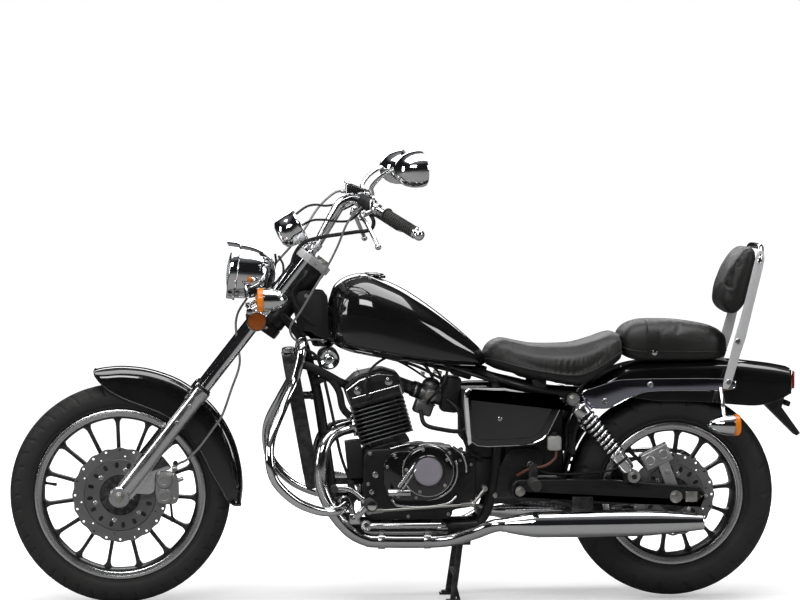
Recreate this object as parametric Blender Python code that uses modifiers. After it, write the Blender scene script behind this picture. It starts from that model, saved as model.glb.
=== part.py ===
"""A cruiser motorcycle with one liquid-cooled cylinder, standing upright on its centre stand.

Metres. X runs back from the front axle, Y to the rider's right, and Z up from the floor.
Everything hangs from one empty, which puts the origin on the floor under the middle of the length.
"""

import math

import bmesh
import bpy
from mathutils import Matrix, Vector

# Wheels, as tyre sizes give them
WHEELBASE = 1.605
FRONT_TYRE_RADIUS = 0.3185
FRONT_TYRE_WIDTH = 0.100
FRONT_RIM_RADIUS = 0.246
REAR_TYRE_RADIUS = 0.3025
REAR_TYRE_WIDTH = 0.140
REAR_RIM_RADIUS = 0.208
REAR_WHEEL_LIFT = 0.008
FLANGE_HEIGHT = 0.017
FLANGE_THICKNESS = 0.004
FRONT_RIM_HALF = 0.040
REAR_RIM_HALF = 0.052
FRONT_SPOKES = 15
REAR_SPOKES = 14
SPOKE_WIDTH = 0.011
SPOKE_DEPTH = 0.026
FRONT_DISC_RADIUS = 0.1375
REAR_DISC_RADIUS = 0.1215
DISC_THICKNESS = 0.005
FRONT_DISC_Y = -0.0528
REAR_DISC_Y = -0.0680
AXLE_RADIUS = 0.008
CALIPER_AT = (0.136, -0.0605, 0.340)
CALIPER_SIZE = (0.070, 0.050, 0.098)

# Fork and steering
RAKE = math.radians(38.0)
YOKE_OFFSET = 0.048
FORK_SPREAD = 0.090
STANCHION_RADIUS = 0.0185
SLIDER_RADIUS = 0.0245
SLIDER_TOP = 0.389
LOWER_YOKE_ALONG = 0.640
LOWER_YOKE_THICKNESS = 0.030
TOP_YOKE_ALONG = 0.874
TOP_YOKE_THICKNESS = 0.024
HEAD_TUBE_RADIUS = 0.028
STEM_RADIUS = 0.0145
HOSE_RADIUS = 0.0035

MIRROR_FOOT = 1.174

# Frame
CRADLE_HALF = 0.062
CRADLE_TUBE = 0.014
CRADLE_LOW = 0.222
BACKBONE_TUBE = 0.020
SEAT_RAIL_TUBE = 0.011
SEAT_RAIL_HALF = 0.0985
PIVOT_X = 1.151
PIVOT_Z = 0.330
ARM_HALF = 0.111
ARM_THICKNESS = 0.026

# Engine
CASE_FRONT = 0.700
CASE_REAR = 0.960
CASE_LOW = 0.246
CASE_TOP = 0.452
CASE_HALF = 0.100
GEARBOX_REAR = 1.030
GEARBOX_HALF = 0.050
CYLINDER_LEAN = math.radians(16.0)
BARREL_HEIGHT = 0.137
FIN_REACH = 0.079
PORT_HEIGHT = 0.088
INTAKE_FALL = math.radians(20.0)
FIN_COUNT = 9
FIN_THICKNESS = 0.004
LEFT_COVER_AT = (0.886, 0.389)

# Chain drive, on the right
CHAIN_Y = 0.086
CHAIN_HALF_WIDTH = 0.0065
CHAIN_HALF_HEIGHT = 0.006
REAR_SPROCKET_RADIUS = 0.092
FRONT_SPROCKET_RADIUS = 0.038
FRONT_SPROCKET_AT = (1.012, 0.335)
SPROCKET_TEETH = 24
SPROCKET_THICKNESS = 0.0054

# Exhaust
PIPE_RADIUS = 0.019
PIPE_HALF = 0.120
MUFFLER_HALF = 0.176
MUFFLER_RADIUS = 0.0395

# Bodywork
SKIN = 0.003
FRONT_FENDER_RADIUS = 0.366
FRONT_FENDER_HALF = 0.060
REAR_FENDER_HALF = 0.084
RAIL_HALF = 0.113
RAIL_THICKNESS = 0.006
TAIL_X = 1.948
SIDE_COVER_HALF = 0.118
SIDE_COVER_THICKNESS = 0.012
TUNNEL_HALF = 0.032
NECK_COVER_HALF = 0.050
SEAT_PAN_LOW = 0.650
PAD_AT = (1.7905, 0, 0.938)
PAD_LEAN = math.radians(16.5)
PAD_SIZE = (0.066, 0.225, 0.205)

# Front face of each radiator lug on the frame, its place across and its height
RADIATOR_LUGS = ((0.550, 0.045, 0.600), (0.5805, 0.060, 0.400))

# Footpegs
PEG_BAR_X = 0.672
PEG_BAR_Z = 0.258

# Stands
CENTRE_PIVOT_X = 0.985
CENTRE_PIVOT_Z = 0.190
CENTRE_LEG_HALF = 0.078
CENTRE_FOOT_LEAD = 0.025
SIDE_PIVOT_X = 0.706
SIDE_PIVOT_Z = 0.236
SIDE_PIVOT_Y = -0.152
SIDE_PIVOT_TILT = math.radians(20.0)
SIDE_LEG_LENGTH = 0.215

# Gaps
SEAT_GAP = 0.0003
RUNNING_GAP = 0.001

REAR_AXLE_Z = REAR_TYRE_RADIUS + REAR_WHEEL_LIFT
FRONT_AXLE = Vector((0.0, 0.0, FRONT_TYRE_RADIUS))
REAR_AXLE = Vector((WHEELBASE, 0.0, REAR_AXLE_Z))
PLATE_BRACKET_REAR = WHEELBASE + 0.380
ORIGIN_X = (PLATE_BRACKET_REAR - FRONT_TYRE_RADIUS) / 2
SIN_RAKE = math.sin(RAKE)
COS_RAKE = math.cos(RAKE)
QUARTER = math.pi / 2

# Colour, metallic and roughness of each finish
FINISHES = {
    "gloss_black": ((0.010, 0.010, 0.011, 1), 0.0, 0.08),
    "satin_black": ((0.020, 0.020, 0.021, 1), 0.0, 0.45),
    "chrome": ((0.80, 0.81, 0.83, 1), 1.0, 0.08),
    "alloy": ((0.55, 0.56, 0.57, 1), 1.0, 0.35),
    "steel": ((0.42, 0.42, 0.43, 1), 1.0, 0.30),
    "rubber": ((0.025, 0.025, 0.026, 1), 0.0, 0.80),
    "leather": ((0.030, 0.030, 0.029, 1), 0.0, 0.55),
    "amber": ((0.90, 0.35, 0.02, 1), 0.0, 0.15),
    "red": ((0.45, 0.01, 0.02, 1), 0.0, 0.15),
    "glass": ((0.70, 0.74, 0.78, 1), 0.0, 0.05),
}


def on_fork(along, behind, across=0.0):
    """A point by its distance along the fork from the front axle, behind the fork's axis and across the bike."""
    x = along * SIN_RAKE + behind * COS_RAKE
    z = FRONT_TYRE_RADIUS + along * COS_RAKE - behind * SIN_RAKE
    return Vector((x, across, z))


def make_collection(name):
    """A new collection in the scene."""
    made = bpy.data.collections.new(name)
    bpy.context.scene.collection.children.link(made)
    return made


def put_in(obj, collection):
    """Moves an object into one collection."""
    for holder in list(obj.users_collection):
        holder.objects.unlink(obj)
    collection.objects.link(obj)


def apply_modifiers(obj):
    """Replaces an object's mesh by its evaluated one."""
    graph = bpy.context.evaluated_depsgraph_get()
    mesh = bpy.data.meshes.new_from_object(obj.evaluated_get(graph))
    old = obj.data
    obj.modifiers.clear()
    obj.data = mesh
    bpy.data.meshes.remove(old)
    return obj


def as_mesh(obj):
    """A curve object made a mesh whose caps are welded and whose faces point out."""
    graph = bpy.context.evaluated_depsgraph_get()
    mesh = bpy.data.meshes.new_from_object(obj.evaluated_get(graph))
    work = bmesh.new()
    work.from_mesh(mesh)
    bmesh.ops.remove_doubles(work, verts=work.verts, dist=1e-5)
    bmesh.ops.recalc_face_normals(work, faces=work.faces)
    work.to_mesh(mesh)
    work.free()
    solid = bpy.data.objects.new("solid", mesh)
    solid.matrix_world = obj.matrix_world.copy()
    bpy.context.scene.collection.objects.link(solid)
    bpy.data.objects.remove(obj)
    bpy.context.view_layer.update()
    return solid


def box(size, at, turn=(0, 0, 0), bevel=0.0, segments=1):
    """A box of a size, centred at a place, with rounded edges if asked."""
    bpy.ops.mesh.primitive_cube_add(size=1, location=at, rotation=turn)
    obj = bpy.context.object
    obj.data.transform(Matrix.Diagonal((*size, 1)))
    if bevel:
        edge = obj.modifiers.new("Bevel", "BEVEL")
        edge.width = bevel
        edge.segments = segments
        edge.limit_method = "NONE"
        apply_modifiers(obj)
    return obj


def rod(start, end, radius, sides=10, end_radius=None):
    """A round bar or cone between two points."""
    start, end = Vector(start), Vector(end)
    along = end - start
    bpy.ops.mesh.primitive_cone_add(
        vertices=sides,
        radius1=radius,
        radius2=radius if end_radius is None else end_radius,
        depth=along.length,
        location=(start + end) / 2,
    )
    obj = bpy.context.object
    obj.rotation_mode = "QUATERNION"
    obj.rotation_quaternion = along.to_track_quat("Z", "Y")
    bpy.context.view_layer.update()
    return obj


def ball(radius, at, scale=(1, 1, 1), segments=10, rings=6, turn=(0, 0, 0)):
    """A sphere or ellipsoid."""
    bpy.ops.mesh.primitive_uv_sphere_add(segments=segments, ring_count=rings, radius=radius, location=at, rotation=turn)
    obj = bpy.context.object
    obj.data.transform(Matrix.Diagonal((*scale, 1)))
    return obj


def smooth(points, steps=3):
    """A smooth curve through the points, by Catmull and Rom's rule."""
    points = [Vector(p) for p in points]
    padded = [2 * points[0] - points[1]] + points + [2 * points[-1] - points[-2]]
    made = []
    for a, b, c, d in zip(padded, padded[1:], padded[2:], padded[3:]):
        for step in range(steps):
            t = step / steps
            bend = (2 * a - 5 * b + 4 * c - d) * t * t + (3 * b - a - 3 * c + d) * t**3
            made.append((2 * b + (c - a) * t + bend) / 2)
    return made + [points[-1]]


def tube(points, radius, resolution=2, cyclic=False):
    """A round tube along a line of points, as a mesh with welded caps."""
    data = bpy.data.curves.new("tube", "CURVE")
    data.dimensions = "3D"
    data.bevel_depth = radius
    data.bevel_resolution = resolution
    data.use_fill_caps = True
    line = data.splines.new("POLY")
    line.points.add(len(points) - 1)
    for place, point in zip(line.points, points):
        place.co = (*point, 1)
    line.use_cyclic_u = cyclic
    obj = bpy.data.objects.new("tube", data)
    bpy.context.scene.collection.objects.link(obj)
    bpy.context.view_layer.update()
    return as_mesh(obj)


def plate(outlines, thickness, at=(0, 0, 0), turn=(QUARTER, 0, 0)):
    """A flat piece from 2D outlines, the first outside and the rest as holes; its middle plane is at Y of the place."""
    data = bpy.data.curves.new("plate", "CURVE")
    data.dimensions = "2D"
    data.fill_mode = "BOTH"
    data.extrude = thickness / 2
    for outline in outlines:
        line = data.splines.new("POLY")
        line.points.add(len(outline) - 1)
        for place, point in zip(line.points, outline):
            place.co = (point[0], point[1], 0, 1)
        line.use_cyclic_u = True
    obj = bpy.data.objects.new("plate", data)
    obj.location = at
    obj.rotation_euler = turn
    bpy.context.scene.collection.objects.link(obj)
    bpy.context.view_layer.update()
    return as_mesh(obj)


def circle(radius, count, centre=(0, 0), start=0.0):
    """Points round a circle."""
    return [
        (
            centre[0] + radius * math.cos(start + 2 * math.pi * i / count),
            centre[1] + radius * math.sin(start + 2 * math.pi * i / count),
        )
        for i in range(count)
    ]


def turned(profile, at, turn, steps=32, closed=False):
    """A turned piece: the profile's (radius, height) points run top to bottom on its outer side."""
    mesh = bpy.data.meshes.new("turned")
    edges = [(i, i + 1) for i in range(len(profile) - 1)]
    if closed:
        edges.append((len(profile) - 1, 0))
    mesh.from_pydata([(radius, 0, height) for radius, height in profile], edges, [])
    obj = bpy.data.objects.new("turned", mesh)
    bpy.context.scene.collection.objects.link(obj)
    screw = obj.modifiers.new("Screw", "SCREW")
    screw.axis = "Z"
    screw.steps = steps
    screw.render_steps = steps
    screw.use_merge_vertices = True
    screw.merge_threshold = 0.00005
    apply_modifiers(obj)
    obj.location = at
    obj.rotation_euler = turn
    bpy.context.view_layer.update()
    return obj


def loft(rings, close_ends=True):
    """A skin over rings with equal counts of points, closed by flat ends."""
    work = bmesh.new()
    rows = [[work.verts.new(point) for point in ring] for ring in rings]
    for row, following in zip(rows, rows[1:]):
        for i in range(len(row)):
            j = (i + 1) % len(row)
            work.faces.new((row[i], row[j], following[j], following[i]))
    if close_ends:
        work.faces.new(list(reversed(rows[0])))
        work.faces.new(rows[-1])
    bmesh.ops.recalc_face_normals(work, faces=work.faces)
    mesh = bpy.data.meshes.new("loft")
    work.to_mesh(mesh)
    work.free()
    obj = bpy.data.objects.new("loft", mesh)
    bpy.context.scene.collection.objects.link(obj)
    return obj


def open_shell(rows, thickness):
    """A sheet over rows of points, thickened to its inner side."""
    work = bmesh.new()
    grid = [[work.verts.new(point) for point in row] for row in rows]
    for row, following in zip(grid, grid[1:]):
        for i in range(len(row) - 1):
            work.faces.new((row[i], following[i], following[i + 1], row[i + 1]))
    mesh = bpy.data.meshes.new("shell")
    work.to_mesh(mesh)
    work.free()
    obj = bpy.data.objects.new("shell", mesh)
    bpy.context.scene.collection.objects.link(obj)
    wall = obj.modifiers.new("Solidify", "SOLIDIFY")
    wall.thickness = thickness
    wall.offset = -1
    wall.use_even_offset = True
    return apply_modifiers(obj)


def join(pieces):
    """One solid from pieces that overlap."""
    base, *others = pieces
    for other in others:
        modifier = base.modifiers.new("Union", "BOOLEAN")
        modifier.operation = "UNION"
        modifier.object = other
        apply_modifiers(base)
        bpy.data.objects.remove(other)
    return base


def cut(obj, cutters):
    """Takes the cutters away from a solid."""
    for cutter in cutters:
        modifier = obj.modifiers.new("Cut", "BOOLEAN")
        modifier.operation = "DIFFERENCE"
        modifier.object = cutter
        apply_modifiers(obj)
        bpy.data.objects.remove(cutter)
    return obj


def mirrored(point):
    """The same point on the other side of the bike."""
    return Vector((point[0], -point[1], point[2]))


def both_sides(half_path):
    """A path from the left end over the middle plane to the right end, from its left half."""
    left = [Vector(p) for p in half_path]
    return left + [mirrored(p) for p in reversed(left)]


def oval_section(x, half_width, low, high, upper_power, lower_power, count=16):
    """A closed cross-section at one X, rounder or squarer by its powers."""
    ring = []
    middle = (low + high) / 2
    half_height = (high - low) / 2
    for i in range(count):
        angle = 2 * math.pi * i / count
        across, up = math.cos(angle), math.sin(angle)
        power = upper_power if up >= 0 else lower_power
        y = half_width * math.copysign(abs(across) ** (2 / power), across)
        z = middle + half_height * math.copysign(abs(up) ** (2 / power), up)
        ring.append((x, y, z))
    return ring


def name_piece(obj, name, finish, collection, pivot=None):
    """Names a finished piece, gives it its material and puts its origin on its pivot."""
    obj.name = name
    obj.data.name = name
    colour, metallic, roughness = FINISHES[finish]
    material = bpy.data.materials.new(name + "_" + finish)
    material.use_nodes = True
    shader = material.node_tree.nodes["Principled BSDF"]
    shader.inputs["Base Color"].default_value = colour
    shader.inputs["Metallic"].default_value = metallic
    shader.inputs["Roughness"].default_value = roughness
    material.diffuse_color = colour
    obj.data.materials.clear()
    obj.data.materials.append(material)
    obj.data.transform(obj.matrix_world)
    obj.matrix_world.identity()
    if pivot is not None:
        obj.data.transform(Matrix.Translation(-Vector(pivot)))
        obj.location = pivot
    for face in obj.data.polygons:
        face.use_smooth = True
    obj.data.set_sharp_from_angle(angle=math.radians(35))
    put_in(obj, collection)
    return obj


def tyre(centre, radius, width, bead_radius, inner_half):
    """A tyre: the bead between the flanges, a round sidewall and a crowned tread."""
    half = width / 2
    lip = bead_radius + FLANGE_HEIGHT + 0.0006
    height = radius - lip
    left_side = [
        (bead_radius + SEAT_GAP, inner_half),
        (lip, inner_half),
        (lip + 0.40 * height, half),
        (lip + 0.70 * height, 0.90 * half),
        (lip + 0.92 * height, 0.58 * half),
        (radius, 0.0),
    ]
    profile = left_side + [(r, -y) for r, y in reversed(left_side[:-1])]
    return turned(profile, centre, (QUARTER, 0, 0), steps=28, closed=True)


def rim_ring(centre, flange_radius, half, inner_radius):
    """The rim's ring: two flanges, the bead seat, and the waist that the spokes meet."""
    seat = flange_radius - FLANGE_HEIGHT
    inner = half - FLANGE_THICKNESS
    profile = [
        (flange_radius, half),
        (flange_radius, inner),
        (seat, inner),
        (seat, -inner),
        (flange_radius, -inner),
        (flange_radius, -half),
        (seat + 0.002, -half),
        (inner_radius, -SPOKE_DEPTH / 2 - 0.004),
        (inner_radius, SPOKE_DEPTH / 2 + 0.004),
        (seat + 0.002, half),
    ]
    return turned(profile, centre, (QUARTER, 0, 0), steps=28, closed=True)


def spoke_plate(centre, spokes, inner_radius, outer_radius, start):
    """The spokes: a disc with a window between each pair, its corners cut so that the spokes flare."""
    outlines = [circle(outer_radius + 0.004, 28)]
    half_pitch = math.pi / spokes
    flare = 0.012
    for i in range(spokes):
        middle = start + 2 * half_pitch * i
        points = []
        for r, extra in ((inner_radius, flare * 0.2), (outer_radius - 0.002, 0.0)):
            reach = half_pitch - (SPOKE_WIDTH / 2 + extra) / r
            points.append((r, reach))
        outline = [(r, -a) for r, a in points] + [(outer_radius, 0.0)] + [(r, a) for r, a in reversed(points)]
        outlines.append([(r * math.cos(middle + a), r * math.sin(middle + a)) for r, a in outline])
    return plate(outlines, SPOKE_DEPTH, centre)


def wheel_rim(name, centre, flange_radius, half, spokes, hub, start, collection):
    """A cast wheel: rim, spokes and hub, with the axle's bore through it."""
    inner_radius = flange_radius - 0.028
    ring = rim_ring(centre, flange_radius, half, inner_radius)
    spoke_disc = spoke_plate(centre, spokes, 0.062, inner_radius + 0.001, start)
    body = turned(hub, centre, (QUARTER, 0, 0), steps=12)
    wheel = join([ring, spoke_disc, body])
    bore = rod(centre + Vector((0, -0.2, 0)), centre + Vector((0, 0.2, 0)), AXLE_RADIUS + RUNNING_GAP, 12)
    cut(wheel, [bore])
    return name_piece(wheel, name, "satin_black", collection, centre)


def brake_disc(name, centre, y, radius, inner_radius, waves, collection):
    """A brake disc with a waved edge."""
    count = waves * 3
    edge = []
    for i in range(count):
        angle = 2 * math.pi * i / count
        reach = radius - 0.0025 * (1 - math.cos(waves * angle)) / 2
        edge.append((reach * math.cos(angle), reach * math.sin(angle)))
    outlines = [edge, circle(inner_radius, 12)]
    disc = plate(outlines, DISC_THICKNESS, centre + Vector((0, y, 0)))
    return name_piece(disc, name, "steel", collection, centre)


def front_wheel(collection):
    """The front tyre, rim and disc."""
    seat = FRONT_RIM_RADIUS - FLANGE_HEIGHT
    inner = FRONT_RIM_HALF - FLANGE_THICKNESS - SEAT_GAP
    solid = tyre(FRONT_AXLE, FRONT_TYRE_RADIUS, FRONT_TYRE_WIDTH, seat, inner)
    name_piece(solid, "front_tyre", "rubber", collection, FRONT_AXLE)
    left = -FRONT_DISC_Y - DISC_THICKNESS / 2 - SEAT_GAP
    hub = [
        (0.0, left),
        (0.082, left),
        (0.082, left - 0.008),
        (0.045, left - 0.022),
        (0.045, -0.030),
        (0.034, -0.050),
        (0.0, -0.050),
    ]
    wheel_rim("front_rim", FRONT_AXLE, FRONT_RIM_RADIUS, FRONT_RIM_HALF, FRONT_SPOKES, hub, 0.35, collection)
    brake_disc("front_disc", FRONT_AXLE, FRONT_DISC_Y, FRONT_DISC_RADIUS, 0.059, 10, collection)


def rear_wheel(collection):
    """The rear tyre, rim, disc and sprocket."""
    seat = REAR_RIM_RADIUS - FLANGE_HEIGHT
    inner = REAR_RIM_HALF - FLANGE_THICKNESS - SEAT_GAP
    solid = tyre(REAR_AXLE, REAR_TYRE_RADIUS, REAR_TYRE_WIDTH, seat, inner)
    name_piece(solid, "rear_tyre", "rubber", collection, REAR_AXLE)
    left = -REAR_DISC_Y - DISC_THICKNESS / 2 - SEAT_GAP
    right = CHAIN_Y - SPROCKET_THICKNESS / 2 - SEAT_GAP
    hub = [
        (0.0, left),
        (0.070, left),
        (0.070, left - 0.008),
        (0.045, left - 0.024),
        (0.045, 0.030 - right),
        (0.062, 0.010 - right),
        (0.062, -right),
        (0.0, -right),
    ]
    wheel_rim("rear_rim", REAR_AXLE, REAR_RIM_RADIUS, REAR_RIM_HALF, REAR_SPOKES, hub, 0.10, collection)
    brake_disc("rear_disc", REAR_AXLE, REAR_DISC_Y, REAR_DISC_RADIUS, 0.050, 10, collection)
    tip = REAR_SPROCKET_RADIUS - 0.0015
    teeth = []
    for i in range(SPROCKET_TEETH):
        for share, r in ((0.0, tip - 0.006), (0.5, tip)):
            angle = 2 * math.pi * (i + share) / SPROCKET_TEETH
            teeth.append((r * math.cos(angle), r * math.sin(angle)))
    outlines = [teeth, circle(AXLE_RADIUS + 0.006, 12)]
    solid = plate(outlines, SPROCKET_THICKNESS, REAR_AXLE + Vector((0, CHAIN_Y, 0)))
    name_piece(solid, "rear_sprocket", "steel", collection, REAR_AXLE)


def front_fork(collection):
    """Both legs, the axle that joins them and the caliper's lug."""
    pieces = []
    for side in (-1, 1):
        y = side * FORK_SPREAD
        profile = [
            (0.0, TOP_YOKE_ALONG + TOP_YOKE_THICKNESS / 2 + 0.008),
            (STANCHION_RADIUS, TOP_YOKE_ALONG + TOP_YOKE_THICKNESS / 2 + 0.006),
            (STANCHION_RADIUS, SLIDER_TOP),
            (SLIDER_RADIUS + 0.002, SLIDER_TOP),
            (SLIDER_RADIUS + 0.002, SLIDER_TOP - 0.030),
            (SLIDER_RADIUS, SLIDER_TOP - 0.034),
            (SLIDER_RADIUS, 0.020),
            (SLIDER_RADIUS - 0.003, 0.0),
            (0.0, -0.004),
        ]
        pieces.append(turned(profile, FRONT_AXLE + Vector((0, y, 0)), (0, RAKE, 0), steps=12))
        pieces.append(rod(FRONT_AXLE + Vector((0, y - 0.0245, 0)), FRONT_AXLE + Vector((0, y + 0.0245, 0)), 0.027, 10))
    pieces.append(rod(FRONT_AXLE + Vector((0, -0.125, 0)), FRONT_AXLE + Vector((0, 0.125, 0)), AXLE_RADIUS, 8))
    for side, start in ((-1, -FRONT_DISC_Y + DISC_THICKNESS), (1, 0.051)):
        near = FRONT_AXLE + Vector((0, side * start, 0))
        pieces.append(rod(near, FRONT_AXLE + Vector((0, side * 0.070, 0)), 0.013, 8))
    front, top = CALIPER_AT[0] - CALIPER_SIZE[0] / 2 - SEAT_GAP, CALIPER_AT[2] + CALIPER_SIZE[2] / 2 + SEAT_GAP
    web = [
        (0.020, 0.330),
        (front, top - 0.080),
        (front, top),
        (front + 0.040, top),
        (front + 0.050, top + 0.008),
        (0.118, 0.440),
        (0.055, 0.395),
    ]
    pieces.append(plate([web], 0.010, (0, -0.078, 0)))
    name_piece(join(pieces), "front_fork", "alloy", collection, on_fork(0, YOKE_OFFSET))


def front_caliper(collection):
    """The two-piston caliper, bridged over the disc, on the left leg's lug."""
    centre = Vector(CALIPER_AT)
    body = box(CALIPER_SIZE, centre, bevel=0.006)
    pistons = [
        rod(centre + Vector((0.0, -0.020, dz)), centre + Vector((0.0, -0.034, dz)), 0.021, 10) for dz in (-0.022, 0.022)
    ]
    body = join([body] + pistons)
    slot = rod(
        FRONT_AXLE + Vector((0, FRONT_DISC_Y - 0.0045, 0)),
        FRONT_AXLE + Vector((0, FRONT_DISC_Y + 0.0045, 0)),
        FRONT_DISC_RADIUS + 0.006,
        32,
    )
    cut(body, [slot])
    name_piece(body, "front_caliper", "alloy", collection, on_fork(0, YOKE_OFFSET))


def brake_hose(collection):
    """The front brake's hose, from the master cylinder between the legs and down to the caliper."""
    caliper_top = CALIPER_AT[2] + CALIPER_SIZE[2] / 2 + SEAT_GAP
    route = [
        (0.664 - SEAT_GAP, 0.224, 1.190),
        (0.630, 0.220, 1.184),
        (0.580, 0.186, 1.140),
        (0.538, 0.130, 1.078),
        on_fork(TOP_YOKE_ALONG, -0.046, 0.084),
        on_fork(0.780, -0.052, 0.079),
        on_fork(LOWER_YOKE_ALONG + 0.012, -0.054, 0.066),
        on_fork(0.600, -0.042, 0.040),
        on_fork(0.556, -0.004, -0.010),
        on_fork(0.510, 0.040, -0.052),
        on_fork(0.437, 0.066, -0.067),
        on_fork(0.364, 0.090, -0.0695),
        on_fork(0.312, 0.094, -0.0700),
        on_fork(0.250, 0.095, -0.0735),
        on_fork(0.200, 0.088, -0.0765),
        (0.172, -0.074, 0.412),
        (CALIPER_AT[0] + 0.024, -0.070, caliper_top + 0.012),
        (CALIPER_AT[0] + 0.022, -0.070, caliper_top),
    ]
    hose = tube(smooth(route), HOSE_RADIUS, 0)
    name_piece(hose, "brake_hose", "rubber", collection, on_fork(0, YOKE_OFFSET))


def yokes(collection):
    """Both yokes and the stem between them."""
    pieces = []
    for along, thickness, rear in (
        (LOWER_YOKE_ALONG, LOWER_YOKE_THICKNESS, 0.030),
        (TOP_YOKE_ALONG, TOP_YOKE_THICKNESS, 0.034),
    ):
        outline = []
        for behind, across in (
            (-0.030, -FORK_SPREAD + 0.010),
            (-0.030, FORK_SPREAD - 0.010),
            (-0.016, FORK_SPREAD + 0.027),
            (0.016, FORK_SPREAD + 0.027),
            (0.030, FORK_SPREAD + 0.010),
            (YOKE_OFFSET + rear, 0.030),
            (YOKE_OFFSET + rear, -0.030),
            (0.030, -FORK_SPREAD - 0.010),
            (0.016, -FORK_SPREAD - 0.027),
            (-0.016, -FORK_SPREAD - 0.027),
        ):
            outline.append((behind, across))
        slab = plate(
            [outline] + [circle(STANCHION_RADIUS + SEAT_GAP, 12, (0, side * FORK_SPREAD)) for side in (-1, 1)],
            thickness,
            on_fork(along, 0),
            (0, RAKE, 0),
        )
        pieces.append(slab)
    pieces.append(rod(on_fork(LOWER_YOKE_ALONG, YOKE_OFFSET), on_fork(TOP_YOKE_ALONG + 0.022, YOKE_OFFSET), STEM_RADIUS))
    pieces.append(
        rod(on_fork(TOP_YOKE_ALONG, YOKE_OFFSET), on_fork(TOP_YOKE_ALONG + 0.020, YOKE_OFFSET), 0.021, 6)
    )
    name_piece(join(pieces), "yokes", "alloy", collection, on_fork(0, YOKE_OFFSET))


def fender_shell(stations, thickness):
    """A mudguard: at each station a crown with round shoulders and skirts of its own depth."""
    rows = []
    for point, inward, half_width, depth, shoulder in stations:
        r = min(shoulder, depth * 0.8)
        section = [(-half_width, depth)]
        for step in range(4):
            angle = QUARTER * step / 3
            section.append((-half_width + r - r * math.cos(angle), r - r * math.sin(angle)))
        section += [(-y, d) for y, d in reversed(section)]
        rows.append([point + inward * d + Vector((0, y, 0)) for y, d in section])
    return open_shell(rows, thickness)


def front_fender(collection):
    """The deep front mudguard, with its bosses on the fork."""
    stations = []
    # Angle over the axle in degrees, growing to the rear end, and the skirt's depth there
    for degrees, depth, radius in (
        (101, 0.026, 0.0),
        (96, 0.062, 0.001),
        (88, 0.088, 0.002),
        (76, 0.103, 0.003),
        (62, 0.106, 0.004),
        (48, 0.104, 0.002),
        (36, 0.101, 0.0),
        (24, 0.097, -0.004),
        (12, 0.084, -0.009),
        (3, 0.062, -0.012),
        (-5, 0.032, -0.016),
    ):
        angle = math.radians(degrees)
        out = Vector((math.cos(angle), 0, math.sin(angle)))
        point = FRONT_AXLE + out * (FRONT_FENDER_RADIUS + radius)
        stations.append((point, -out, FRONT_FENDER_HALF, depth, 0.034))
    shell = fender_shell(stations, SKIN)
    pieces = [shell]
    for side in (-1, 1):
        for along in (0.270, 0.330):
            inner = on_fork(along, 0.004, side * (FRONT_FENDER_HALF - 0.002))
            outer = on_fork(along, 0.004, side * (FORK_SPREAD - SLIDER_RADIUS - SEAT_GAP))
            pieces.append(rod(inner, outer, 0.009, 6))
    name_piece(join(pieces), "front_fender", "gloss_black", collection, on_fork(0, YOKE_OFFSET))


def handlebar(collection):
    """The pulled-back bar with its clamps, grips, perches, levers and master cylinder."""
    half = [
        (0.836, -0.388, 1.080),
        (0.712, -0.240, 1.158),
        (0.668, -0.185, 1.173),
        (0.640, -0.142, 1.160),
        (0.592, -0.082, 1.076),
        (0.574, -0.056, 1.043),
        (0.566, -0.025, 1.034),
    ]
    pieces = [tube(both_sides(half), 0.011, 1)]
    for side in (-1, 1):
        yoke_top = TOP_YOKE_ALONG + TOP_YOKE_THICKNESS / 2 + SEAT_GAP
        foot = on_fork(yoke_top, 0.006, side * 0.032)
        pieces.append(rod(foot, on_fork(yoke_top + 0.030, 0.006, side * 0.032), 0.014, 8))
        grip_end = Vector((0.832, side * 0.383, 1.083))
        grip_start = Vector((0.756, side * 0.2925, 1.131))
        pieces.append(rod(grip_start, grip_end, 0.017, 10))
        pieces.append(ball(0.0155, (0.843, side * 0.396, 1.076), segments=6, rings=4))
        perch = Vector((0.722, side * 0.252, 1.152))
        pieces.append(rod(perch - Vector((0.030, side * 0.034, -0.018)), perch, 0.019, 8))
        pieces.append(rod((0.718, side * 0.262, 1.145), (0.718, side * 0.262, MIRROR_FOOT), 0.009, 6))
        lever = [
            perch + Vector((-0.016, side * 0.000, -0.012)),
            perch + Vector((-0.034, side * 0.028, -0.026)),
            perch + Vector((-0.022, side * 0.075, -0.046)),
            perch + Vector((-0.006, side * 0.115, -0.080)),
            perch + Vector((0.006, side * 0.135, -0.106)),
        ]
        pieces.append(tube(lever, 0.006, 0))
        pieces.append(ball(0.009, perch + Vector((0.006, side * 0.135, -0.108)), segments=5, rings=3))
    reservoir = [(0.664, 1.218), (0.664, 1.166), (0.706, 1.140), (0.744, 1.158), (0.744, 1.186)]
    pieces.append(plate([reservoir], 0.048, (0, 0.224, 0)))
    name_piece(join(pieces), "handlebar", "chrome", collection, on_fork(0, YOKE_OFFSET))


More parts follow.
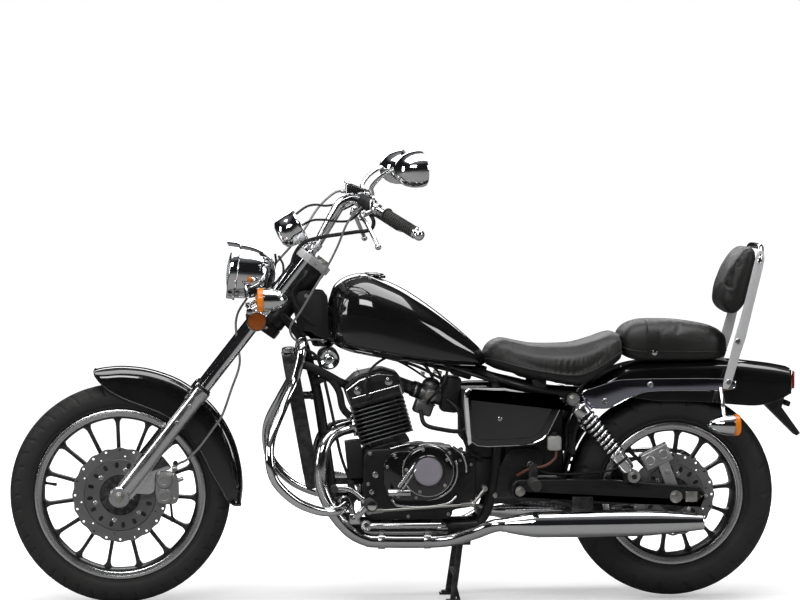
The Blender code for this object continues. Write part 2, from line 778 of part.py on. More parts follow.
def mirrors(collection):
    """A mirror on each side: a stem and a deep oval head."""
    for side, name in ((-1, "mirror_left"), (1, "mirror_right")):
        stem = [
            (0.718, side * 0.262, MIRROR_FOOT + SEAT_GAP),
            (0.718, side * 0.262, MIRROR_FOOT + 0.016),
            (0.716, side * 0.275, 1.208),
            (0.738, side * 0.310, 1.236),
            (0.780, side * 0.352, 1.262),
        ]
        pieces = [tube(stem, 0.006, 0)]
        profile = [
            (0.0, 0.030),
            (0.048, 0.030),
            (0.052, 0.024),
            (0.048, -0.006),
            (0.034, -0.034),
            (0.0, -0.050),
        ]
        head = turned(profile, (0, 0, 0), (0, 0, 0), steps=14)
        head.data.transform(Matrix.Diagonal((1, 1.25, 1, 1)))
        head.location = (0.822, side * 0.375, 1.258)
        head.rotation_euler = (0, math.radians(82), math.radians(-14 * side))
        bpy.context.view_layer.update()
        pieces.append(head)
        name_piece(join(pieces), name, "chrome", collection, on_fork(0, YOKE_OFFSET))


def headlamp(collection):
    """The bullet headlamp with its peak, and its glass."""
    tilt = math.radians(-83.0)
    centre = Vector((0.327, 0.0, 0.964))
    profile = [
        (0.0, 0.002),
        (0.078, 0.002),
        (0.078, 0.010),
        (0.083, 0.010),
        (0.083, -0.012),
        (0.079, -0.020),
        (0.074, -0.060),
        (0.058, -0.098),
        (0.0, -0.126),
    ]
    shell = turned(profile, centre, (0, tilt, 0), steps=18)
    rows = []
    for reach, radius in ((0.0, 0.0840), (0.014, 0.0838), (0.028, 0.0832)):
        row = []
        for step in range(7):
            angle = math.radians(-63 + 21 * step)
            droop = math.cos(angle * 1.35)
            local = Vector((radius * math.cos(angle), radius * math.sin(angle), 0.002 + reach * max(droop, 0.05)))
            x = centre.x + local.x * math.cos(tilt) + local.z * math.sin(tilt)
            z = centre.z - local.x * math.sin(tilt) + local.z * math.cos(tilt)
            row.append(Vector((x, local.y, z)))
        rows.append(row)
    peak = open_shell(rows, 0.003)
    yoke_top = LOWER_YOKE_ALONG + LOWER_YOKE_THICKNESS / 2 + SEAT_GAP
    bracket = tube([on_fork(yoke_top, -0.012), on_fork(yoke_top + 0.017, -0.012), (0.404, 0, 0.915)], 0.010, 1)
    name_piece(join([shell, peak, bracket]), "headlamp", "chrome", collection, on_fork(0, YOKE_OFFSET))
    dome = [(0.0, 0.018), (0.045, 0.013), (0.0775, 0.0023), (0.0, 0.0023)]
    glass = turned(dome, centre, (0, tilt, 0), steps=18)
    name_piece(glass, "headlamp_lens", "glass", collection, on_fork(0, YOKE_OFFSET))


def speedometer(collection):
    """The single cup clock on its bracket."""
    face = Vector((0.522, 0.0, 1.095))
    tilt = math.radians(62.0)
    profile = [
        (0.0, 0.0),
        (0.042, 0.0),
        (0.043, 0.003),
        (0.048, 0.003),
        (0.048, -0.050),
        (0.040, -0.066),
        (0.016, -0.072),
        (0.0, -0.072),
    ]
    cup = turned(profile, face, (0, tilt, 0), steps=14)
    yoke_top = TOP_YOKE_ALONG + TOP_YOKE_THICKNESS / 2 + SEAT_GAP
    stay = tube(
        [(0.475, 0, 1.060), (0.515, 0, 1.048), on_fork(yoke_top + 0.016, -0.014), on_fork(yoke_top, -0.014)], 0.008, 1
    )
    name_piece(join([cup, stay]), "speedometer", "chrome", collection, on_fork(0, YOKE_OFFSET))


def bullet_lamp(tip, direction, length, radius):
    """A bullet-shaped indicator: the lens at the flat end and a pointed shell behind it."""
    profile = [
        (0.0, 0.003),
        (radius * 0.92, 0.0),
        (radius, -0.010),
        (radius * 0.98, -0.35 * length),
        (radius * 0.68, -0.78 * length),
        (0.0, -length),
    ]
    return turned(profile, tip, (0, direction * QUARTER, 0), steps=10)


def front_indicators(collection):
    """Both front indicators on one cross bar, with the round reflectors on its brackets."""
    bar_at = on_fork(LOWER_YOKE_ALONG + 0.012, -0.036)
    pieces = [rod(bar_at + Vector((0, -0.160, 0)), bar_at + Vector((0, 0.160, 0)), 0.0055, 6)]
    for side in (-1, 1):
        pieces.append(bullet_lamp(Vector((0.396, side * 0.158, 0.886)), -1, 0.088, 0.034))
        pieces.append(rod(bar_at + Vector((0, side * 0.157, 0)), Vector((0.415, side * 0.158, 0.880)), 0.007, 6))
        reflector = on_fork(LOWER_YOKE_ALONG, 0.0, side * (FORK_SPREAD + 0.0275))
        pieces.append(rod(reflector, reflector + Vector((0, side * 0.012, 0)), 0.0285, 12))
        pieces.append(rod(reflector + Vector((0, side * 0.006, 0)), bar_at + Vector((0, side * 0.123, 0)), 0.0055, 6))
    name_piece(join(pieces), "front_indicators", "amber", collection, on_fork(0, YOKE_OFFSET))


def side_stand_axis():
    """The side stand's axis: the leg swings down and out about it."""
    return Vector((0, math.cos(SIDE_PIVOT_TILT), -math.sin(SIDE_PIVOT_TILT)))


def frame(collection):
    """The steel frame: head tube, backbone, twin cradle, seat rails, pivot plates and stand lugs."""
    bottom = LOWER_YOKE_ALONG + LOWER_YOKE_THICKNESS / 2 + RUNNING_GAP
    top = TOP_YOKE_ALONG - TOP_YOKE_THICKNESS / 2 - RUNNING_GAP
    pieces = [rod(on_fork(bottom, YOKE_OFFSET), on_fork(top, YOKE_OFFSET), HEAD_TUBE_RADIUS, 12)]
    backbone = [(0.500, 0, 0.872), (0.640, 0, 0.812), (0.760, 0, 0.770), (0.950, 0, 0.700), (1.060, 0, 0.662)]
    pieces.append(tube(backbone, BACKBONE_TUBE, 1))
    for side in (-1, 1):
        cradle = [
            (0.466, side * 0.016, 0.836),
            (0.520, side * 0.028, 0.775),
            (0.546, side * 0.034, 0.700),
            (0.572, side * 0.045, 0.600),
            (0.602, side * CRADLE_HALF, 0.400),
            (0.618, side * CRADLE_HALF, 0.290),
            (0.648, side * CRADLE_HALF, 0.236),
            (0.690, side * CRADLE_HALF, CRADLE_LOW),
            (1.000, side * CRADLE_HALF, CRADLE_LOW),
            (1.045, side * CRADLE_HALF, 0.240),
            (1.072, side * CRADLE_HALF, 0.300),
            (1.090, side * CRADLE_HALF, 0.420),
            (1.094, side * CRADLE_HALF, 0.560),
            (1.088, side * 0.050, 0.650),
        ]
        pieces.append(tube(cradle, CRADLE_TUBE, 1))
        seat_rail = [
            (1.040, side * 0.004, 0.668),
            (1.090, side * 0.050, 0.650),
            (1.150, side * 0.085, 0.634),
            (1.250, side * SEAT_RAIL_HALF, 0.610),
            (1.365, side * SEAT_RAIL_HALF, 0.602),
        ]
        pieces.append(tube(seat_rail, SEAT_RAIL_TUBE, 1))
        pieces.append(rod((1.301, side * 0.098, 0.597), (1.301, side * 0.172, 0.597), 0.008, 8))
        pivot_plate = [
            (1.068, 0.332),
            (1.125, 0.448),
            (1.212, 0.447),
            (1.227, 0.418),
            (1.186, 0.300),
            (1.140, 0.284),
            (1.060, 0.290),
        ]
        pieces.append(plate([pivot_plate], 0.008, (0, side * (CRADLE_HALF + 0.006), 0)))
        pieces.append(box((0.060, 0.006, 0.070), (CENTRE_PIVOT_X, side * 0.052, CENTRE_PIVOT_Z + 0.010)))
        pieces.append(box((0.045, 0.026, 0.020), (0.636, side * CRADLE_HALF, 0.300)))
        pieces.append(box((0.026, 0.020, 0.026), (0.527, side * 0.038, 0.757)))
        for x in (0.770, 0.915):
            height = CASE_LOW - SEAT_GAP - CRADLE_LOW
            pieces.append(box((0.030, 0.020, height), (x, side * CRADLE_HALF, CRADLE_LOW + height / 2)))
        for x, y, z in RADIATOR_LUGS:
            pieces.append(box((0.022, 0.014, 0.018), (x + 0.011, side * y, z)))
        height = SEAT_PAN_LOW - SEAT_GAP - 0.612
        pieces.append(box((0.040, 0.014, height), (1.210, side * 0.0935, 0.612 + height / 2)))
        pieces.append(box((0.024, 0.018, 0.024), (PEG_BAR_X, side * CRADLE_HALF, PEG_BAR_Z - 0.0213)))
        pieces.append(rod((1.187, side * 0.066, 0.400), (1.187, side * 0.144, 0.400), 0.009, 6))
        pieces.append(box((0.024, 0.012, 0.066), (1.187, side * 0.142, 0.378)))
        pieces.append(rod((1.187, side * 0.140, 0.357), (1.187, side * 0.235, 0.357), 0.0165, 8))
    mount_rear = CASE_FRONT - SEAT_GAP
    for at, size in (
        (((0.610 + mount_rear) / 2, 0, 0.355), (mount_rear - 0.610, 0.116, 0.020)),
        ((0.548, 0, 0.700), (0.014, 0.090, 0.020)),
        ((1.048, 0, 0.262), (0.030, 0.120, 0.020)),
        ((1.094, 0, 0.545), (0.016, 0.120, 0.016)),
    ):
        pieces.append(box(size, at))
    pieces.append(box((0.032, 0.082, 0.012), (SIDE_PIVOT_X + 0.001, -0.097, SIDE_PIVOT_Z - 0.004)))
    for x, z, half, radius in (
        (0.575, 0.840, NECK_COVER_HALF - SEAT_GAP, 0.008),
        (0.690, 0.794, TUNNEL_HALF - SEAT_GAP, 0.012),
        (0.950, 0.700, TUNNEL_HALF - SEAT_GAP, 0.010),
    ):
        pieces.append(rod((x, -half, z), (x, half, z), radius, 6))
    pin = side_stand_axis() * 0.030
    side_pivot = Vector((SIDE_PIVOT_X, SIDE_PIVOT_Y, SIDE_PIVOT_Z))
    pieces.append(rod(side_pivot + pin, side_pivot - pin * 0.4, 0.006, 8))
    body = join(pieces)
    cutters = [
        rod(on_fork(bottom - 0.05, YOKE_OFFSET), on_fork(top + 0.05, YOKE_OFFSET), STEM_RADIUS + RUNNING_GAP, 12),
        rod((PIVOT_X, -0.2, PIVOT_Z), (PIVOT_X, 0.2, PIVOT_Z), 0.0110, 10),
        rod((CENTRE_PIVOT_X, -0.2, CENTRE_PIVOT_Z), (CENTRE_PIVOT_X, 0.2, CENTRE_PIVOT_Z), 0.0119, 12),
    ]
    cut(body, cutters)
    name_piece(body, "frame", "satin_black", collection)


def cylinder_axes():
    """The barrel's foot, its direction up, and its direction to the rear."""
    foot = Vector((0.780, 0, CASE_TOP + SEAT_GAP))
    up = Vector((-math.sin(CYLINDER_LEAN), 0, math.cos(CYLINDER_LEAN)))
    return foot, up, Vector((up.z, 0, -up.x))


def engine(collection):
    """Crankcase, finned barrel, head, left cover and carburettor."""
    case_mid = (CASE_FRONT + CASE_REAR) / 2
    case = box(
        (CASE_REAR - CASE_FRONT, 2 * CASE_HALF, CASE_TOP - CASE_LOW),
        (case_mid, 0, (CASE_TOP + CASE_LOW) / 2),
        bevel=0.018,
    )
    gearbox = box(
        (GEARBOX_REAR - CASE_REAR + 0.06, 2 * GEARBOX_HALF, 0.150),
        ((GEARBOX_REAR + CASE_REAR - 0.06) / 2, 0, 0.350),
        bevel=0.012,
    )
    shaft_at = Vector((FRONT_SPROCKET_AT[0], 0, FRONT_SPROCKET_AT[1]))
    shaft = rod(shaft_at + Vector((0, 0.040, 0)), shaft_at + Vector((0, CHAIN_Y + 0.006, 0)), 0.012, 8)
    wheel = rod(
        shaft_at + Vector((0, CHAIN_Y - SPROCKET_THICKNESS / 2, 0)),
        shaft_at + Vector((0, CHAIN_Y + SPROCKET_THICKNESS / 2, 0)),
        FRONT_SPROCKET_RADIUS - 0.0008,
        16,
    )
    right_cover = rod((0.872, 0.09, 0.372), (0.872, 0.124, 0.372), 0.082, 20, 0.074)
    kick = rod((0.770, 0.09, 0.330), (0.770, 0.112, 0.330), 0.045, 12, 0.040)
    body = join([case, gearbox, shaft, wheel, right_cover, kick])
    name_piece(body, "engine_crankcase", "satin_black", collection)

    foot, up, slope = cylinder_axes()
    turn = (0, -CYLINDER_LEAN, 0)
    pieces = [box((0.108, 0.120, BARREL_HEIGHT + 0.060), foot + up * (BARREL_HEIGHT / 2 - 0.030), turn)]
    pitch = (BARREL_HEIGHT - 0.040) / (FIN_COUNT - 1)
    for i in range(FIN_COUNT):
        at = foot + up * (0.032 + pitch * i)
        pieces.append(box((2 * FIN_REACH, 0.172, FIN_THICKNESS), at, turn))
    barrel = join(pieces)
    under = box((0.4, 0.4, 0.2), (0.78, 0, foot.z - 0.1))
    cut(barrel, [under])
    name_piece(barrel, "engine_cylinder", "satin_black", collection)

    head_low = foot + up * (BARREL_HEIGHT + SEAT_GAP)
    outline = [(0.643, 0.629), (0.683, 0.666), (0.758, 0.681), (0.807, 0.666)]
    for reach in (0.086, -0.079):
        p = head_low + slope * reach
        outline.append((p.x, p.z))
    head = plate([outline], 0.168)
    throat = Vector((math.cos(INTAKE_FALL), 0, -math.sin(INTAKE_FALL)))
    port = Vector((0.845, 0, 0.620))
    intake = rod(port - throat * 0.055, port, 0.020, 12)
    name_piece(join([head, intake]), "cylinder_head", "satin_black", collection)

    x, z = LEFT_COVER_AT
    lobe = [(0.762, 0.323), (0.756, 0.410), (0.785, 0.446), (0.852, 0.447), (0.930, 0.325), (0.900, 0.303), (0.791, 0.303)]
    face = -CASE_HALF - SEAT_GAP
    pieces = [
        plate([lobe], 0.018, (0, face - 0.009, 0)),
        rod((x, face, z), (x, face - 0.028, z), 0.078, 20, 0.072),
        rod((x, face - 0.020, z), (x, face - 0.034, z), 0.046, 16, 0.042),
    ]
    name_piece(join(pieces), "engine_cover_left", "gloss_black", collection)

    pieces = [
        rod(port + throat * SEAT_GAP, port + throat * 0.141, 0.023, 10),
        rod(port + throat * 0.052 + up * 0.050, port + throat * 0.052 - up * 0.030, 0.026, 8),
        box((0.058, 0.052, 0.045), port + throat * 0.052 - up * 0.042, bevel=0.006),
    ]
    name_piece(join(pieces), "carburettor", "alloy", collection)


def cooling(collection):
    """The radiator in front of the downtubes, and the two horns beside the neck."""
    core = [(0.466, 0.722), (0.536, 0.332), (0.578, 0.338), (0.512, 0.727)]
    slab = plate([core], 0.188)
    neck = rod((0.488, -0.060, 0.700), (0.485, -0.060, 0.738), 0.014, 10)
    cap = rod((0.486, -0.060, 0.729), (0.485, -0.060, 0.747), 0.019, 12)
    pieces = [slab, neck, cap]
    for side in (-1, 1):
        for x, y, z in RADIATOR_LUGS:
            pieces.append(box((0.024, 0.012, 0.014), (x - SEAT_GAP - 0.012, side * y, z)))
    name_piece(join(pieces), "radiator", "satin_black", collection)
    pieces = []
    for side in (-1, 1):
        pieces.append(rod((0.603, side * 0.034, 0.710), (0.603, side * 0.084, 0.710), 0.031, 14))
    pieces.append(rod((0.603, -0.040, 0.710), (0.603, 0.040, 0.710), 0.008, 6))
    pieces.append(rod((0.5553, 0, 0.708), (0.605, 0, 0.708), 0.007, 6))
    name_piece(join(pieces), "horns", "chrome", collection)


def crash_bar(collection):
    """The engine guard: a loop on each side, joined in front of the downtubes."""
    half = [
        (0.648, -CRADLE_HALF - 0.013 - SEAT_GAP, 0.300),
        (0.648, -0.110, 0.300),
        (0.646, -0.165, 0.296),
        (0.620, -0.208, 0.286),
        (0.565, -0.238, 0.292),
        (0.500, -0.258, 0.322),
        (0.445, -0.268, 0.378),
        (0.428, -0.268, 0.440),
        (0.434, -0.238, 0.504),
        (0.468, -0.162, 0.580),
        (0.498, -0.124, 0.640),
        (0.516, -0.115, 0.700),
        (0.523, -0.108, 0.738),
        (0.527, -0.085, 0.757),
        (0.527, -0.0483, 0.757),
    ]
    for side, name in ((1, "left"), (-1, "right")):
        path = [Vector((x, side * y, z)) for x, y, z in half]
        name_piece(tube(path, 0.0135, 1), "crash_bar_" + name, "chrome", collection)


def exhausts(collection):
    """On each side a header pipe with its clamps, and a muffler with an open tip."""
    for side, name in ((-1, "left"), (1, "right")):
        _, up, slope = cylinder_axes()
        port = cylinder_axes()[0] + up * PORT_HEIGHT - slope * (FIN_REACH + SEAT_GAP) + Vector((0, side * 0.050, 0))
        route = [
            port - slope * 0.002,
            port - slope * 0.016,
            (0.632, side * 0.068, 0.503),
            (0.602, side * 0.094, 0.485),
            (0.585, side * 0.112, 0.455),
            (0.577, side * PIPE_HALF, 0.410),
            (0.578, side * PIPE_HALF, 0.357),
            (0.594, side * PIPE_HALF, 0.307),
            (0.624, side * PIPE_HALF, 0.257),
            (0.663, side * PIPE_HALF, 0.215),
            (0.705, side * PIPE_HALF, 0.193),
            (0.745, side * PIPE_HALF, 0.187),
            (0.925, side * PIPE_HALF, 0.187),
            (1.010, side * 0.145, 0.210),
            (1.055, side * 0.168, 0.230),
            (1.080, side * MUFFLER_HALF, 0.238),
            (1.110, side * MUFFLER_HALF, 0.2387),
        ]
        pieces = [tube(route, PIPE_RADIUS, 2)]
        for x in (0.752, 0.884):
            pieces.append(rod((x - 0.010, side * PIPE_HALF, 0.187), (x + 0.010, side * PIPE_HALF, 0.187), 0.0225, 8))
        pieces.append(rod(port, port - slope * 0.006, 0.026, 10))
        profile = [
            (0.0, 0.0),
            (0.023, 0.0),
            (0.0375, -0.150),
            (MUFFLER_RADIUS, -0.300),
            (0.0375, -0.480),
            (0.0203, -0.578),
            (0.0, -0.584),
        ]
        end = Vector((1.676, side * MUFFLER_HALF, 0.2435))
        pieces.append(turned(profile, end, (0, QUARTER - math.radians(0.49), 0), steps=16))
        hollow = rod(end + Vector((0.002, 0, 0)), end + Vector((-0.050, 0, -0.0004)), 0.0195, 10)
        name_piece(cut(join(pieces), [hollow]), "exhaust_" + name, "chrome", collection)


def tank(collection):
    """The teardrop tank, with a tunnel for the backbone and a filler cap."""
    # Station along X, half width, lowest and highest point
    sections = (
        (0.607, 0.045, 0.775, 0.885),
        (0.622, 0.082, 0.748, 0.922),
        (0.660, 0.116, 0.730, 0.947),
        (0.710, 0.134, 0.719, 0.954),
        (0.765, 0.138, 0.709, 0.936),
        (0.830, 0.130, 0.700, 0.905),
        (0.900, 0.111, 0.692, 0.858),
        (0.970, 0.084, 0.686, 0.803),
        (1.030, 0.056, 0.684, 0.750),
        (1.055, 0.036, 0.688, 0.724),
    )
    body = loft([oval_section(x, w, low, high, 2.3, 4.5) for x, w, low, high in sections])
    cap = rod((0.735, 0, 0.930), (0.737, 0, 0.962), 0.030, 12)
    body = join([body, cap])
    roof = [(0.55, 0.60), (1.10, 0.60), (1.10, 0.682), (0.950, 0.7285), (0.760, 0.7985), (0.600, 0.862), (0.55, 0.890)]
    tunnel = plate([roof], 2 * TUNNEL_HALF)
    cut(body, [tunnel])
    name_piece(body, "fuel_tank", "gloss_black", collection)


def neck_cover(collection):
    """The black panels on both sides of the neck, bridged under the tank's nose."""
    outline = [
        (0.521, 0.908),
        (0.600, 0.905),
        (0.603, 0.790),
        (0.620, 0.745),
        (0.556, 0.745),
        (0.550, 0.774),
        (0.520, 0.778),
        (0.496, 0.876),
    ]
    middle = NECK_COVER_HALF + 0.002
    sides = [plate([outline], 0.004, (0, side * middle, 0)) for side in (-1, 1)]
    bridge = box((0.016, 2 * middle, 0.006), (0.585, 0, 0.897))
    name_piece(join([sides[0], bridge, sides[1]]), "neck_cover", "satin_black", collection)


def seats(collection):
    """The rider's seat over the frame and the pillion's on the rear mudguard."""
    # Station along X, half width, lowest and highest point
    rider = (
        (1.0575, 0.056, 0.692, 0.738),
        (1.076, 0.086, 0.682, 0.757),
        (1.106, 0.106, 0.670, 0.763),
        (1.150, 0.126, 0.656, 0.754),
        (1.200, 0.142, 0.645, 0.745),
        (1.270, 0.156, 0.630, 0.744),
        (1.320, 0.158, 0.626, 0.748),
        (1.370, 0.150, 0.645, 0.762),
        (1.420, 0.135, 0.682, 0.780),
        (1.448, 0.116, 0.705, 0.782),
    )
    body = loft([oval_section(x, w, low, high, 3.2, 3.6) for x, w, low, high in rider])
    room = [
        (1.03, 0.50),
        (1.50, 0.50),
        (1.50, 0.716),
        (1.46, 0.702),
        (1.40, 0.680),
        (1.33, 0.668),
        (1.26, SEAT_PAN_LOW),
        (1.16, SEAT_PAN_LOW),
        (1.135, 0.668),
        (1.03, 0.686),
    ]
    cut(body, [plate([room], 0.2384)])
    name_piece(body, "rider_seat", "leather", collection)
    pillion = (
        (1.453, 0.086, 0.722, 0.795),
        (1.472, 0.105, 0.709, 0.810),
        (1.515, 0.113, 0.7003, 0.818),
        (1.600, 0.112, 0.7003, 0.817),
        (1.680, 0.102, 0.7003, 0.810),
        (1.730, 0.088, 0.703, 0.798),
        (1.760, 0.064, 0.712, 0.778),
    )
    body = loft([oval_section(x, w, low, high, 3.2, 6.0) for x, w, low, high in pillion])
    name_piece(body, "pillion_seat", "leather", collection)


def side_covers(collection):
    """The side covers with the bosses that hold them, and the airbox between them."""
    outline = [(0.985, 0.612), (1.004, 0.630), (1.108, 0.630), (1.268, 0.594), (1.276, 0.584), (1.216, 0.464), (0.999, 0.457)]
    for side, name in ((-1, "left"), (1, "right")):
        middle = side * (SIDE_COVER_HALF + SIDE_COVER_THICKNESS / 2)
        cover = plate([outline], SIDE_COVER_THICKNESS, (0, middle, 0))
        boss_from = side * (CRADLE_HALF + CRADLE_TUBE + SEAT_GAP)
        bosses = [rod((1.092, boss_from, 0.540), (1.092, middle, 0.540), 0.008, 10)]
        name_piece(join([cover] + bosses), "side_cover_" + name, "gloss_black", collection)
    airbox = box((0.090, 0.150, 0.150), (1.031, 0, 0.545), bevel=0.010)
    name_piece(airbox, "airbox", "satin_black", collection)


def rear_fender(collection):
    """The rear mudguard: up from behind the airbox, over the wheel and out to the tail."""
    # Crown point, direction of the skirts, their depth
    table = (
        ((1.282, 0.440), (1.0, -0.30), 0.034),
        ((1.288, 0.520), (1.0, -0.60), 0.040),
        ((1.325, 0.596), (0.75, -0.90), 0.050),
        ((1.395, 0.655), (0.40, -1.0), 0.062),
        ((1.470, 0.689), (0.15, -1.0), 0.094),
        ((1.560, 0.699), (0.0, -1.0), 0.112),
        ((1.680, 0.700), (0.0, -1.0), 0.116),
        ((1.780, 0.699), (0.0, -1.0), 0.124),
        ((1.850, 0.692), (0.0, -1.0), 0.120),
        ((1.905, 0.685), (0.0, -1.0), 0.100),
        ((TAIL_X, 0.677), (0.0, -1.0), 0.070),
    )
    stations = []
    for (x, z), (dx, dz), depth in table:
        inward = Vector((dx, 0, dz)).normalized()
        stations.append((Vector((x, 0, z)), inward, REAR_FENDER_HALF, depth, 0.036))
    shell = fender_shell(stations, SKIN)
    bulkhead = box((0.004, 2 * REAR_FENDER_HALF - SKIN, 0.066), (TAIL_X - 0.002, 0, 0.6405))
    shelf = box((0.048, 0.100, 0.006), (TAIL_X - 0.024, 0, 0.6105))
    name_piece(join([shell, bulkhead, shelf]), "rear_fender", "gloss_black", collection)


def fender_rails(collection):
    """The rails on both sides of the mudguard, with the sissy bar and the rear indicators that they carry."""
    outline = [
        (1.327, 0.616),
        (1.342, 0.578),
        (1.368, 0.566),
        (1.411, 0.566),
        (1.470, 0.597),
        (1.522, 0.618),
        (1.779, 0.616),
        (1.778, 0.654),
        (1.443, 0.653),
        (1.385, 0.634),
    ]
    strut = [
        (1.738, 0.622),
        (1.762, 0.622),
        (1.792, 0.722),
        (1.808, 0.770),
        (1.822, 0.830),
        (1.862, 0.995),
        (1.858, 1.022),
        (1.840, 1.022),
        (1.796, 0.840),
        (1.776, 0.772),
        (1.758, 0.700),
    ]
    pieces = []
    for side in (-1, 1):
        middle = side * RAIL_HALF
        rail = plate([outline], RAIL_THICKNESS, (0, middle, 0))
        leg = plate([strut], RAIL_THICKNESS + 0.002, (0, middle, 0))
        holders = []
        for x, z in ((1.398, 0.588), (1.530, 0.635), (1.758, 0.636)):
            holders.append(rod((x, side * (REAR_FENDER_HALF + SEAT_GAP), z), (x, middle + side * 0.008, z), 0.008, 6))
        lamp = bullet_lamp(Vector((1.782, side * 0.168, 0.522)), 1, 0.094, 0.031)
        stem = tube([(1.735, middle, 0.622), (1.735, side * 0.150, 0.580), (1.738, side * 0.166, 0.535)], 0.0065, 0)
        pieces += [rail, leg] + holders + [lamp, stem]
    half_bow = [(1.846, -RAIL_HALF, 0.985), (1.850, -RAIL_HALF + 0.004, 1.010), (1.855, -0.086, 1.029)]
    bow = tube(both_sides(half_bow), 0.0085, 1)
    knob = rod((1.824, 0, 0.872), (1.850, 0, 0.864), 0.016, 8)
    bar = rod((1.817, -RAIL_HALF, 0.870), (1.817, RAIL_HALF, 0.870), 0.008, 6)
    rear = Vector((math.cos(PAD_LEAN), 0, -math.sin(PAD_LEAN)))
    down = Vector((rear.z, 0, -rear.x))
    holder_at = Vector(PAD_AT) + rear * (PAD_SIZE[0] / 2 + SEAT_GAP + 0.005) + down * 0.052
    holder = box((0.010, 0.060, 0.044), holder_at, (0, PAD_LEAN, 0))
    pieces += [bow, bar, knob, holder]
    name_piece(join(pieces), "fender_rails", "chrome", collection)
    pad = box(PAD_SIZE, PAD_AT, (0, PAD_LEAN, 0), 0.028, 2)
    name_piece(pad, "backrest_pad", "leather", collection)


def tail(collection):
    """The tail lamp on the mudguard's end and the plate's bracket under it."""
    lamp = box((0.016, 0.120, 0.060), (TAIL_X + SEAT_GAP + 0.008, 0, 0.642), bevel=0.005)
    name_piece(lamp, "tail_lamp", "red", collection)
    outline = [
        (1.875, 0.580),
        (1.904, 0.6072),
        (1.942, 0.6072),
        (1.930, 0.560),
        (PLATE_BRACKET_REAR, 0.484),
        (PLATE_BRACKET_REAR - 0.010, 0.476),
        (1.890, 0.560),
    ]
    arm = plate([outline], 0.070)
    name_piece(arm, "plate_bracket", "satin_black", collection)


def swingarm(collection):
    """The swingarm with its pivot bolt, the rear axle and the lower shock mounts."""
    outline = [
        (1.128, 0.314),
        (1.142, 0.301),
        (1.400, 0.290),
        (1.676, 0.286),
        (1.690, 0.300),
        (1.690, 0.322),
        (1.676, 0.338),
        (1.385, 0.362),
        (1.142, 0.362),
        (1.128, 0.346),
    ]
    pieces = []
    for side in (-1, 1):
        middle = side * ARM_HALF
        pieces.append(plate([outline], ARM_THICKNESS, (0, middle, 0)))
        pieces.append(rod((1.477, middle - side * 0.013, 0.366), (1.477, middle + side * 0.013, 0.366), 0.024, 8))
        pieces.append(rod((1.477, middle, 0.374), (1.477, side * 0.172, 0.374), 0.008, 8))
        pieces.append(rod((PIVOT_X, middle, PIVOT_Z), (PIVOT_X, side * 0.134, PIVOT_Z), 0.016, 6))
        start = side * ((-REAR_DISC_Y if side < 0 else CHAIN_Y) + 0.004)
        pieces.append(rod((WHEELBASE, start, REAR_AXLE_Z), (WHEELBASE, middle, REAR_AXLE_Z), 0.012, 8))
        pieces.append(rod((WHEELBASE, middle, REAR_AXLE_Z), (WHEELBASE, side * 0.136, REAR_AXLE_Z), 0.014, 6))
    pieces.append(box((0.066, 2 * ARM_HALF, 0.044), (1.250, 0, 0.330)))
    pieces.append(rod((PIVOT_X, -ARM_HALF, PIVOT_Z), (PIVOT_X, ARM_HALF, PIVOT_Z), 0.010, 8))
    pieces.append(
        rod((WHEELBASE, -ARM_HALF, REAR_AXLE_Z), (WHEELBASE, ARM_HALF, REAR_AXLE_Z), AXLE_RADIUS, 8)
    )
    name_piece(join(pieces), "swingarm", "satin_black", collection)


def shocks(collection):
    """A shock absorber on each side: body, rod, seats and a coil spring wound over them."""
    upper = Vector((1.301, 0, 0.597))
    lower = Vector((1.477, 0, 0.374))
    along = (lower - upper).normalized()
    length = (lower - upper).length
    aside = Vector((along.z, 0, -along.x))
    spring_from, spring_to, radius, turns = 0.060, 0.190, 0.0235, 5
    for side, name in ((-1, "shock_left"), (1, "shock_right")):
        y = Vector((0, side * 0.150, 0))
        pieces = []
        for eye in (upper, lower):
            pieces.append(rod(eye + Vector((0, side * 0.138, 0)), eye + Vector((0, side * 0.162, 0)), 0.019, 8))
        pieces.append(rod(upper + y + along * 0.012, lower + y - along * 0.012, 0.0085, 6))
        pieces.append(rod(upper + y + along * 0.026, upper + y + along * 0.058, 0.026, 10))
        pieces.append(rod(upper + y + along * 0.188, upper + y + along * (length - 0.022), 0.026, 10, 0.022))
        coil = []
        count = turns * 6
        for i in range(count + 1):
            angle = 2 * math.pi * i / 6
            centre = upper + y + along * (spring_from - 0.006 + (spring_to - spring_from + 0.012) * i / count)
            coil.append(centre + aside * radius * math.cos(angle) + Vector((0, radius * math.sin(angle), 0)))
        pieces.append(tube(coil, 0.0045, 0))
        body = join(pieces)
        bores = []
        for eye in (upper, lower):
            bores.append(rod(eye + Vector((0, side * 0.12, 0)), eye + Vector((0, side * 0.18, 0)), 0.0088, 10))
        cut(body, bores)
        name_piece(body, name, "chrome", collection)


def rear_caliper(collection):
    """The rear caliper over the disc, with its bracket down to the axle."""
    centre = Vector((1.553, -0.0735, 0.421))
    body = box((0.086, 0.044, 0.052), centre, (0, math.radians(-26), 0), 0.007)
    arm = plate(
        [[(1.545, 0.430), (1.580, 0.430), (1.622, 0.322), (1.618, 0.296), (1.592, 0.296), (1.584, 0.330)]],
        0.006,
        (0, -0.0905, 0),
    )
    body = join([body, arm])
    slot = rod(
        REAR_AXLE + Vector((0, REAR_DISC_Y - 0.0045, 0)),
        REAR_AXLE + Vector((0, REAR_DISC_Y + 0.0045, 0)),
        REAR_DISC_RADIUS + 0.006,
        32,
    )
    bore = rod(REAR_AXLE + Vector((0, -0.11, 0)), REAR_AXLE + Vector((0, -0.08, 0)), 0.0124, 16)
    cut(body, [slot, bore])
    name_piece(body, "rear_caliper", "alloy", collection)


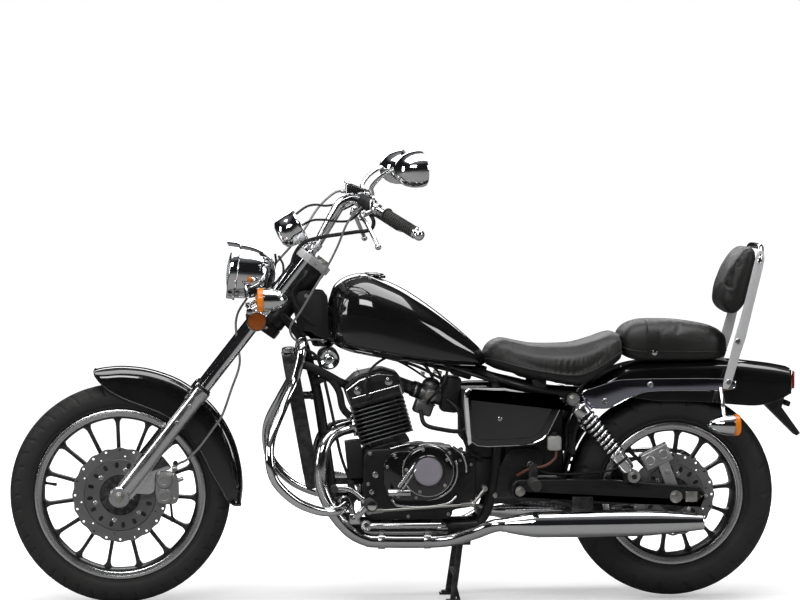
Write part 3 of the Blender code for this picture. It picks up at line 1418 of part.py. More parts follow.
def chain(collection):
    """The chain as one fixed loop, its section open to the sprockets' teeth."""
    front = Vector((FRONT_SPROCKET_AT[0], CHAIN_Y, FRONT_SPROCKET_AT[1]))
    rear = Vector((WHEELBASE, CHAIN_Y, REAR_AXLE_Z))
    gap = rear - front
    distance = gap.length
    line = math.atan2(gap.z, gap.x)
    lean = math.asin((REAR_SPROCKET_RADIUS - FRONT_SPROCKET_RADIUS) / distance)
    path = []
    top, bottom = line + QUARTER + lean, line - QUARTER - lean
    rear_steps, front_steps = 12, 6
    for i in range(rear_steps + 1):
        angle = top + (bottom - top) * i / rear_steps
        path.append((rear, REAR_SPROCKET_RADIUS, angle))
    for i in range(front_steps + 1):
        angle = bottom + (top - 2 * math.pi - bottom) * i / front_steps
        path.append((front, FRONT_SPROCKET_RADIUS, angle))
    groove = SPROCKET_THICKNESS / 2 + 0.0011
    section = (
        (CHAIN_HALF_HEIGHT, CHAIN_HALF_WIDTH),
        (CHAIN_HALF_HEIGHT, -CHAIN_HALF_WIDTH),
        (-CHAIN_HALF_HEIGHT, -CHAIN_HALF_WIDTH),
        (-CHAIN_HALF_HEIGHT, -groove),
        (0.0005, -groove),
        (0.0005, groove),
        (-CHAIN_HALF_HEIGHT, groove),
        (-CHAIN_HALF_HEIGHT, CHAIN_HALF_WIDTH),
    )
    rings = []
    for centre, radius, angle in path:
        out = Vector((math.cos(angle), 0, math.sin(angle)))
        rings.append([centre + out * (radius + n) + Vector((0, y, 0)) for n, y in section])
    rings.append(rings[0])
    body = loft(rings, close_ends=False)
    work = bmesh.new()
    work.from_mesh(body.data)
    bmesh.ops.remove_doubles(work, verts=work.verts, dist=1e-5)
    bmesh.ops.recalc_face_normals(work, faces=work.faces)
    work.to_mesh(body.data)
    work.free()
    name_piece(body, "drive_chain", "steel", collection)
    guard = [
        (1.270, 0.412),
        (1.480, 0.428),
        (1.605, 0.433),
        (1.660, 0.424),
        (1.700, 0.398),
        (1.688, 0.390),
        (1.650, 0.414),
        (1.605, 0.421),
        (1.480, 0.416),
        (1.270, 0.400),
    ]
    cover = plate([guard], 0.026, (0, CHAIN_Y + 0.004, 0))
    stay = rod((1.380, 0.099, 0.415), (1.380, 0.104, 0.3632), 0.005, 8)
    name_piece(join([cover, stay]), "chain_guard", "chrome", collection)


def foot_controls(collection):
    """The forward pegs on their cross bar, with the gear and brake pedals, and the rear pegs."""
    pieces = [rod((PEG_BAR_X, -0.180, PEG_BAR_Z), (PEG_BAR_X, 0.180, PEG_BAR_Z), 0.009, 8)]
    for side in (-1, 1):
        pieces.append(rod((PEG_BAR_X, side * 0.176, PEG_BAR_Z), (0.712, side * 0.190, 0.305), 0.009, 6))
        pieces.append(rod((0.712, side * 0.186, 0.305), (0.716, side * 0.285, 0.309), 0.0165, 8))
        pieces.append(tube([(0.708, side * 0.182, 0.305), (0.660, side * 0.192, 0.345), (0.610, side * 0.200, 0.352)], 0.0065, 0))
        pieces.append(rod((0.612, side * 0.194, 0.351), (0.612, side * 0.250, 0.353), 0.010, 6))
    name_piece(join(pieces), "front_footpegs", "alloy", collection)


def stands(collection):
    """The centre stand, which carries the bike, and the side stand folded on the left."""
    pivot = Vector((CENTRE_PIVOT_X, 0, CENTRE_PIVOT_Z))
    foot_x = CENTRE_PIVOT_X - CENTRE_FOOT_LEAD
    pieces = [rod(pivot - Vector((0, 0.086, 0)), pivot + Vector((0, 0.086, 0)), 0.011, 8)]
    for side in (-1, 1):
        top = pivot + Vector((0, side * CENTRE_LEG_HALF, 0))
        foot = Vector((foot_x, side * 0.088, 0.010))
        pieces.append(rod(top, foot, 0.009, 6))
        pieces.append(box((0.052, 0.026, 0.012), Vector((foot_x, side * 0.088, 0.006))))
    brace_z = 0.080
    share = (CENTRE_PIVOT_Z - brace_z) / CENTRE_PIVOT_Z
    brace = Vector((CENTRE_PIVOT_X - CENTRE_FOOT_LEAD * share, 0, brace_z))
    pieces.append(rod(brace - Vector((0, 0.082, 0)), brace + Vector((0, 0.082, 0)), 0.008, 6))
    name_piece(join(pieces), "centre_stand", "satin_black", collection, pivot)
    pivot = Vector((SIDE_PIVOT_X, SIDE_PIVOT_Y, SIDE_PIVOT_Z))
    leg_end = pivot + Vector((SIDE_LEG_LENGTH, 0, 0))
    axis = side_stand_axis()
    pieces = [
        rod(pivot + axis * 0.007, pivot - axis * 0.008, 0.015, 12),
        rod(pivot, leg_end, 0.0085, 8),
        box((0.030, 0.026, 0.020), leg_end + Vector((0.004, 0, 0)), bevel=0.004),
    ]
    bore = rod(pivot + axis * 0.05, pivot - axis * 0.05, 0.0069, 12)
    name_piece(cut(join(pieces), [bore]), "side_stand", "steel", collection, pivot)


def clear_scene():
    """Removes what the scene starts with."""
    for obj in list(bpy.data.objects):
        bpy.data.objects.remove(obj)


def main():
    """Builds the motorcycle, one sub-part after another."""
    clear_scene()
    parts = make_collection("cruiser_motorcycle")
    for build in (
        frame,
        engine,
        cooling,
        crash_bar,
        exhausts,
        tank,
        neck_cover,
        seats,
        side_covers,
        rear_fender,
        fender_rails,
        tail,
        swingarm,
        shocks,
        rear_caliper,
        chain,
        foot_controls,
        yokes,
        front_fork,
        front_caliper,
        front_fender,
        handlebar,
        brake_hose,
        mirrors,
        headlamp,
        speedometer,
        front_indicators,
        front_wheel,
        rear_wheel,
        stands,
    ):
        build(parts)
    origin = bpy.data.objects.new("motorcycle_origin", None)
    origin.location = (-ORIGIN_X, 0, 0)
    parts.objects.link(origin)
    for obj in list(parts.objects):
        if obj is not origin:
            obj.parent = origin


main()
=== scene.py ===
"""The look of a cruiser motorcycle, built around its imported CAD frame.

Lengths are metres. Pieces are modelled in the motorcycle's own coordinates, X back from the front
axle, Y to the rider's right and Z up from the floor, and move to the frame's as they are delivered.
"""

import logging
import math
import random
from dataclasses import dataclass, field
from enum import Enum
from typing import Callable, Iterable, Sequence

import bmesh
import bpy
from mathutils import Matrix, Vector


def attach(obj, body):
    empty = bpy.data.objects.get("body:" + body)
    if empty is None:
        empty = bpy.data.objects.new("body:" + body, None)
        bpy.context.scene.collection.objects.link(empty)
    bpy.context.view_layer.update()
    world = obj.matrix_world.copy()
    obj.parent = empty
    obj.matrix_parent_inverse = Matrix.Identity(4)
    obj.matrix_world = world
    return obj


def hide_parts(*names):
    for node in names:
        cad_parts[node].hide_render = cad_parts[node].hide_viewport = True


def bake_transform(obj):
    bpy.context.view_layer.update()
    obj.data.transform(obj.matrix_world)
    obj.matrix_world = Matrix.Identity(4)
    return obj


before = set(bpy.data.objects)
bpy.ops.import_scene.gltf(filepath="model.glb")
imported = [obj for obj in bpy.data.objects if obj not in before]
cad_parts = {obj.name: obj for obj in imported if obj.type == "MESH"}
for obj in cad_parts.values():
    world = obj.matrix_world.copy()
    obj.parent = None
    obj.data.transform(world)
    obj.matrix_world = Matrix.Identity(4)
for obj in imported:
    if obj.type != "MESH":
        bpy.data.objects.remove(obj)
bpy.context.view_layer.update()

logging.basicConfig(level=logging.INFO, format="%(message)s")
LOG = logging.getLogger("motorcycle")

Point = Sequence[float]
Colour = tuple[float, float, float]
Socket = bpy.types.NodeSocket
Value = Socket | float | tuple[float, ...]

ORIGIN_X = 0.83325
MERGE_WITHIN = 0.00001
TUBE_MERGE_WITHIN = 0.000002
FOAM_VOXEL = 0.006
CLOTH_FRAMES = 20
SWELL_LIMIT = 0.007
LENS_IOR = 1.49
QUARTER = math.pi / 2
TURN = 2 * math.pi
RAKE = math.radians(38.0)
FORK_AXIS = Vector((math.sin(RAKE), 0.0, math.cos(RAKE)))
FORK_REARWARD = Vector((math.cos(RAKE), 0.0, -math.sin(RAKE)))
FRONT_AXLE = Vector((0.0, 0.0, 0.3185))
REAR_AXLE = Vector((1.605, 0.0, 0.3105))
ACROSS = Vector((0.0, 1.0, 0.0))
UP = Vector((0.0, 0.0, 1.0))


class Body(Enum):
    """The bodies of the frame that a piece can ride on."""

    CHASSIS = "chassis"
    STEERING = "steering"
    FRONT_WHEEL = "front_wheel"
    REAR_WHEEL = "rear_wheel"
    CENTRE_STAND = "centre_stand"
    SIDE_STAND = "side_stand"


class Slot(Enum):
    """The record's material slots."""

    GLOSS_BLACK = "gloss_black"
    SATIN_BLACK = "satin_black"
    BLACK_PLASTIC = "black_plastic"
    CHROME = "chrome"
    ALLOY = "alloy"
    STEEL = "steel"
    TYRE = "tyre"
    LEATHER = "leather"
    AMBER = "amber"
    RED = "red"
    GLASS = "glass"


class Pattern(Enum):
    """The small-scale pattern that a finish carries."""

    PLAIN = "plain"
    CAST = "cast"
    TURNED = "turned"
    LEATHER = "leather"
    RIBBED = "ribbed"


# Node groups that several finishes share


def new_group(
    name: str, inputs: Iterable[tuple[str, str, object]], outputs: Iterable[tuple[str, str]]
) -> tuple[bpy.types.NodeTree, bpy.types.Node, bpy.types.Node]:
    """Starts a shader node group.

    Args:
        name: the group's name.
        inputs: name, socket type and default value of each input.
        outputs: name and socket type of each output.

    Returns:
        The group with its input and output nodes.
    """
    group = bpy.data.node_groups.new(name, "ShaderNodeTree")
    for label, kind, default in inputs:
        socket = group.interface.new_socket(label, in_out="INPUT", socket_type=kind)
        if default is not None:
            socket.default_value = default
    for label, kind in outputs:
        group.interface.new_socket(label, in_out="OUTPUT", socket_type=kind)
    return group, group.nodes.new("NodeGroupInput"), group.nodes.new("NodeGroupOutput")


def math_node(
    nodes: bpy.types.Nodes, links: bpy.types.NodeLinks, operation: str, first: Value,
    second: Value | None = None, clamp: bool = False,
) -> Socket:
    """Adds a Math node whose inputs are sockets or numbers.

    Args:
        nodes: the tree's nodes.
        links: the tree's links.
        operation: what it works out.
        first: its first input.
        second: its second input, if any.
        clamp: whether the result stays between 0 and 1.

    Returns:
        Its output.
    """
    node = nodes.new("ShaderNodeMath")
    node.operation = operation
    node.use_clamp = clamp
    for index, value in enumerate((first, second)):
        if value is None:
            continue
        if isinstance(value, (int, float)):
            node.inputs[index].default_value = value
        else:
            links.new(value, node.inputs[index])
    return node.outputs[0]


def noise_node(
    nodes: bpy.types.Nodes, links: bpy.types.NodeLinks, vector: Socket, scale: Value,
    detail: float = 3.0, roughness: float = 0.55,
) -> Socket:
    """Adds a Noise Texture on a vector.

    Args:
        nodes: the tree's nodes.
        links: the tree's links.
        vector: the coordinates that it reads.
        scale: its scale.
        detail: its detail.
        roughness: its roughness.

    Returns:
        Its factor.
    """
    node = nodes.new("ShaderNodeTexNoise")
    links.new(vector, node.inputs["Vector"])
    if isinstance(scale, (int, float)):
        node.inputs["Scale"].default_value = scale
    else:
        links.new(scale, node.inputs["Scale"])
    node.inputs["Detail"].default_value = detail
    node.inputs["Roughness"].default_value = roughness
    return node.outputs["Fac"]


def range_node(
    nodes: bpy.types.Nodes, links: bpy.types.NodeLinks, value: Socket, low: float, high: float,
    to_low: Value = 0.0, to_high: Value = 1.0,
) -> Socket:
    """Adds a Map Range node.

    Args:
        nodes: the tree's nodes.
        links: the tree's links.
        value: the value that it reads.
        low: the value at the range's start.
        high: the value at its end.
        to_low: the result at the start.
        to_high: the result at the end.

    Returns:
        Its result.
    """
    node = nodes.new("ShaderNodeMapRange")
    links.new(value, node.inputs["Value"])
    for label, given in (("From Min", low), ("From Max", high), ("To Min", to_low), ("To Max", to_high)):
        if isinstance(given, (int, float)):
            node.inputs[label].default_value = given
        else:
            links.new(given, node.inputs[label])
    return node.outputs["Result"]


def mix_node(
    nodes: bpy.types.Nodes, links: bpy.types.NodeLinks, factor: Value, first: Value, second: Value
) -> Socket:
    """Adds a colour Mix node.

    Args:
        nodes: the tree's nodes.
        links: the tree's links.
        factor: the share of the second colour.
        first: the first colour.
        second: the second colour.

    Returns:
        Its result.
    """
    node = nodes.new("ShaderNodeMix")
    node.data_type = "RGBA"
    for index, value in ((0, factor), (6, first), (7, second)):
        if isinstance(value, (int, float, tuple)):
            node.inputs[index].default_value = value
        else:
            links.new(value, node.inputs[index])
    return node.outputs[2]


def build_smudges() -> bpy.types.NodeTree:
    """Handling marks and wipe streaks: a roughness that drifts around its base value.

    Returns:
        The node group.
    """
    group, start, end = new_group(
        "Smudges",
        (
            ("Vector", "NodeSocketVector", None), ("Roughness", "NodeSocketFloat", 0.2),
            ("Spread", "NodeSocketFloat", 0.1), ("Scale", "NodeSocketFloat", 9.0),
        ),
        (("Roughness", "NodeSocketFloat"), ("Mask", "NodeSocketFloat")),
    )
    nodes, links = group.nodes, group.links
    broad = noise_node(nodes, links, start.outputs["Vector"], start.outputs["Scale"], 4.0, 0.6)
    fine_scale = math_node(nodes, links, "MULTIPLY", start.outputs["Scale"], 11.0)
    fine = noise_node(nodes, links, start.outputs["Vector"], fine_scale, 2.0)
    both = math_node(nodes, links, "MULTIPLY_ADD", fine, 0.35)
    links.new(range_node(nodes, links, broad, 0.42, 0.72), both.node.inputs[2])
    mask = math_node(nodes, links, "MINIMUM", both, 1.0)
    rise = math_node(nodes, links, "MULTIPLY", mask, start.outputs["Spread"])
    rough = math_node(nodes, links, "ADD", start.outputs["Roughness"], rise, clamp=True)
    links.new(rough, end.inputs["Roughness"])
    links.new(mask, end.inputs["Mask"])
    return group


def build_dust() -> bpy.types.NodeTree:
    """Road dust that settles on faces that look up and in uneven patches.

    Returns:
        The node group.
    """
    group, start, end = new_group(
        "Road dust",
        (
            ("Vector", "NodeSocketVector", None), ("Colour", "NodeSocketColor", (0.5, 0.5, 0.5, 1)),
            ("Dust colour", "NodeSocketColor", (0.22, 0.2, 0.18, 1)), ("Amount", "NodeSocketFloat", 0.1),
            ("Scale", "NodeSocketFloat", 14.0),
        ),
        (("Colour", "NodeSocketColor"), ("Mask", "NodeSocketFloat")),
    )
    nodes, links = group.nodes, group.links
    geometry = nodes.new("ShaderNodeNewGeometry")
    split = nodes.new("ShaderNodeSeparateXYZ")
    links.new(geometry.outputs["Normal"], split.inputs[0])
    facing = range_node(nodes, links, split.outputs["Z"], -0.4, 1.0, 0.15, 1.0)
    patches = noise_node(nodes, links, start.outputs["Vector"], start.outputs["Scale"], 5.0, 0.65)
    spread = range_node(nodes, links, patches, 0.35, 0.75)
    mask = math_node(nodes, links, "MULTIPLY", facing, spread)
    amount = math_node(nodes, links, "MULTIPLY", mask, start.outputs["Amount"], clamp=True)
    colour = mix_node(nodes, links, amount, start.outputs["Colour"], start.outputs["Dust colour"])
    links.new(colour, end.inputs["Colour"])
    links.new(amount, end.inputs["Mask"])
    return group


def build_wear() -> bpy.types.NodeTree:
    """Rubbed edges: a mask that grows where the surface turns sharply outwards.

    Returns:
        The node group.
    """
    group, start, end = new_group(
        "Rubbed edges",
        (
            ("Vector", "NodeSocketVector", None), ("Colour", "NodeSocketColor", (0.5, 0.5, 0.5, 1)),
            ("Bare colour", "NodeSocketColor", (0.45, 0.45, 0.46, 1)), ("Amount", "NodeSocketFloat", 0.3),
        ),
        (("Colour", "NodeSocketColor"), ("Mask", "NodeSocketFloat")),
    )
    nodes, links = group.nodes, group.links
    geometry = nodes.new("ShaderNodeNewGeometry")
    sharp = range_node(nodes, links, geometry.outputs["Pointiness"], 0.52, 0.6)
    broken = noise_node(nodes, links, start.outputs["Vector"], 60.0, 4.0, 0.7)
    mask = math_node(nodes, links, "MULTIPLY", sharp, range_node(nodes, links, broken, 0.4, 0.62))
    amount = math_node(nodes, links, "MULTIPLY", mask, start.outputs["Amount"], clamp=True)
    colour = mix_node(nodes, links, amount, start.outputs["Colour"], start.outputs["Bare colour"])
    links.new(colour, end.inputs["Colour"])
    links.new(amount, end.inputs["Mask"])
    return group


def build_grain() -> bpy.types.NodeTree:
    """Fine grain for cast, moulded and sprayed surfaces: a height in millionths.

    Returns:
        The node group.
    """
    group, start, end = new_group(
        "Fine grain", (("Vector", "NodeSocketVector", None), ("Scale", "NodeSocketFloat", 400.0)),
        (("Height", "NodeSocketFloat"),),
    )
    nodes, links = group.nodes, group.links
    small = noise_node(nodes, links, start.outputs["Vector"], start.outputs["Scale"], 2.0, 0.5)
    wide_scale = math_node(nodes, links, "MULTIPLY", start.outputs["Scale"], 0.17)
    wide = noise_node(nodes, links, start.outputs["Vector"], wide_scale, 3.0, 0.6)
    height = math_node(nodes, links, "ADD", small, wide)
    links.new(height, end.inputs["Height"])
    return group


def build_turned() -> bpy.types.NodeTree:
    """Fine rings left by turning, around an axle that lies across the motorcycle.

    Returns:
        The node group.
    """
    group, start, end = new_group(
        "Turning marks",
        (
            ("Vector", "NodeSocketVector", None), ("Spacing", "NodeSocketFloat", 0.0012),
            ("Unevenness", "NodeSocketFloat", 0.3),
        ),
        (("Height", "NodeSocketFloat"), ("Shade", "NodeSocketFloat")),
    )
    nodes, links = group.nodes, group.links
    flat = nodes.new("ShaderNodeVectorMath")
    flat.operation = "MULTIPLY"
    flat.inputs[1].default_value = (1.0, 0.0, 1.0)
    links.new(start.outputs["Vector"], flat.inputs[0])
    reach = nodes.new("ShaderNodeVectorMath")
    reach.operation = "LENGTH"
    links.new(flat.outputs["Vector"], reach.inputs[0])
    rings = math_node(nodes, links, "DIVIDE", reach.outputs["Value"], start.outputs["Spacing"])
    wave = math_node(nodes, links, "SINE", math_node(nodes, links, "MULTIPLY", rings, TURN))
    ring_noise = nodes.new("ShaderNodeTexNoise")
    ring_noise.noise_dimensions = "1D"
    ring_noise.inputs["Scale"].default_value = 1.0
    links.new(rings, ring_noise.inputs["W"])
    uneven = math_node(nodes, links, "MULTIPLY", ring_noise.outputs["Fac"], start.outputs["Unevenness"])
    half = math_node(nodes, links, "MULTIPLY", wave, 0.5)
    links.new(math_node(nodes, links, "ADD", half, uneven), end.inputs["Height"])
    links.new(ring_noise.outputs["Fac"], end.inputs["Shade"])
    return group


def build_leather() -> bpy.types.NodeTree:
    """Leather grain: small pebbles between creases, over soft wrinkles, and a mask that paints shade into the
    creases.

    Returns:
        The node group.
    """
    group, start, end = new_group(
        "Leather grain", (("Vector", "NodeSocketVector", None), ("Scale", "NodeSocketFloat", 420.0)),
        (("Height", "NodeSocketFloat"), ("Crease shade", "NodeSocketFloat")),
    )
    nodes, links = group.nodes, group.links
    bend = nodes.new("ShaderNodeTexNoise")
    bend.inputs["Scale"].default_value = 60.0
    links.new(start.outputs["Vector"], bend.inputs["Vector"])
    shift = nodes.new("ShaderNodeVectorMath")
    shift.operation = "MULTIPLY_ADD"
    shift.inputs[1].default_value = (0.004, 0.004, 0.004)
    links.new(bend.outputs["Color"], shift.inputs[0])
    links.new(start.outputs["Vector"], shift.inputs[2])
    cells = nodes.new("ShaderNodeTexVoronoi")
    cells.feature = "DISTANCE_TO_EDGE"
    links.new(shift.outputs["Vector"], cells.inputs["Vector"])
    links.new(start.outputs["Scale"], cells.inputs["Scale"])
    pebble = range_node(nodes, links, cells.outputs["Distance"], 0.0, 0.22)
    wrinkle = noise_node(nodes, links, start.outputs["Vector"], 38.0, 4.0, 0.6)
    height = math_node(nodes, links, "MULTIPLY_ADD", wrinkle, 1.6)
    links.new(pebble, height.node.inputs[2])
    links.new(height, end.inputs["Height"])
    # Painted shade: this mask darkens the leather's colour in the grain's creases.
    links.new(range_node(nodes, links, cells.outputs["Distance"], 0.0, 0.08, 1.0, 0.0), end.inputs["Crease shade"])
    return group


GROUP_BUILDERS: dict[str, Callable[[], bpy.types.NodeTree]] = {
    "smudges": build_smudges, "dust": build_dust, "wear": build_wear, "grain": build_grain,
    "turned": build_turned, "leather": build_leather,
}
GROUPS: dict[str, bpy.types.NodeTree] = {}


def place_group(
    nodes: bpy.types.Nodes, links: bpy.types.NodeLinks, key: str, vector: Socket, **values: Value
) -> bpy.types.Node:
    """Puts a shared node group into a material, joined to its coordinates.

    Args:
        nodes: the material's nodes.
        links: the material's links.
        key: the group's key in GROUP_BUILDERS.
        vector: the coordinates that it reads.
        values: the group's other inputs, as numbers, colours or sockets, with _ for a blank.

    Returns:
        The group's node.
    """
    if key not in GROUPS:
        GROUPS[key] = GROUP_BUILDERS[key]()
    node = nodes.new("ShaderNodeGroup")
    node.node_tree = GROUPS[key]
    links.new(vector, node.inputs["Vector"])
    for label, value in values.items():
        socket = node.inputs[label.replace("_", " ")]
        if isinstance(value, (int, float, tuple)):
            socket.default_value = value
        else:
            links.new(value, socket)
    return node


MATERIALS: dict[str, bpy.types.Material] = {}


@dataclass(frozen=True)
class Finish:
    """An opaque finish: its colour, gloss, pattern, dust and wear."""

    name: str
    colour: Colour
    metallic: float = 0.0
    roughness: float = 0.4
    spread: float = 0.08
    coat: float = 0.0
    pattern: Pattern = Pattern.PLAIN
    pattern_scale: float = 500.0
    relief: float = 0.00002
    dust: float = 0.0
    wear: float = 0.0
    bare: Colour = (0.42, 0.42, 0.43)
    centre: tuple[float, float] = (0.0, 0.0)
    specular: float = 0.5

    def material(self) -> bpy.types.Material:
        """Builds the finish's material once.

        Returns:
            The material.
        """
        if self.name in MATERIALS:
            return MATERIALS[self.name]
        made = bpy.data.materials.new(self.name)
        made.use_nodes = True
        nodes, links = made.node_tree.nodes, made.node_tree.links
        shader = nodes["Principled BSDF"]
        shader.inputs["Metallic"].default_value = self.metallic
        shader.inputs["Coat Weight"].default_value = self.coat
        shader.inputs["Coat Roughness"].default_value = 0.03
        shader.inputs["Specular IOR Level"].default_value = self.specular
        where = nodes.new("ShaderNodeTexCoord")
        place = nodes.new("ShaderNodeMapping")
        place.inputs["Location"].default_value = (ORIGIN_X - self.centre[0], 0.0, -self.centre[1])
        links.new(where.outputs["Object"], place.inputs["Vector"])
        vector = place.outputs["Vector"]
        colour = (*self.colour, 1.0)
        smudges = place_group(nodes, links, "smudges", vector, Roughness=self.roughness, Spread=self.spread)
        rough = smudges.outputs["Roughness"]
        shade = mix_node(
            nodes, links, math_node(nodes, links, "MULTIPLY", smudges.outputs["Mask"], 0.25), colour,
            tuple(min(1.0, c * 1.35 + 0.002) for c in self.colour) + (1.0,),
        )
        if self.wear:
            worn = place_group(
                nodes, links, "wear", vector, Colour=shade, Bare_colour=(*self.bare, 1.0), Amount=self.wear
            )
            shade = worn.outputs["Colour"]
        if self.dust:
            dusty = place_group(nodes, links, "dust", vector, Colour=shade, Amount=self.dust)
            shade = dusty.outputs["Colour"]
            lift = math_node(nodes, links, "MULTIPLY", dusty.outputs["Mask"], 0.5)
            rough = math_node(nodes, links, "ADD", rough, lift, clamp=True)
        height = self.height(nodes, links, vector)
        # Painted shade: the grain's creases are darkened in the leather's colour.
        if self.pattern is Pattern.LEATHER:
            crease_shade = height.node.outputs["Crease shade"] if hasattr(height, "node") else None
            if crease_shade is not None:
                dark = tuple(c * 0.45 for c in self.colour) + (1.0,)
                shade = mix_node(nodes, links, math_node(nodes, links, "MULTIPLY", crease_shade, 0.7), shade, dark)
        links.new(shade, shader.inputs["Base Color"])
        links.new(rough, shader.inputs["Roughness"])
        bump = nodes.new("ShaderNodeBump")
        bump.inputs["Strength"].default_value = 1.0
        bump.inputs["Distance"].default_value = self.relief
        links.new(height, bump.inputs["Height"])
        links.new(bump.outputs["Normal"], shader.inputs["Normal"])
        MATERIALS[self.name] = made
        return made

    def height(self, nodes: bpy.types.Nodes, links: bpy.types.NodeLinks, vector: Socket) -> Socket:
        """The socket that gives the relief of this finish's pattern.

        Args:
            nodes: the tree's nodes.
            links: the tree's links.
            vector: the coordinates that it reads.

        Returns:
            The socket.
        """
        if self.pattern is Pattern.LEATHER:
            return place_group(nodes, links, "leather", vector, Scale=self.pattern_scale).outputs["Height"]
        if self.pattern in (Pattern.TURNED, Pattern.RIBBED):
            spacing = 1.0 / self.pattern_scale
            return place_group(nodes, links, "turned", vector, Spacing=spacing).outputs["Height"]
        return place_group(nodes, links, "grain", vector, Scale=self.pattern_scale).outputs["Height"]


@dataclass(frozen=True)
class Clear:
    """A see-through finish: glass or a coloured lens."""

    name: str
    colour: Colour
    roughness: float = 0.02
    transmission: float = 1.0
    glow: float = 0.0
    ribs: float = 0.0

    def material(self) -> bpy.types.Material:
        """Builds the finish's material once.

        Returns:
            The material.
        """
        if self.name in MATERIALS:
            return MATERIALS[self.name]
        made = bpy.data.materials.new(self.name)
        made.use_nodes = True
        nodes, links = made.node_tree.nodes, made.node_tree.links
        shader = nodes["Principled BSDF"]
        shader.inputs["Transmission Weight"].default_value = self.transmission
        shader.inputs["IOR"].default_value = LENS_IOR
        where = nodes.new("ShaderNodeTexCoord")
        vector = where.outputs["Object"]
        smudges = place_group(
            nodes, links, "smudges", vector, Roughness=self.roughness, Spread=0.05, Scale=30.0
        )
        links.new(smudges.outputs["Roughness"], shader.inputs["Roughness"])
        colour = (*self.colour, 1.0)
        shade = mix_node(
            nodes, links, smudges.outputs["Mask"], colour, tuple(c * 0.9 for c in self.colour) + (1.0,)
        )
        links.new(shade, shader.inputs["Base Color"])
        wave = nodes.new("ShaderNodeTexWave")
        wave.bands_direction = "Z"
        wave.inputs["Scale"].default_value = 60.0
        links.new(vector, wave.inputs["Vector"])
        bump = nodes.new("ShaderNodeBump")
        bump.inputs["Distance"].default_value = self.ribs
        links.new(wave.outputs["Fac"], bump.inputs["Height"])
        links.new(bump.outputs["Normal"], shader.inputs["Normal"])
        if self.glow:
            shader.inputs["Emission Color"].default_value = colour
            shader.inputs["Emission Strength"].default_value = self.glow
        MATERIALS[self.name] = made
        return made


GLOSS_PAINT = Finish(
    "gloss black paint", (0.0045, 0.0045, 0.005), 0.0, 0.07, 0.03, 1.0, relief=0.000004, dust=0.02
)
SATIN_PAINT = Finish(
    "satin black paint", (0.009, 0.009, 0.0095), 0.0, 0.3, 0.1, 0.1, dust=0.03, wear=0.08, specular=0.3
)
CHROME = Finish("chrome plating", (0.8, 0.81, 0.82), 1.0, 0.045, 0.05, relief=0.000003, pattern_scale=90.0)
DARK_CHROME = Finish("rear chrome plate", (0.3, 0.3, 0.36), 1.0, 0.1, 0.06, relief=0.000004)
POLISHED = Finish("polished alloy", (0.66, 0.66, 0.67), 1.0, 0.16, 0.12, pattern_scale=300.0, dust=0.04)
CAST_ALLOY = Finish(
    "cast alloy", (0.42, 0.42, 0.42), 1.0, 0.38, 0.15, pattern=Pattern.CAST, relief=0.00006, dust=0.12
)
STEEL = Finish("zinc plated steel", (0.46, 0.45, 0.43), 1.0, 0.3, 0.18, pattern_scale=700.0, dust=0.1)
DISC_STEEL = Finish("brake disc steel", (0.3, 0.3, 0.305), 1.0, 0.32, 0.16, pattern_scale=700.0, dust=0.08)
CARRIER_ALLOY = Finish(
    "disc carrier alloy", (0.23, 0.23, 0.235), 1.0, 0.36, 0.14, pattern=Pattern.CAST, relief=0.00004,
    dust=0.08,
)
SATIN_SILVER = Finish("satin silver", (0.56, 0.56, 0.57), 0.35, 0.36, 0.1, 0.15, dust=0.03)
DARK_STEEL = Finish("dark steel", (0.12, 0.12, 0.125), 1.0, 0.35, 0.15, dust=0.1, wear=0.4)
CASE_BLACK = Finish(
    "black cast case", (0.007, 0.007, 0.0075), 0.0, 0.3, 0.08, 0.08, Pattern.CAST, 650.0, 0.00003, 0.03, 0.12,
    specular=0.3,
)
MOULDED = Finish(
    "moulded plastic", (0.009, 0.009, 0.0095), 0.0, 0.42, 0.1, 0.0, Pattern.CAST, 900.0, 0.00004, 0.06,
    specular=0.25,
)
HOSE_RUBBER = Finish(
    "hose rubber", (0.008, 0.008, 0.008), 0.0, 0.42, 0.12, dust=0.06, pattern_scale=800.0, specular=0.3
)
LEATHER = Finish(
    "grained leather", (0.008, 0.008, 0.0072), 0.0, 0.36, 0.12, 0.0, Pattern.LEATHER, 430.0, 0.00014, 0.02,
    specular=0.4,
)
CAP_GREY = Finish("grey cover cap", (0.34, 0.32, 0.37), 0.6, 0.38, 0.1, relief=0.00001)
DARK_ALLOY = Finish("milled fin edge", (0.2, 0.2, 0.205), 1.0, 0.3, 0.12)
HEADER_CHROME = Finish("header chrome", (0.66, 0.66, 0.67), 1.0, 0.08, 0.08, relief=0.000005)
BOTTLE_GREY = Finish("bottle plastic", (0.26, 0.26, 0.25), 0.0, 0.42, 0.1)
WHITE_FACE = Finish("dial white", (0.75, 0.75, 0.73), 0.0, 0.4, 0.05)
BROWN_HOSE = Finish("brown hose", (0.1, 0.035, 0.02), 0.0, 0.35, 0.1, pattern_scale=900.0)
CABLE_GREY = Finish("grey cable sheath", (0.16, 0.16, 0.16), 0.2, 0.35, 0.1, pattern_scale=900.0)
GRIP_RUBBER = Finish("grip rubber", (0.016, 0.016, 0.015), 0.0, 0.55, 0.1, dust=0.1, pattern_scale=900.0)
AMBER = Clear("amber lens", (0.9, 0.25, 0.01), 0.1, 0.25, 0.0, 0.0002)
BROWN_AMBER = Clear("reflector amber", (0.28, 0.07, 0.01), 0.1, 0.25, 0.0, 0.0002)
RED = Clear("red lens", (0.35, 0.004, 0.01), 0.08, 0.35, 0.0, 0.0002)
GLASS = Clear("lamp glass", (0.96, 0.97, 0.98), 0.01, 1.0, 0.0, 0.0001)
MIRROR = Finish("mirror glass", (0.86, 0.87, 0.88), 1.0, 0.01, 0.01, relief=0.000001)


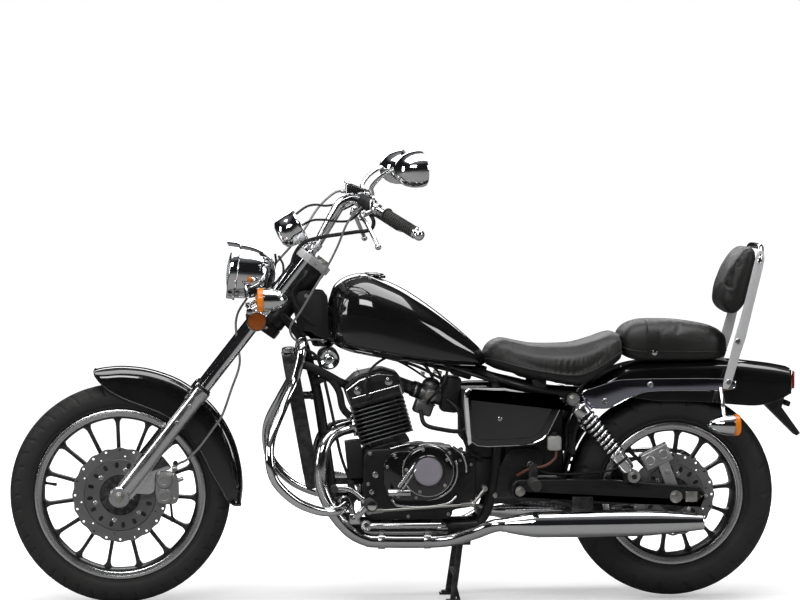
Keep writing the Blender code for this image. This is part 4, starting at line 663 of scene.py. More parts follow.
def wheel_finish(base: Finish, name: str, centre: Vector, spacing: float = 0.0011) -> Finish:
    """A copy of a metal finish with turning marks around an axle."""
    return Finish(
        name, base.colour, base.metallic, base.roughness, base.spread, base.coat, Pattern.TURNED,
        1.0 / spacing, 0.00003, base.dust, base.wear, base.bare, (centre.x, centre.z), base.specular,
    )


# Modelling by operators, as by hand


def rest() -> None:
    """Leaves edit mode and deselects every object."""
    if bpy.context.object is not None and bpy.context.object.mode != "OBJECT":
        bpy.ops.object.mode_set(mode="OBJECT")
    bpy.ops.object.select_all(action="DESELECT")


def pick(*objects: bpy.types.Object) -> bpy.types.Object:
    """Selects objects alone and makes the first active.

    Args:
        objects: the objects.

    Returns:
        The first of them.
    """
    rest()
    for obj in objects:
        obj.select_set(True)
    bpy.context.view_layer.objects.active = objects[0]
    return objects[0]


def settle(obj: bpy.types.Object) -> bpy.types.Object:
    """Puts an object's place into its mesh.

    Args:
        obj: the object.

    Returns:
        The object.
    """
    pick(obj)
    bpy.ops.object.transform_apply(location=True, rotation=True, scale=True)
    return obj


def edit(obj: bpy.types.Object, select: str = "SELECT") -> None:
    """Enters edit mode on one object with all or nothing selected.

    Args:
        obj: the mesh object.
        select: SELECT for all, or DESELECT for nothing and face mode.
    """
    pick(obj)
    bpy.ops.object.mode_set(mode="EDIT")
    bpy.ops.mesh.select_mode(type="FACE" if select == "DESELECT" else "VERT")
    bpy.ops.mesh.select_all(action=select)


def round_faces(
    obj: bpy.types.Object, chosen: Callable[[bmesh.types.BMFace], bool], by: float, segments: int = 2
) -> bpy.types.Object:
    """Bevels the border of the faces that a test chooses.

    Args:
        obj: the mesh object.
        chosen: a test on a bmesh face.
        by: the width of the bevel.
        segments: its number of steps.

    Returns:
        The object.
    """
    edit(obj, "DESELECT")
    work = bmesh.from_edit_mesh(obj.data)
    for face in work.faces:
        face.select_set(bool(chosen(face)))
    work.select_flush_mode()
    bmesh.update_edit_mesh(obj.data)
    bpy.ops.mesh.bevel(offset=by, segments=segments, affect="EDGES")
    rest()
    return obj


def block(
    size: Point, centre: Point, turn: Point = (0, 0, 0), round_by: float = 0.0, segments: int = 2
) -> bpy.types.Object:
    """A block at its size and place, its edges rounded.

    Args:
        size: its size along X, Y and Z.
        centre: its middle.
        turn: its turn in radians.
        round_by: the width of the bevel.
        segments: the bevel's number of steps.

    Returns:
        The new object.
    """
    rest()
    bpy.ops.mesh.primitive_cube_add(size=1, location=centre, rotation=turn, scale=size)
    obj = settle(bpy.context.object)
    if round_by:
        edit(obj)
        bpy.ops.mesh.bevel(offset=round_by, segments=segments, affect="EDGES")
        rest()
    return obj


def bar(
    start: Point, end: Point, radius: float, sides: int = 24, tip: float = 0.0, round_by: float = 0.0
) -> bpy.types.Object:
    """A round bar or cone between two points, its ends' edges rounded.

    Args:
        start: the middle of one end.
        end: the middle of the other.
        radius: the radius at the start.
        sides: the number of sides.
        tip: the radius at the end, where it differs.
        round_by: the width of the bevel at both ends.

    Returns:
        The new object.
    """
    start, end = Vector(start), Vector(end)
    along = end - start
    rest()
    bpy.ops.mesh.primitive_cone_add(
        vertices=sides, radius1=radius, radius2=tip or radius, depth=along.length, location=(start + end) / 2,
        rotation=along.to_track_quat("Z", "Y").to_euler(),
    )
    obj = settle(bpy.context.object)
    if round_by:
        round_faces(obj, lambda face: len(face.verts) > 4 or sides == 4, round_by)
    return obj


def bead(
    radius: float, centre: Point, scale: Point = (1, 1, 1), segments: int = 20, rings: int = 12
) -> bpy.types.Object:
    """A ball, flattened or stretched by its scale.

    Args:
        radius: its radius.
        centre: its middle.
        scale: its stretch along X, Y and Z.
        segments: its faces around.
        rings: its faces from pole to pole.

    Returns:
        The new object.
    """
    rest()
    bpy.ops.mesh.primitive_uv_sphere_add(
        segments=segments, ring_count=rings, radius=radius, location=centre, scale=scale
    )
    return settle(bpy.context.object)


def flow(points: Iterable[Point], steps: int = 6, closed: bool = False) -> list[Vector]:
    """A smooth line through points, by Catmull and Rom's rule.

    Args:
        points: the points.
        steps: the steps from one point to the next.
        closed: whether it closes.

    Returns:
        The points of the line.
    """
    line = [Vector(p) for p in points]
    if closed:
        padded = [line[-1]] + line + line[:2]
    else:
        padded = [2 * line[0] - line[1]] + line + [2 * line[-1] - line[-2]]
    made = []
    for a, b, c, d in zip(padded, padded[1:], padded[2:], padded[3:]):
        for step in range(steps):
            t = step / steps
            bend = (2 * a - 5 * b + 4 * c - d) * t * t + (3 * b - a - 3 * c + d) * t**3
            made.append((2 * b + (c - a) * t + bend) / 2)
    return made if closed else made + [line[-1]]


def lathe(profile: Sequence[Point], centre: Point, axis: Point, steps: int = 48) -> bpy.types.Object:
    """Spins a profile, drawn point by point, around an axis.

    Args:
        profile: radius and distance along the axis of each point.
        centre: where the distance is zero.
        axis: the direction of the axis.
        steps: the number of steps in the full turn.

    Returns:
        The new object, whose doubles are merged and whose faces point out.
    """
    centre, axis = Vector(centre), Vector(axis).normalized()
    aside = axis.orthogonal().normalized()
    line = [centre + aside * r + axis * h for r, h in profile]
    rest()
    bpy.ops.mesh.primitive_circle_add(vertices=3, radius=0.001, location=(0, 0, 0))
    obj = bpy.context.object
    bpy.ops.object.mode_set(mode="EDIT")
    bpy.ops.mesh.select_mode(type="VERT")
    bpy.ops.mesh.merge(type="CENTER")
    bpy.ops.transform.translate(value=line[0])
    for near, far in zip(line, line[1:]):
        bpy.ops.mesh.extrude_vertices_move(TRANSFORM_OT_translate={"value": far - near})
    bpy.ops.mesh.select_all(action="SELECT")
    bpy.ops.mesh.spin(steps=steps, angle=TURN, center=centre, axis=axis)
    bpy.ops.mesh.select_all(action="SELECT")
    bpy.ops.mesh.remove_doubles(threshold=MERGE_WITHIN)
    bpy.ops.mesh.normals_make_consistent(inside=False)
    rest()
    return obj


def pipe(points: Iterable[Point], radius: float, sides: int = 16, closed: bool = False) -> bpy.types.Object:
    """A round tube along a line, from a curve made a mesh.

    Args:
        points: the line's points.
        radius: the tube's radius.
        sides: its number of sides.
        closed: whether it closes, and has no end caps.

    Returns:
        The new object.
    """
    line = [Vector(p) for p in points]
    rest()
    bpy.ops.curve.primitive_bezier_curve_add()
    obj = bpy.context.object
    data = obj.data
    data.splines.clear()
    spline = data.splines.new("POLY")
    spline.points.add(len(line) - 1)
    for place, point in zip(spline.points, line):
        place.co = (*point, 1.0)
    spline.use_cyclic_u = closed
    data.bevel_depth = radius
    data.bevel_resolution = max(0, (sides - 4) // 2)
    data.use_fill_caps = not closed
    obj.location = (0, 0, 0)
    bpy.ops.object.convert(target="MESH")
    obj = settle(bpy.context.object)
    edit(obj)
    bpy.ops.mesh.remove_doubles(threshold=TUBE_MERGE_WITHIN)
    bpy.ops.mesh.normals_make_consistent(inside=False)
    rest()
    return obj


def slab(
    outline: Sequence[Point], low: float, high: float, round_by: float = 0.0, segments: int = 2
) -> bpy.types.Object:
    """A flat piece: an outline in the side view, extruded across, its rims rounded.

    Args:
        outline: X and Z of each corner.
        low: Y of one face.
        high: Y of the other.
        round_by: the width of the bevel around both faces.
        segments: its number of steps.

    Returns:
        The new object.
    """
    rest()
    bpy.ops.mesh.primitive_circle_add(vertices=len(outline), radius=1, fill_type="NGON", location=(0, 0, 0))
    obj = bpy.context.object
    for vertex, (x, z) in zip(obj.data.vertices, outline):
        vertex.co = (x, low, z)
    edit(obj)
    bpy.ops.mesh.extrude_region_move(TRANSFORM_OT_translate={"value": (0, high - low, 0)})
    bpy.ops.mesh.select_all(action="SELECT")
    bpy.ops.mesh.normals_make_consistent(inside=False)
    rest()
    if round_by:
        round_faces(obj, lambda face: abs(face.normal.y) > 0.99, round_by, segments)
    return obj


def wrap(rings: Sequence[Sequence[Point]], closed: bool = True, ends: bool = True) -> bpy.types.Object:
    """A skin over rings of points: a grid whose vertices are moved into place.

    Args:
        rings: the rings, each with the same number of points.
        closed: whether each ring closes on itself.
        ends: whether the first and last rings are filled.

    Returns:
        The new object.
    """
    rows = [list(ring) + ([ring[0]] if closed else []) for ring in rings]
    across = len(rows[0])
    rest()
    bpy.ops.mesh.primitive_grid_add(
        x_subdivisions=across - 1, y_subdivisions=len(rows) - 1, size=1, location=(0, 0, 0)
    )
    obj = bpy.context.object
    for index, vertex in enumerate(obj.data.vertices):
        vertex.co = rows[index // across][index % across]
    edit(obj)
    bpy.ops.mesh.remove_doubles(threshold=MERGE_WITHIN)
    if closed and ends:
        bpy.ops.mesh.select_all(action="DESELECT")
        bpy.ops.mesh.select_non_manifold(
            use_wire=False, use_multi_face=False, use_non_contiguous=False, use_verts=False
        )
        bpy.ops.mesh.fill_holes(sides=0)
        bpy.ops.mesh.select_all(action="SELECT")
    bpy.ops.mesh.normals_make_consistent(inside=False)
    rest()
    return obj


def fuse(pieces: Sequence[bpy.types.Object]) -> bpy.types.Object:
    """Joins objects into one mesh object.

    Args:
        pieces: the objects.

    Returns:
        The first object, with the others in it.
    """
    if len(pieces) > 1:
        pick(*pieces)
        bpy.ops.object.join()
    return pieces[0]


def modify(obj: bpy.types.Object, kind: str, **settings: object) -> bpy.types.Object:
    """Adds a modifier with settings and applies it.

    Args:
        obj: the object.
        kind: the modifier's type.
        settings: its settings.

    Returns:
        The object.
    """
    modifier = obj.modifiers.new(kind.title(), kind)
    for label, value in settings.items():
        setattr(modifier, label, value)
    pick(obj)
    bpy.ops.object.modifier_apply(modifier=modifier.name)
    return obj


def carve(obj: bpy.types.Object, cutters: Sequence[bpy.types.Object]) -> bpy.types.Object:
    """Cuts objects out of another by one Boolean modifier, and removes them.

    Args:
        obj: the object.
        cutters: the objects to cut out of it.

    Returns:
        The object.
    """
    cutter = fuse(list(cutters))
    modify(obj, "BOOLEAN", operation="DIFFERENCE", object=cutter, solver="EXACT", use_self=True)
    bpy.data.objects.remove(cutter)
    return obj


def twin(obj: bpy.types.Object, change: Matrix) -> bpy.types.Object:
    """A copy with its own mesh, moved by a matrix, whose faces still point out.

    Args:
        obj: the object.
        change: where its copy goes.

    Returns:
        The copy.
    """
    copy = obj.copy()
    copy.data = obj.data.copy()
    bpy.context.scene.collection.objects.link(copy)
    copy.data.transform(change)
    if change.determinant() < 0:
        copy.data.flip_normals()
    return copy


def mirrored(obj: bpy.types.Object) -> bpy.types.Object:
    """A copy on the other side of the middle plane."""
    return twin(obj, Matrix.Diagonal((1, -1, 1, 1)))


def both_sides(obj: bpy.types.Object) -> bpy.types.Object:
    """A piece joined with its mirrored copy."""
    return fuse([obj, mirrored(obj)])


def around(obj: bpy.types.Object, count: int, centre: Point, axis: Point = ACROSS) -> bpy.types.Object:
    """A piece repeated around an axis and joined.

    Args:
        obj: the piece.
        count: how many there are in the end.
        centre: a point of the axis.
        axis: the axis.

    Returns:
        The joined object.
    """
    centre = Vector(centre)
    there = Matrix.Translation(centre)
    back = Matrix.Translation(-centre)
    copies = [obj]
    for index in range(1, count):
        copies.append(twin(obj, there @ Matrix.Rotation(TURN * index / count, 4, Vector(axis)) @ back))
    return fuse(copies)


def circle(centre: Point, radius: float, count: int, start: float = 0.0) -> list[tuple[float, float]]:
    """Points of a circle in the side view.

    Args:
        centre: X and Z of the middle.
        radius: the radius.
        count: the number of points.
        start: the angle of the first.

    Returns:
        X and Z of each point.
    """
    return [
        (
            centre[0] + radius * math.cos(start + TURN * i / count),
            centre[1] + radius * math.sin(start + TURN * i / count),
        )
        for i in range(count)
    ]


def soften(outline: Sequence[Point], cut: float = 0.25, rounds: int = 2) -> list[tuple[float, float]]:
    """An outline whose corners are cut again and again, which rounds them.

    Args:
        outline: X and Z of each corner.
        cut: the share of a side cut at each end.
        rounds: how often it is done.

    Returns:
        X and Z of each corner of the rounded outline.
    """
    line = [(p[0], p[1]) for p in outline]
    for _ in range(rounds):
        made = []
        for (ax, az), (bx, bz) in zip(line, line[1:] + line[:1]):
            made.append((ax + (bx - ax) * cut, az + (bz - az) * cut))
            made.append((bx + (ax - bx) * cut, bz + (az - bz) * cut))
        line = made
    return line


def inset_outline(outline: Sequence[Point], by: float) -> list[tuple[float, float]]:
    """An outline moved inwards by a distance, corner by corner.

    Args:
        outline: X and Z of each corner.
        by: the distance.

    Returns:
        X and Z of each corner.
    """
    area = sum(a[0] * b[1] - b[0] * a[1] for a, b in zip(outline, list(outline[1:]) + [outline[0]]))
    turn = 1.0 if area > 0 else -1.0
    made = []
    count = len(outline)
    for index in range(count):
        before, here, after = (Vector(outline[(index + k) % count][:2]) for k in (-1, 0, 1))
        first, second = (here - before).normalized(), (after - here).normalized()
        inward = Vector((-(first.y + second.y), first.x + second.x)) * turn
        if inward.length < 1e-6:
            inward = Vector((-first.y, first.x)) * turn
        inward.normalize()
        side = Vector((-first.y, first.x)) * turn
        stretch = max(0.4, inward.dot(side))
        place = here + inward * (by / stretch)
        made.append((place.x, place.y))
    return made


def on_fork(along: float, behind: float = 0.0, across: float = 0.0) -> Vector:
    """A point of the fork.

    Args:
        along: its distance along the fork from the front axle.
        behind: its distance behind the fork's axis.
        across: its Y.

    Returns:
        The point.
    """
    return FRONT_AXLE + FORK_AXIS * along + FORK_REARWARD * behind + ACROSS * across


def fork_outline(points: Sequence[Point], centre: Vector) -> list[tuple[float, float]]:
    """Side-view points of a piece drawn by its distance behind and along the fork.

    Args:
        points: behind and along of each corner.
        centre: where both are zero.

    Returns:
        X and Z of each corner.
    """
    made = []
    for behind, along in points:
        place = centre + FORK_REARWARD * behind + FORK_AXIS * along
        made.append((place.x, place.z))
    return made


def hex_bolt(at: Point, axis: Point, radius: float, height: float) -> bpy.types.Object:
    """A six-sided bolt head on a washer, with a chamfered top.

    Args:
        at: the point under the washer.
        axis: the way out.
        radius: the head's radius.
        height: the height over all.

    Returns:
        The new object.
    """
    at, axis = Vector(at), Vector(axis).normalized()
    washer = bar(at, at + axis * height * 0.25, radius * 1.35, 20, round_by=height * 0.08)
    head = bar(at + axis * height * 0.2, at + axis * height, radius, 6, round_by=height * 0.18)
    return fuse([washer, head])


def socket_bolt(at: Point, axis: Point, radius: float, height: float) -> bpy.types.Object:
    """A round cap screw with a recess in its top.

    Args:
        at: the point under the head.
        axis: the way out.
        radius: the head's radius.
        height: the head's height.

    Returns:
        The new object.
    """
    profile = [
        (0.0, 0.0), (radius, 0.0), (radius, height * 0.85), (radius * 0.85, height), (radius * 0.55, height),
        (radius * 0.5, height * 0.45), (0.0, height * 0.45),
    ]
    return lathe(profile, at, axis, 20)


def deliver(
    piece: bpy.types.Object,
    name: str,
    body: Body,
    finish: Finish | Clear,
    stands_for: Sequence[str] = (),
    angle: float = 35.0,
    bends: tuple[Vector, Vector] | None = None,
) -> bpy.types.Object:
    """Names a finished piece, moves it to the frame's coordinates, dresses it and lets it ride, unless bends
    are given.

    Args:
        piece: the object, in the motorcycle's coordinates.
        name: its name.
        body: the body that it rides on.
        finish: its finish.
        stands_for: the CAD nodes that it replaces.
        angle: the angle in degrees up to which edges are shaded smooth.
        bends: for a piece that crosses the steering, which then rides on no body; its points are not used.

    Returns:
        The piece.
    """
    piece.location = (-ORIGIN_X, 0, 0)
    settle(piece)
    piece.name = name
    piece.data.name = name
    piece.data.materials.clear()
    piece.data.materials.append(finish.material())
    for polygon in piece.data.polygons:
        polygon.material_index = 0
    bpy.ops.object.shade_smooth_by_angle(angle=math.radians(angle))
    if bends is None:
        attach(piece, body.value)
    else:
        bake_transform(piece)
    if stands_for:
        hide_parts(*stands_for)
    LOG.info("%s: %d faces on %s, %s", name, len(piece.data.polygons), body.value, finish.name)
    return piece


def deliver_lead(
    line: Sequence[Vector],
    radius: float,
    name: str,
    body: Body,
    finish: Finish,
    stands_for: Sequence[str] = (),
    bends: tuple[Vector, Vector] | None = None,
) -> bpy.types.Object:
    """Makes a cable or hose along a line and delivers it.

    Args:
        line: the points that it follows, in the motorcycle's coordinates.
        radius: its radius.
        name: its name.
        body: the body that it rides on.
        finish: its finish.
        stands_for: the CAD nodes that it replaces.
        bends: as in deliver, for a cable that crosses the steering.

    Returns:
        The piece.
    """
    piece = deliver(pipe(line, radius, 16), name, body, finish, stands_for, 60.0, bends)
    return piece


def from_cad(node: str, thin: bool = True) -> bpy.types.Object:
    """A merged copy of a CAD node in the motorcycle's coordinates, free to be shaped.

    Args:
        node: the node's name.
        thin: whether flat faces are merged.

    Returns:
        The copy.
    """
    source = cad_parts[node]
    copy = source.copy()
    copy.data = source.data.copy()
    copy.parent = None
    copy.matrix_world = Matrix.Identity(4)
    bpy.context.scene.collection.objects.link(copy)
    copy.data.transform(Matrix.Translation((ORIGIN_X, 0, 0)))
    edit(copy)
    bpy.ops.mesh.remove_doubles(threshold=MERGE_WITHIN)
    if thin:
        bpy.ops.mesh.dissolve_limited(angle_limit=math.radians(1.0))
    rest()
    return copy


@dataclass
class Wheel:
    """A wheel: tyre, rim with its spokes and hub, and brake disc."""

    end: str
    body: Body
    axle: Vector
    tyre_radius: float
    tyre_half: float
    rim_radius: float
    rim_half: float
    spokes: int
    spoke_start: float
    disc_y: float
    disc_radius: float
    carrier_radius: float
    hub_hole: float
    sipes: int
    steps: int = 600

    def build(self) -> None:
        """Makes and dresses every piece of the wheel."""
        self.tyre()
        self.rim()
        self.spokes_and_hub()
        self.disc()
        self.valve()

    def tread_depth(self, angle: float, share: float) -> float:
        """How deep the tread is cut at a point of the crown.

        Args:
            angle: the angle around the wheel.
            share: the share of the half width, with its sign.

        Returns:
            The depth.
        """
        reach = abs(share)
        if reach > 0.985:
            return 0.0
        sweep = 0.55 * reach + (0.5 if share > 0 else 0.0)
        phase = (angle * self.sipes / TURN + sweep) % 1.0
        cut = 0.0
        if 0.28 < reach:
            cut = max(cut, 1.0 - abs(phase - 0.5) / 0.085)
        second = (angle * self.sipes / TURN - 0.9 * reach + 0.3) % 1.0
        if 0.1 < reach < 0.62:
            cut = max(cut, 1.0 - abs(second - 0.5) / 0.07)
        if abs(reach - 0.07) < 0.035:
            cut = max(cut, 1.0)
        return 0.0032 * min(1.0, max(0.0, cut * 2.0))

    def tyre(self) -> None:
        """The tyre: a grid around the wheel whose tread is cut into its crown."""
        wall = self.tyre_radius - self.rim_radius
        seat = (self.rim_half - 0.0045) / self.tyre_half
        half = [
            (-0.21, seat), (-0.02, seat), (0.025, seat + 0.02), (0.07, 0.5 * (seat + 0.93)),
            (0.1, 0.5 * (seat + 0.93) + 0.015), (0.13, 0.5 * (seat + 0.93) + 0.01), (0.22, 0.955),
            (0.36, 0.995), (0.5, 0.995), (0.62, 0.96), (0.74, 0.87), (0.85, 0.71), (0.93, 0.5), (0.98, 0.27),
            (1.0, 0.0),
        ]
        curve = flow([(t, w, 0) for t, w in half], 3)
        section = [(p.x, p.y) for p in curve] + [(p.x, -p.y) for p in reversed(curve[:-1])]
        rings = []
        for step in range(self.steps):
            angle = TURN * step / self.steps
            ring = []
            for t, w in section:
                reach, wide = self.rim_radius + wall * t, w * self.tyre_half
                if t > 0.52:
                    depth = self.tread_depth(angle, w)
                    reach -= depth * min(1.0, (t - 0.52) / 0.25)
                    wide -= math.copysign(depth * max(0.0, min(1.0, (0.9 - t) / 0.25)), wide)
                place = self.axle + Vector((reach * math.cos(angle), wide, reach * math.sin(angle)))
                ring.append(place)
            rings.append(ring)
        rings.append(rings[0])
        solid = wrap(rings, closed=False, ends=False)
        edit(solid, "DESELECT")
        bpy.ops.mesh.select_mode(type="EDGE")
        bpy.ops.mesh.select_non_manifold()
        bpy.ops.mesh.bridge_edge_loops()
        bpy.ops.mesh.select_all(action="SELECT")
        bpy.ops.mesh.normals_make_consistent(inside=False)
        rest()
        finish = Finish(
            f"{self.end} tyre rubber", (0.012, 0.012, 0.0118), 0.0, 0.58, 0.12, 0.0, Pattern.RIBBED, 210.0,
            0.00022, 0.07, centre=(self.axle.x, self.axle.z), specular=0.35,
        )
        deliver(solid, f"{self.end}_tyre_dressed", self.body, finish, [f"{self.end}_tyre"], 50.0)

    def rim(self) -> None:
        """The rim: a black barrel between two polished lips."""
        r, h = self.rim_radius, self.rim_half
        barrel = [
            (r - 0.017, h - 0.006), (r - 0.02, h - 0.002), (r - 0.0245, h - 0.008), (r - 0.0275, 0.016),
            (r - 0.028, -0.016), (r - 0.0245, -h + 0.008), (r - 0.02, -h + 0.002), (r - 0.017, -h + 0.006),
            (r - 0.0172, 0.0), (r - 0.017, h - 0.006),
        ]
        solid = lathe(barrel, self.axle, ACROSS, 128)
        dark = wheel_finish(CASE_BLACK, f"{self.end} rim black", self.axle, 0.004)
        deliver(solid, f"{self.end}_rim_barrel", self.body, dark, [f"{self.end}_rim"], 30.0)
        lip = [
            (r - 0.0172, h - 0.0045), (r - 0.0008, h - 0.0038), (r + 0.0002, h - 0.002), (r, h),
            (r - 0.0015, h + 0.001), (r - 0.006, h + 0.001), (r - 0.007, h - 0.0004), (r - 0.008, h - 0.0004),
            (r - 0.009, h + 0.0008), (r - 0.015, h + 0.0002), (r - 0.016, h - 0.0012),
            (r - 0.0172, h - 0.0012), (r - 0.0205, h - 0.003), (r - 0.02, h - 0.005),
            (r - 0.0172, h - 0.0045),
        ]
        solid = both_sides(lathe(lip, self.axle, ACROSS, 160))
        bright = wheel_finish(POLISHED, f"{self.end} rim lip", self.axle)
        deliver(solid, f"{self.end}_rim_lips", self.body, bright)

    def spokes_and_hub(self) -> None:
        """The spokes, drawn once and repeated, and the hub that they grow from."""
        inner, outer = 0.052, self.rim_radius - 0.0262
        half = [
            (inner, 0.009), (inner + 0.01, 0.0072), (inner + 0.03, 0.0058), (outer - 0.03, 0.005),
            (outer - 0.014, 0.006), (outer - 0.006, 0.0095), (outer, 0.017),
        ]
        outline = [(d, w) for d, w in half] + [(d, -w) for d, w in reversed(half)]
        spoke = slab(outline, -0.0125, 0.0125, 0.0016)
        groove = []
        for side in (-1, 1):
            face = side * 0.0125
            cut = [
                (inner + 0.028, 0.0026), (outer - 0.026, 0.002), (outer - 0.026, -0.002),
                (inner + 0.028, -0.0026),
            ]
            groove.append(slab(cut, face - 0.002, face + 0.002))
        carve(spoke, groove)
        spoke.data.transform(Matrix.Translation(self.axle) @ Matrix.Rotation(-self.spoke_start, 4, ACROSS))
        ring = around(spoke, self.spokes, self.axle)
        finish = Finish(
            f"{self.end} spoke grey", (0.035, 0.035, 0.036), 0.4, 0.33, 0.12, 0.1, dust=0.12, wear=0.3
        )
        deliver(ring, f"{self.end}_spokes", self.body, finish)
        side = -1 if self.disc_y < 0 else 1
        near = self.disc_y + 0.003 * -side
        if self.end == "front":
            profile = [
                (0.01, near), (0.081, near), (0.081, near + 0.007), (0.06, near + 0.014),
                (0.05, near + 0.024), (0.054, -0.016), (0.056, 0.014), (0.044, 0.026), (0.036, 0.044),
                (0.034, 0.049), (0.01, 0.05), (0.01, near),
            ]
        else:
            profile = [
                (0.01, near), (0.07, near), (0.07, near + 0.007), (0.052, near + 0.018), (0.05, near + 0.03),
                (0.055, -0.014), (0.055, 0.02), (0.048, 0.034), (0.06, 0.062), (0.062, 0.078),
                (0.059, 0.0826), (0.01, 0.0826), (0.01, near),
            ]
        hub = lathe(profile, self.axle, ACROSS, 64)
        deliver(hub, f"{self.end}_hub", self.body, CASE_BLACK)

    def disc(self) -> None:
        """The brake disc: a waved and drilled ring on a slotted carrier, with a thin black ring behind the
        carrier that paints shade into its slots.
        """
        x, z = self.axle.x, self.axle.z
        edge = []
        for index in range(240):
            angle = TURN * index / 240
            reach = self.disc_radius - 0.0034 * (1 - math.cos(20 * angle)) / 2
            edge.append((x + reach * math.cos(angle), z + reach * math.sin(angle)))
        inner = self.carrier_radius + 0.0012
        ring = slab(edge, self.disc_y - 0.0022, self.disc_y + 0.0022)
        cutters = [
            bar(
                self.axle + ACROSS * (self.disc_y - 0.01), self.axle + ACROSS * (self.disc_y + 0.01), inner,
                96,
            ),
        ]
        rows = ((self.disc_radius - 0.0085, 0.0034, 20, 0.0), (inner + 0.0085, 0.0024, 10, 0.18))
        for reach, size, count, start in rows:
            hole = bar(
                self.axle + Vector((reach * math.cos(start), self.disc_y - 0.01, reach * math.sin(start))),
                self.axle + Vector((reach * math.cos(start), self.disc_y + 0.01, reach * math.sin(start))),
                size, 12,
            )
            cutters.append(around(hole, count, self.axle))
        carve(ring, cutters)
        bright = wheel_finish(DISC_STEEL, f"{self.end} disc steel", self.axle, 0.0008)
        deliver(ring, f"{self.end}_disc_ring", self.body, bright, [f"{self.end}_disc"])
        carrier = slab(
            circle((x, z), self.carrier_radius, 96), self.disc_y - 0.0024, self.disc_y + 0.0024, 0.0006, 1
        )
        middle = 0.5 * (self.carrier_radius + self.hub_hole)
        slots = []
        for reach, long, wide, count, start in ((middle + 0.006, 0.0085, 0.0056, 16, 0.1),):
            line = soften([(-long, -wide), (long, -wide), (long, wide), (-long, wide)])
            slot_cut = slab(line, self.disc_y - 0.01, self.disc_y + 0.01)
            slot_cut.data.transform(
                Matrix.Translation(self.axle)
                @ Matrix.Rotation(-start, 4, ACROSS)
                @ Matrix.Translation((reach, 0, 0))
            )
            slots.append(around(slot_cut, count, self.axle))
        hole = bar(
            self.axle + ACROSS * (self.disc_y - 0.01), self.axle + ACROSS * (self.disc_y + 0.01),
            self.hub_hole, 64,
        )
        carve(carrier, [hole] + slots)
        grey = wheel_finish(CARRIER_ALLOY, f"{self.end} carrier alloy", self.axle, 0.0014)
        deliver(carrier, f"{self.end}_disc_carrier", self.body, grey)
        # Painted shade: a thin black ring just inboard of the carrier, so that its slots show dark.
        side = -1 if self.disc_y < 0 else 1
        back = self.disc_y - side * 0.0029
        profile = [
            (self.hub_hole, -0.0005), (inner + 0.0006, -0.0005), (inner + 0.0006, 0.0005),
            (self.hub_hole, 0.0005),
        ]
        shade = lathe(profile, self.axle + ACROSS * back, ACROSS, 96)
        deliver(shade, f"{self.end}_disc_slot_shade", self.body, CASE_BLACK)
        reach = middle - 0.007
        bolt = socket_bolt(
            self.axle + Vector((reach * math.cos(0.3), self.disc_y + side * 0.0022, reach * math.sin(0.3))),
            ACROSS * side, 0.0062, 0.0048,
        )
        deliver(around(bolt, 6, self.axle), f"{self.end}_disc_bolts", self.body, POLISHED)

    def valve(self) -> None:
        """The valve stem with its cap, on the barrel."""
        angle = math.radians(172)
        out = Vector((math.cos(angle), 0, math.sin(angle)))
        start = self.axle + out * (self.rim_radius - 0.026)
        profile = [
            (0.0, 0.0), (0.0055, 0.0), (0.004, 0.006), (0.004, 0.022), (0.0048, 0.023), (0.0048, 0.034),
            (0.0, 0.0355),
        ]
        stem = lathe(profile, start, -out + ACROSS * -0.15, 16)
        deliver(stem, f"{self.end}_valve", self.body, HOSE_RUBBER)


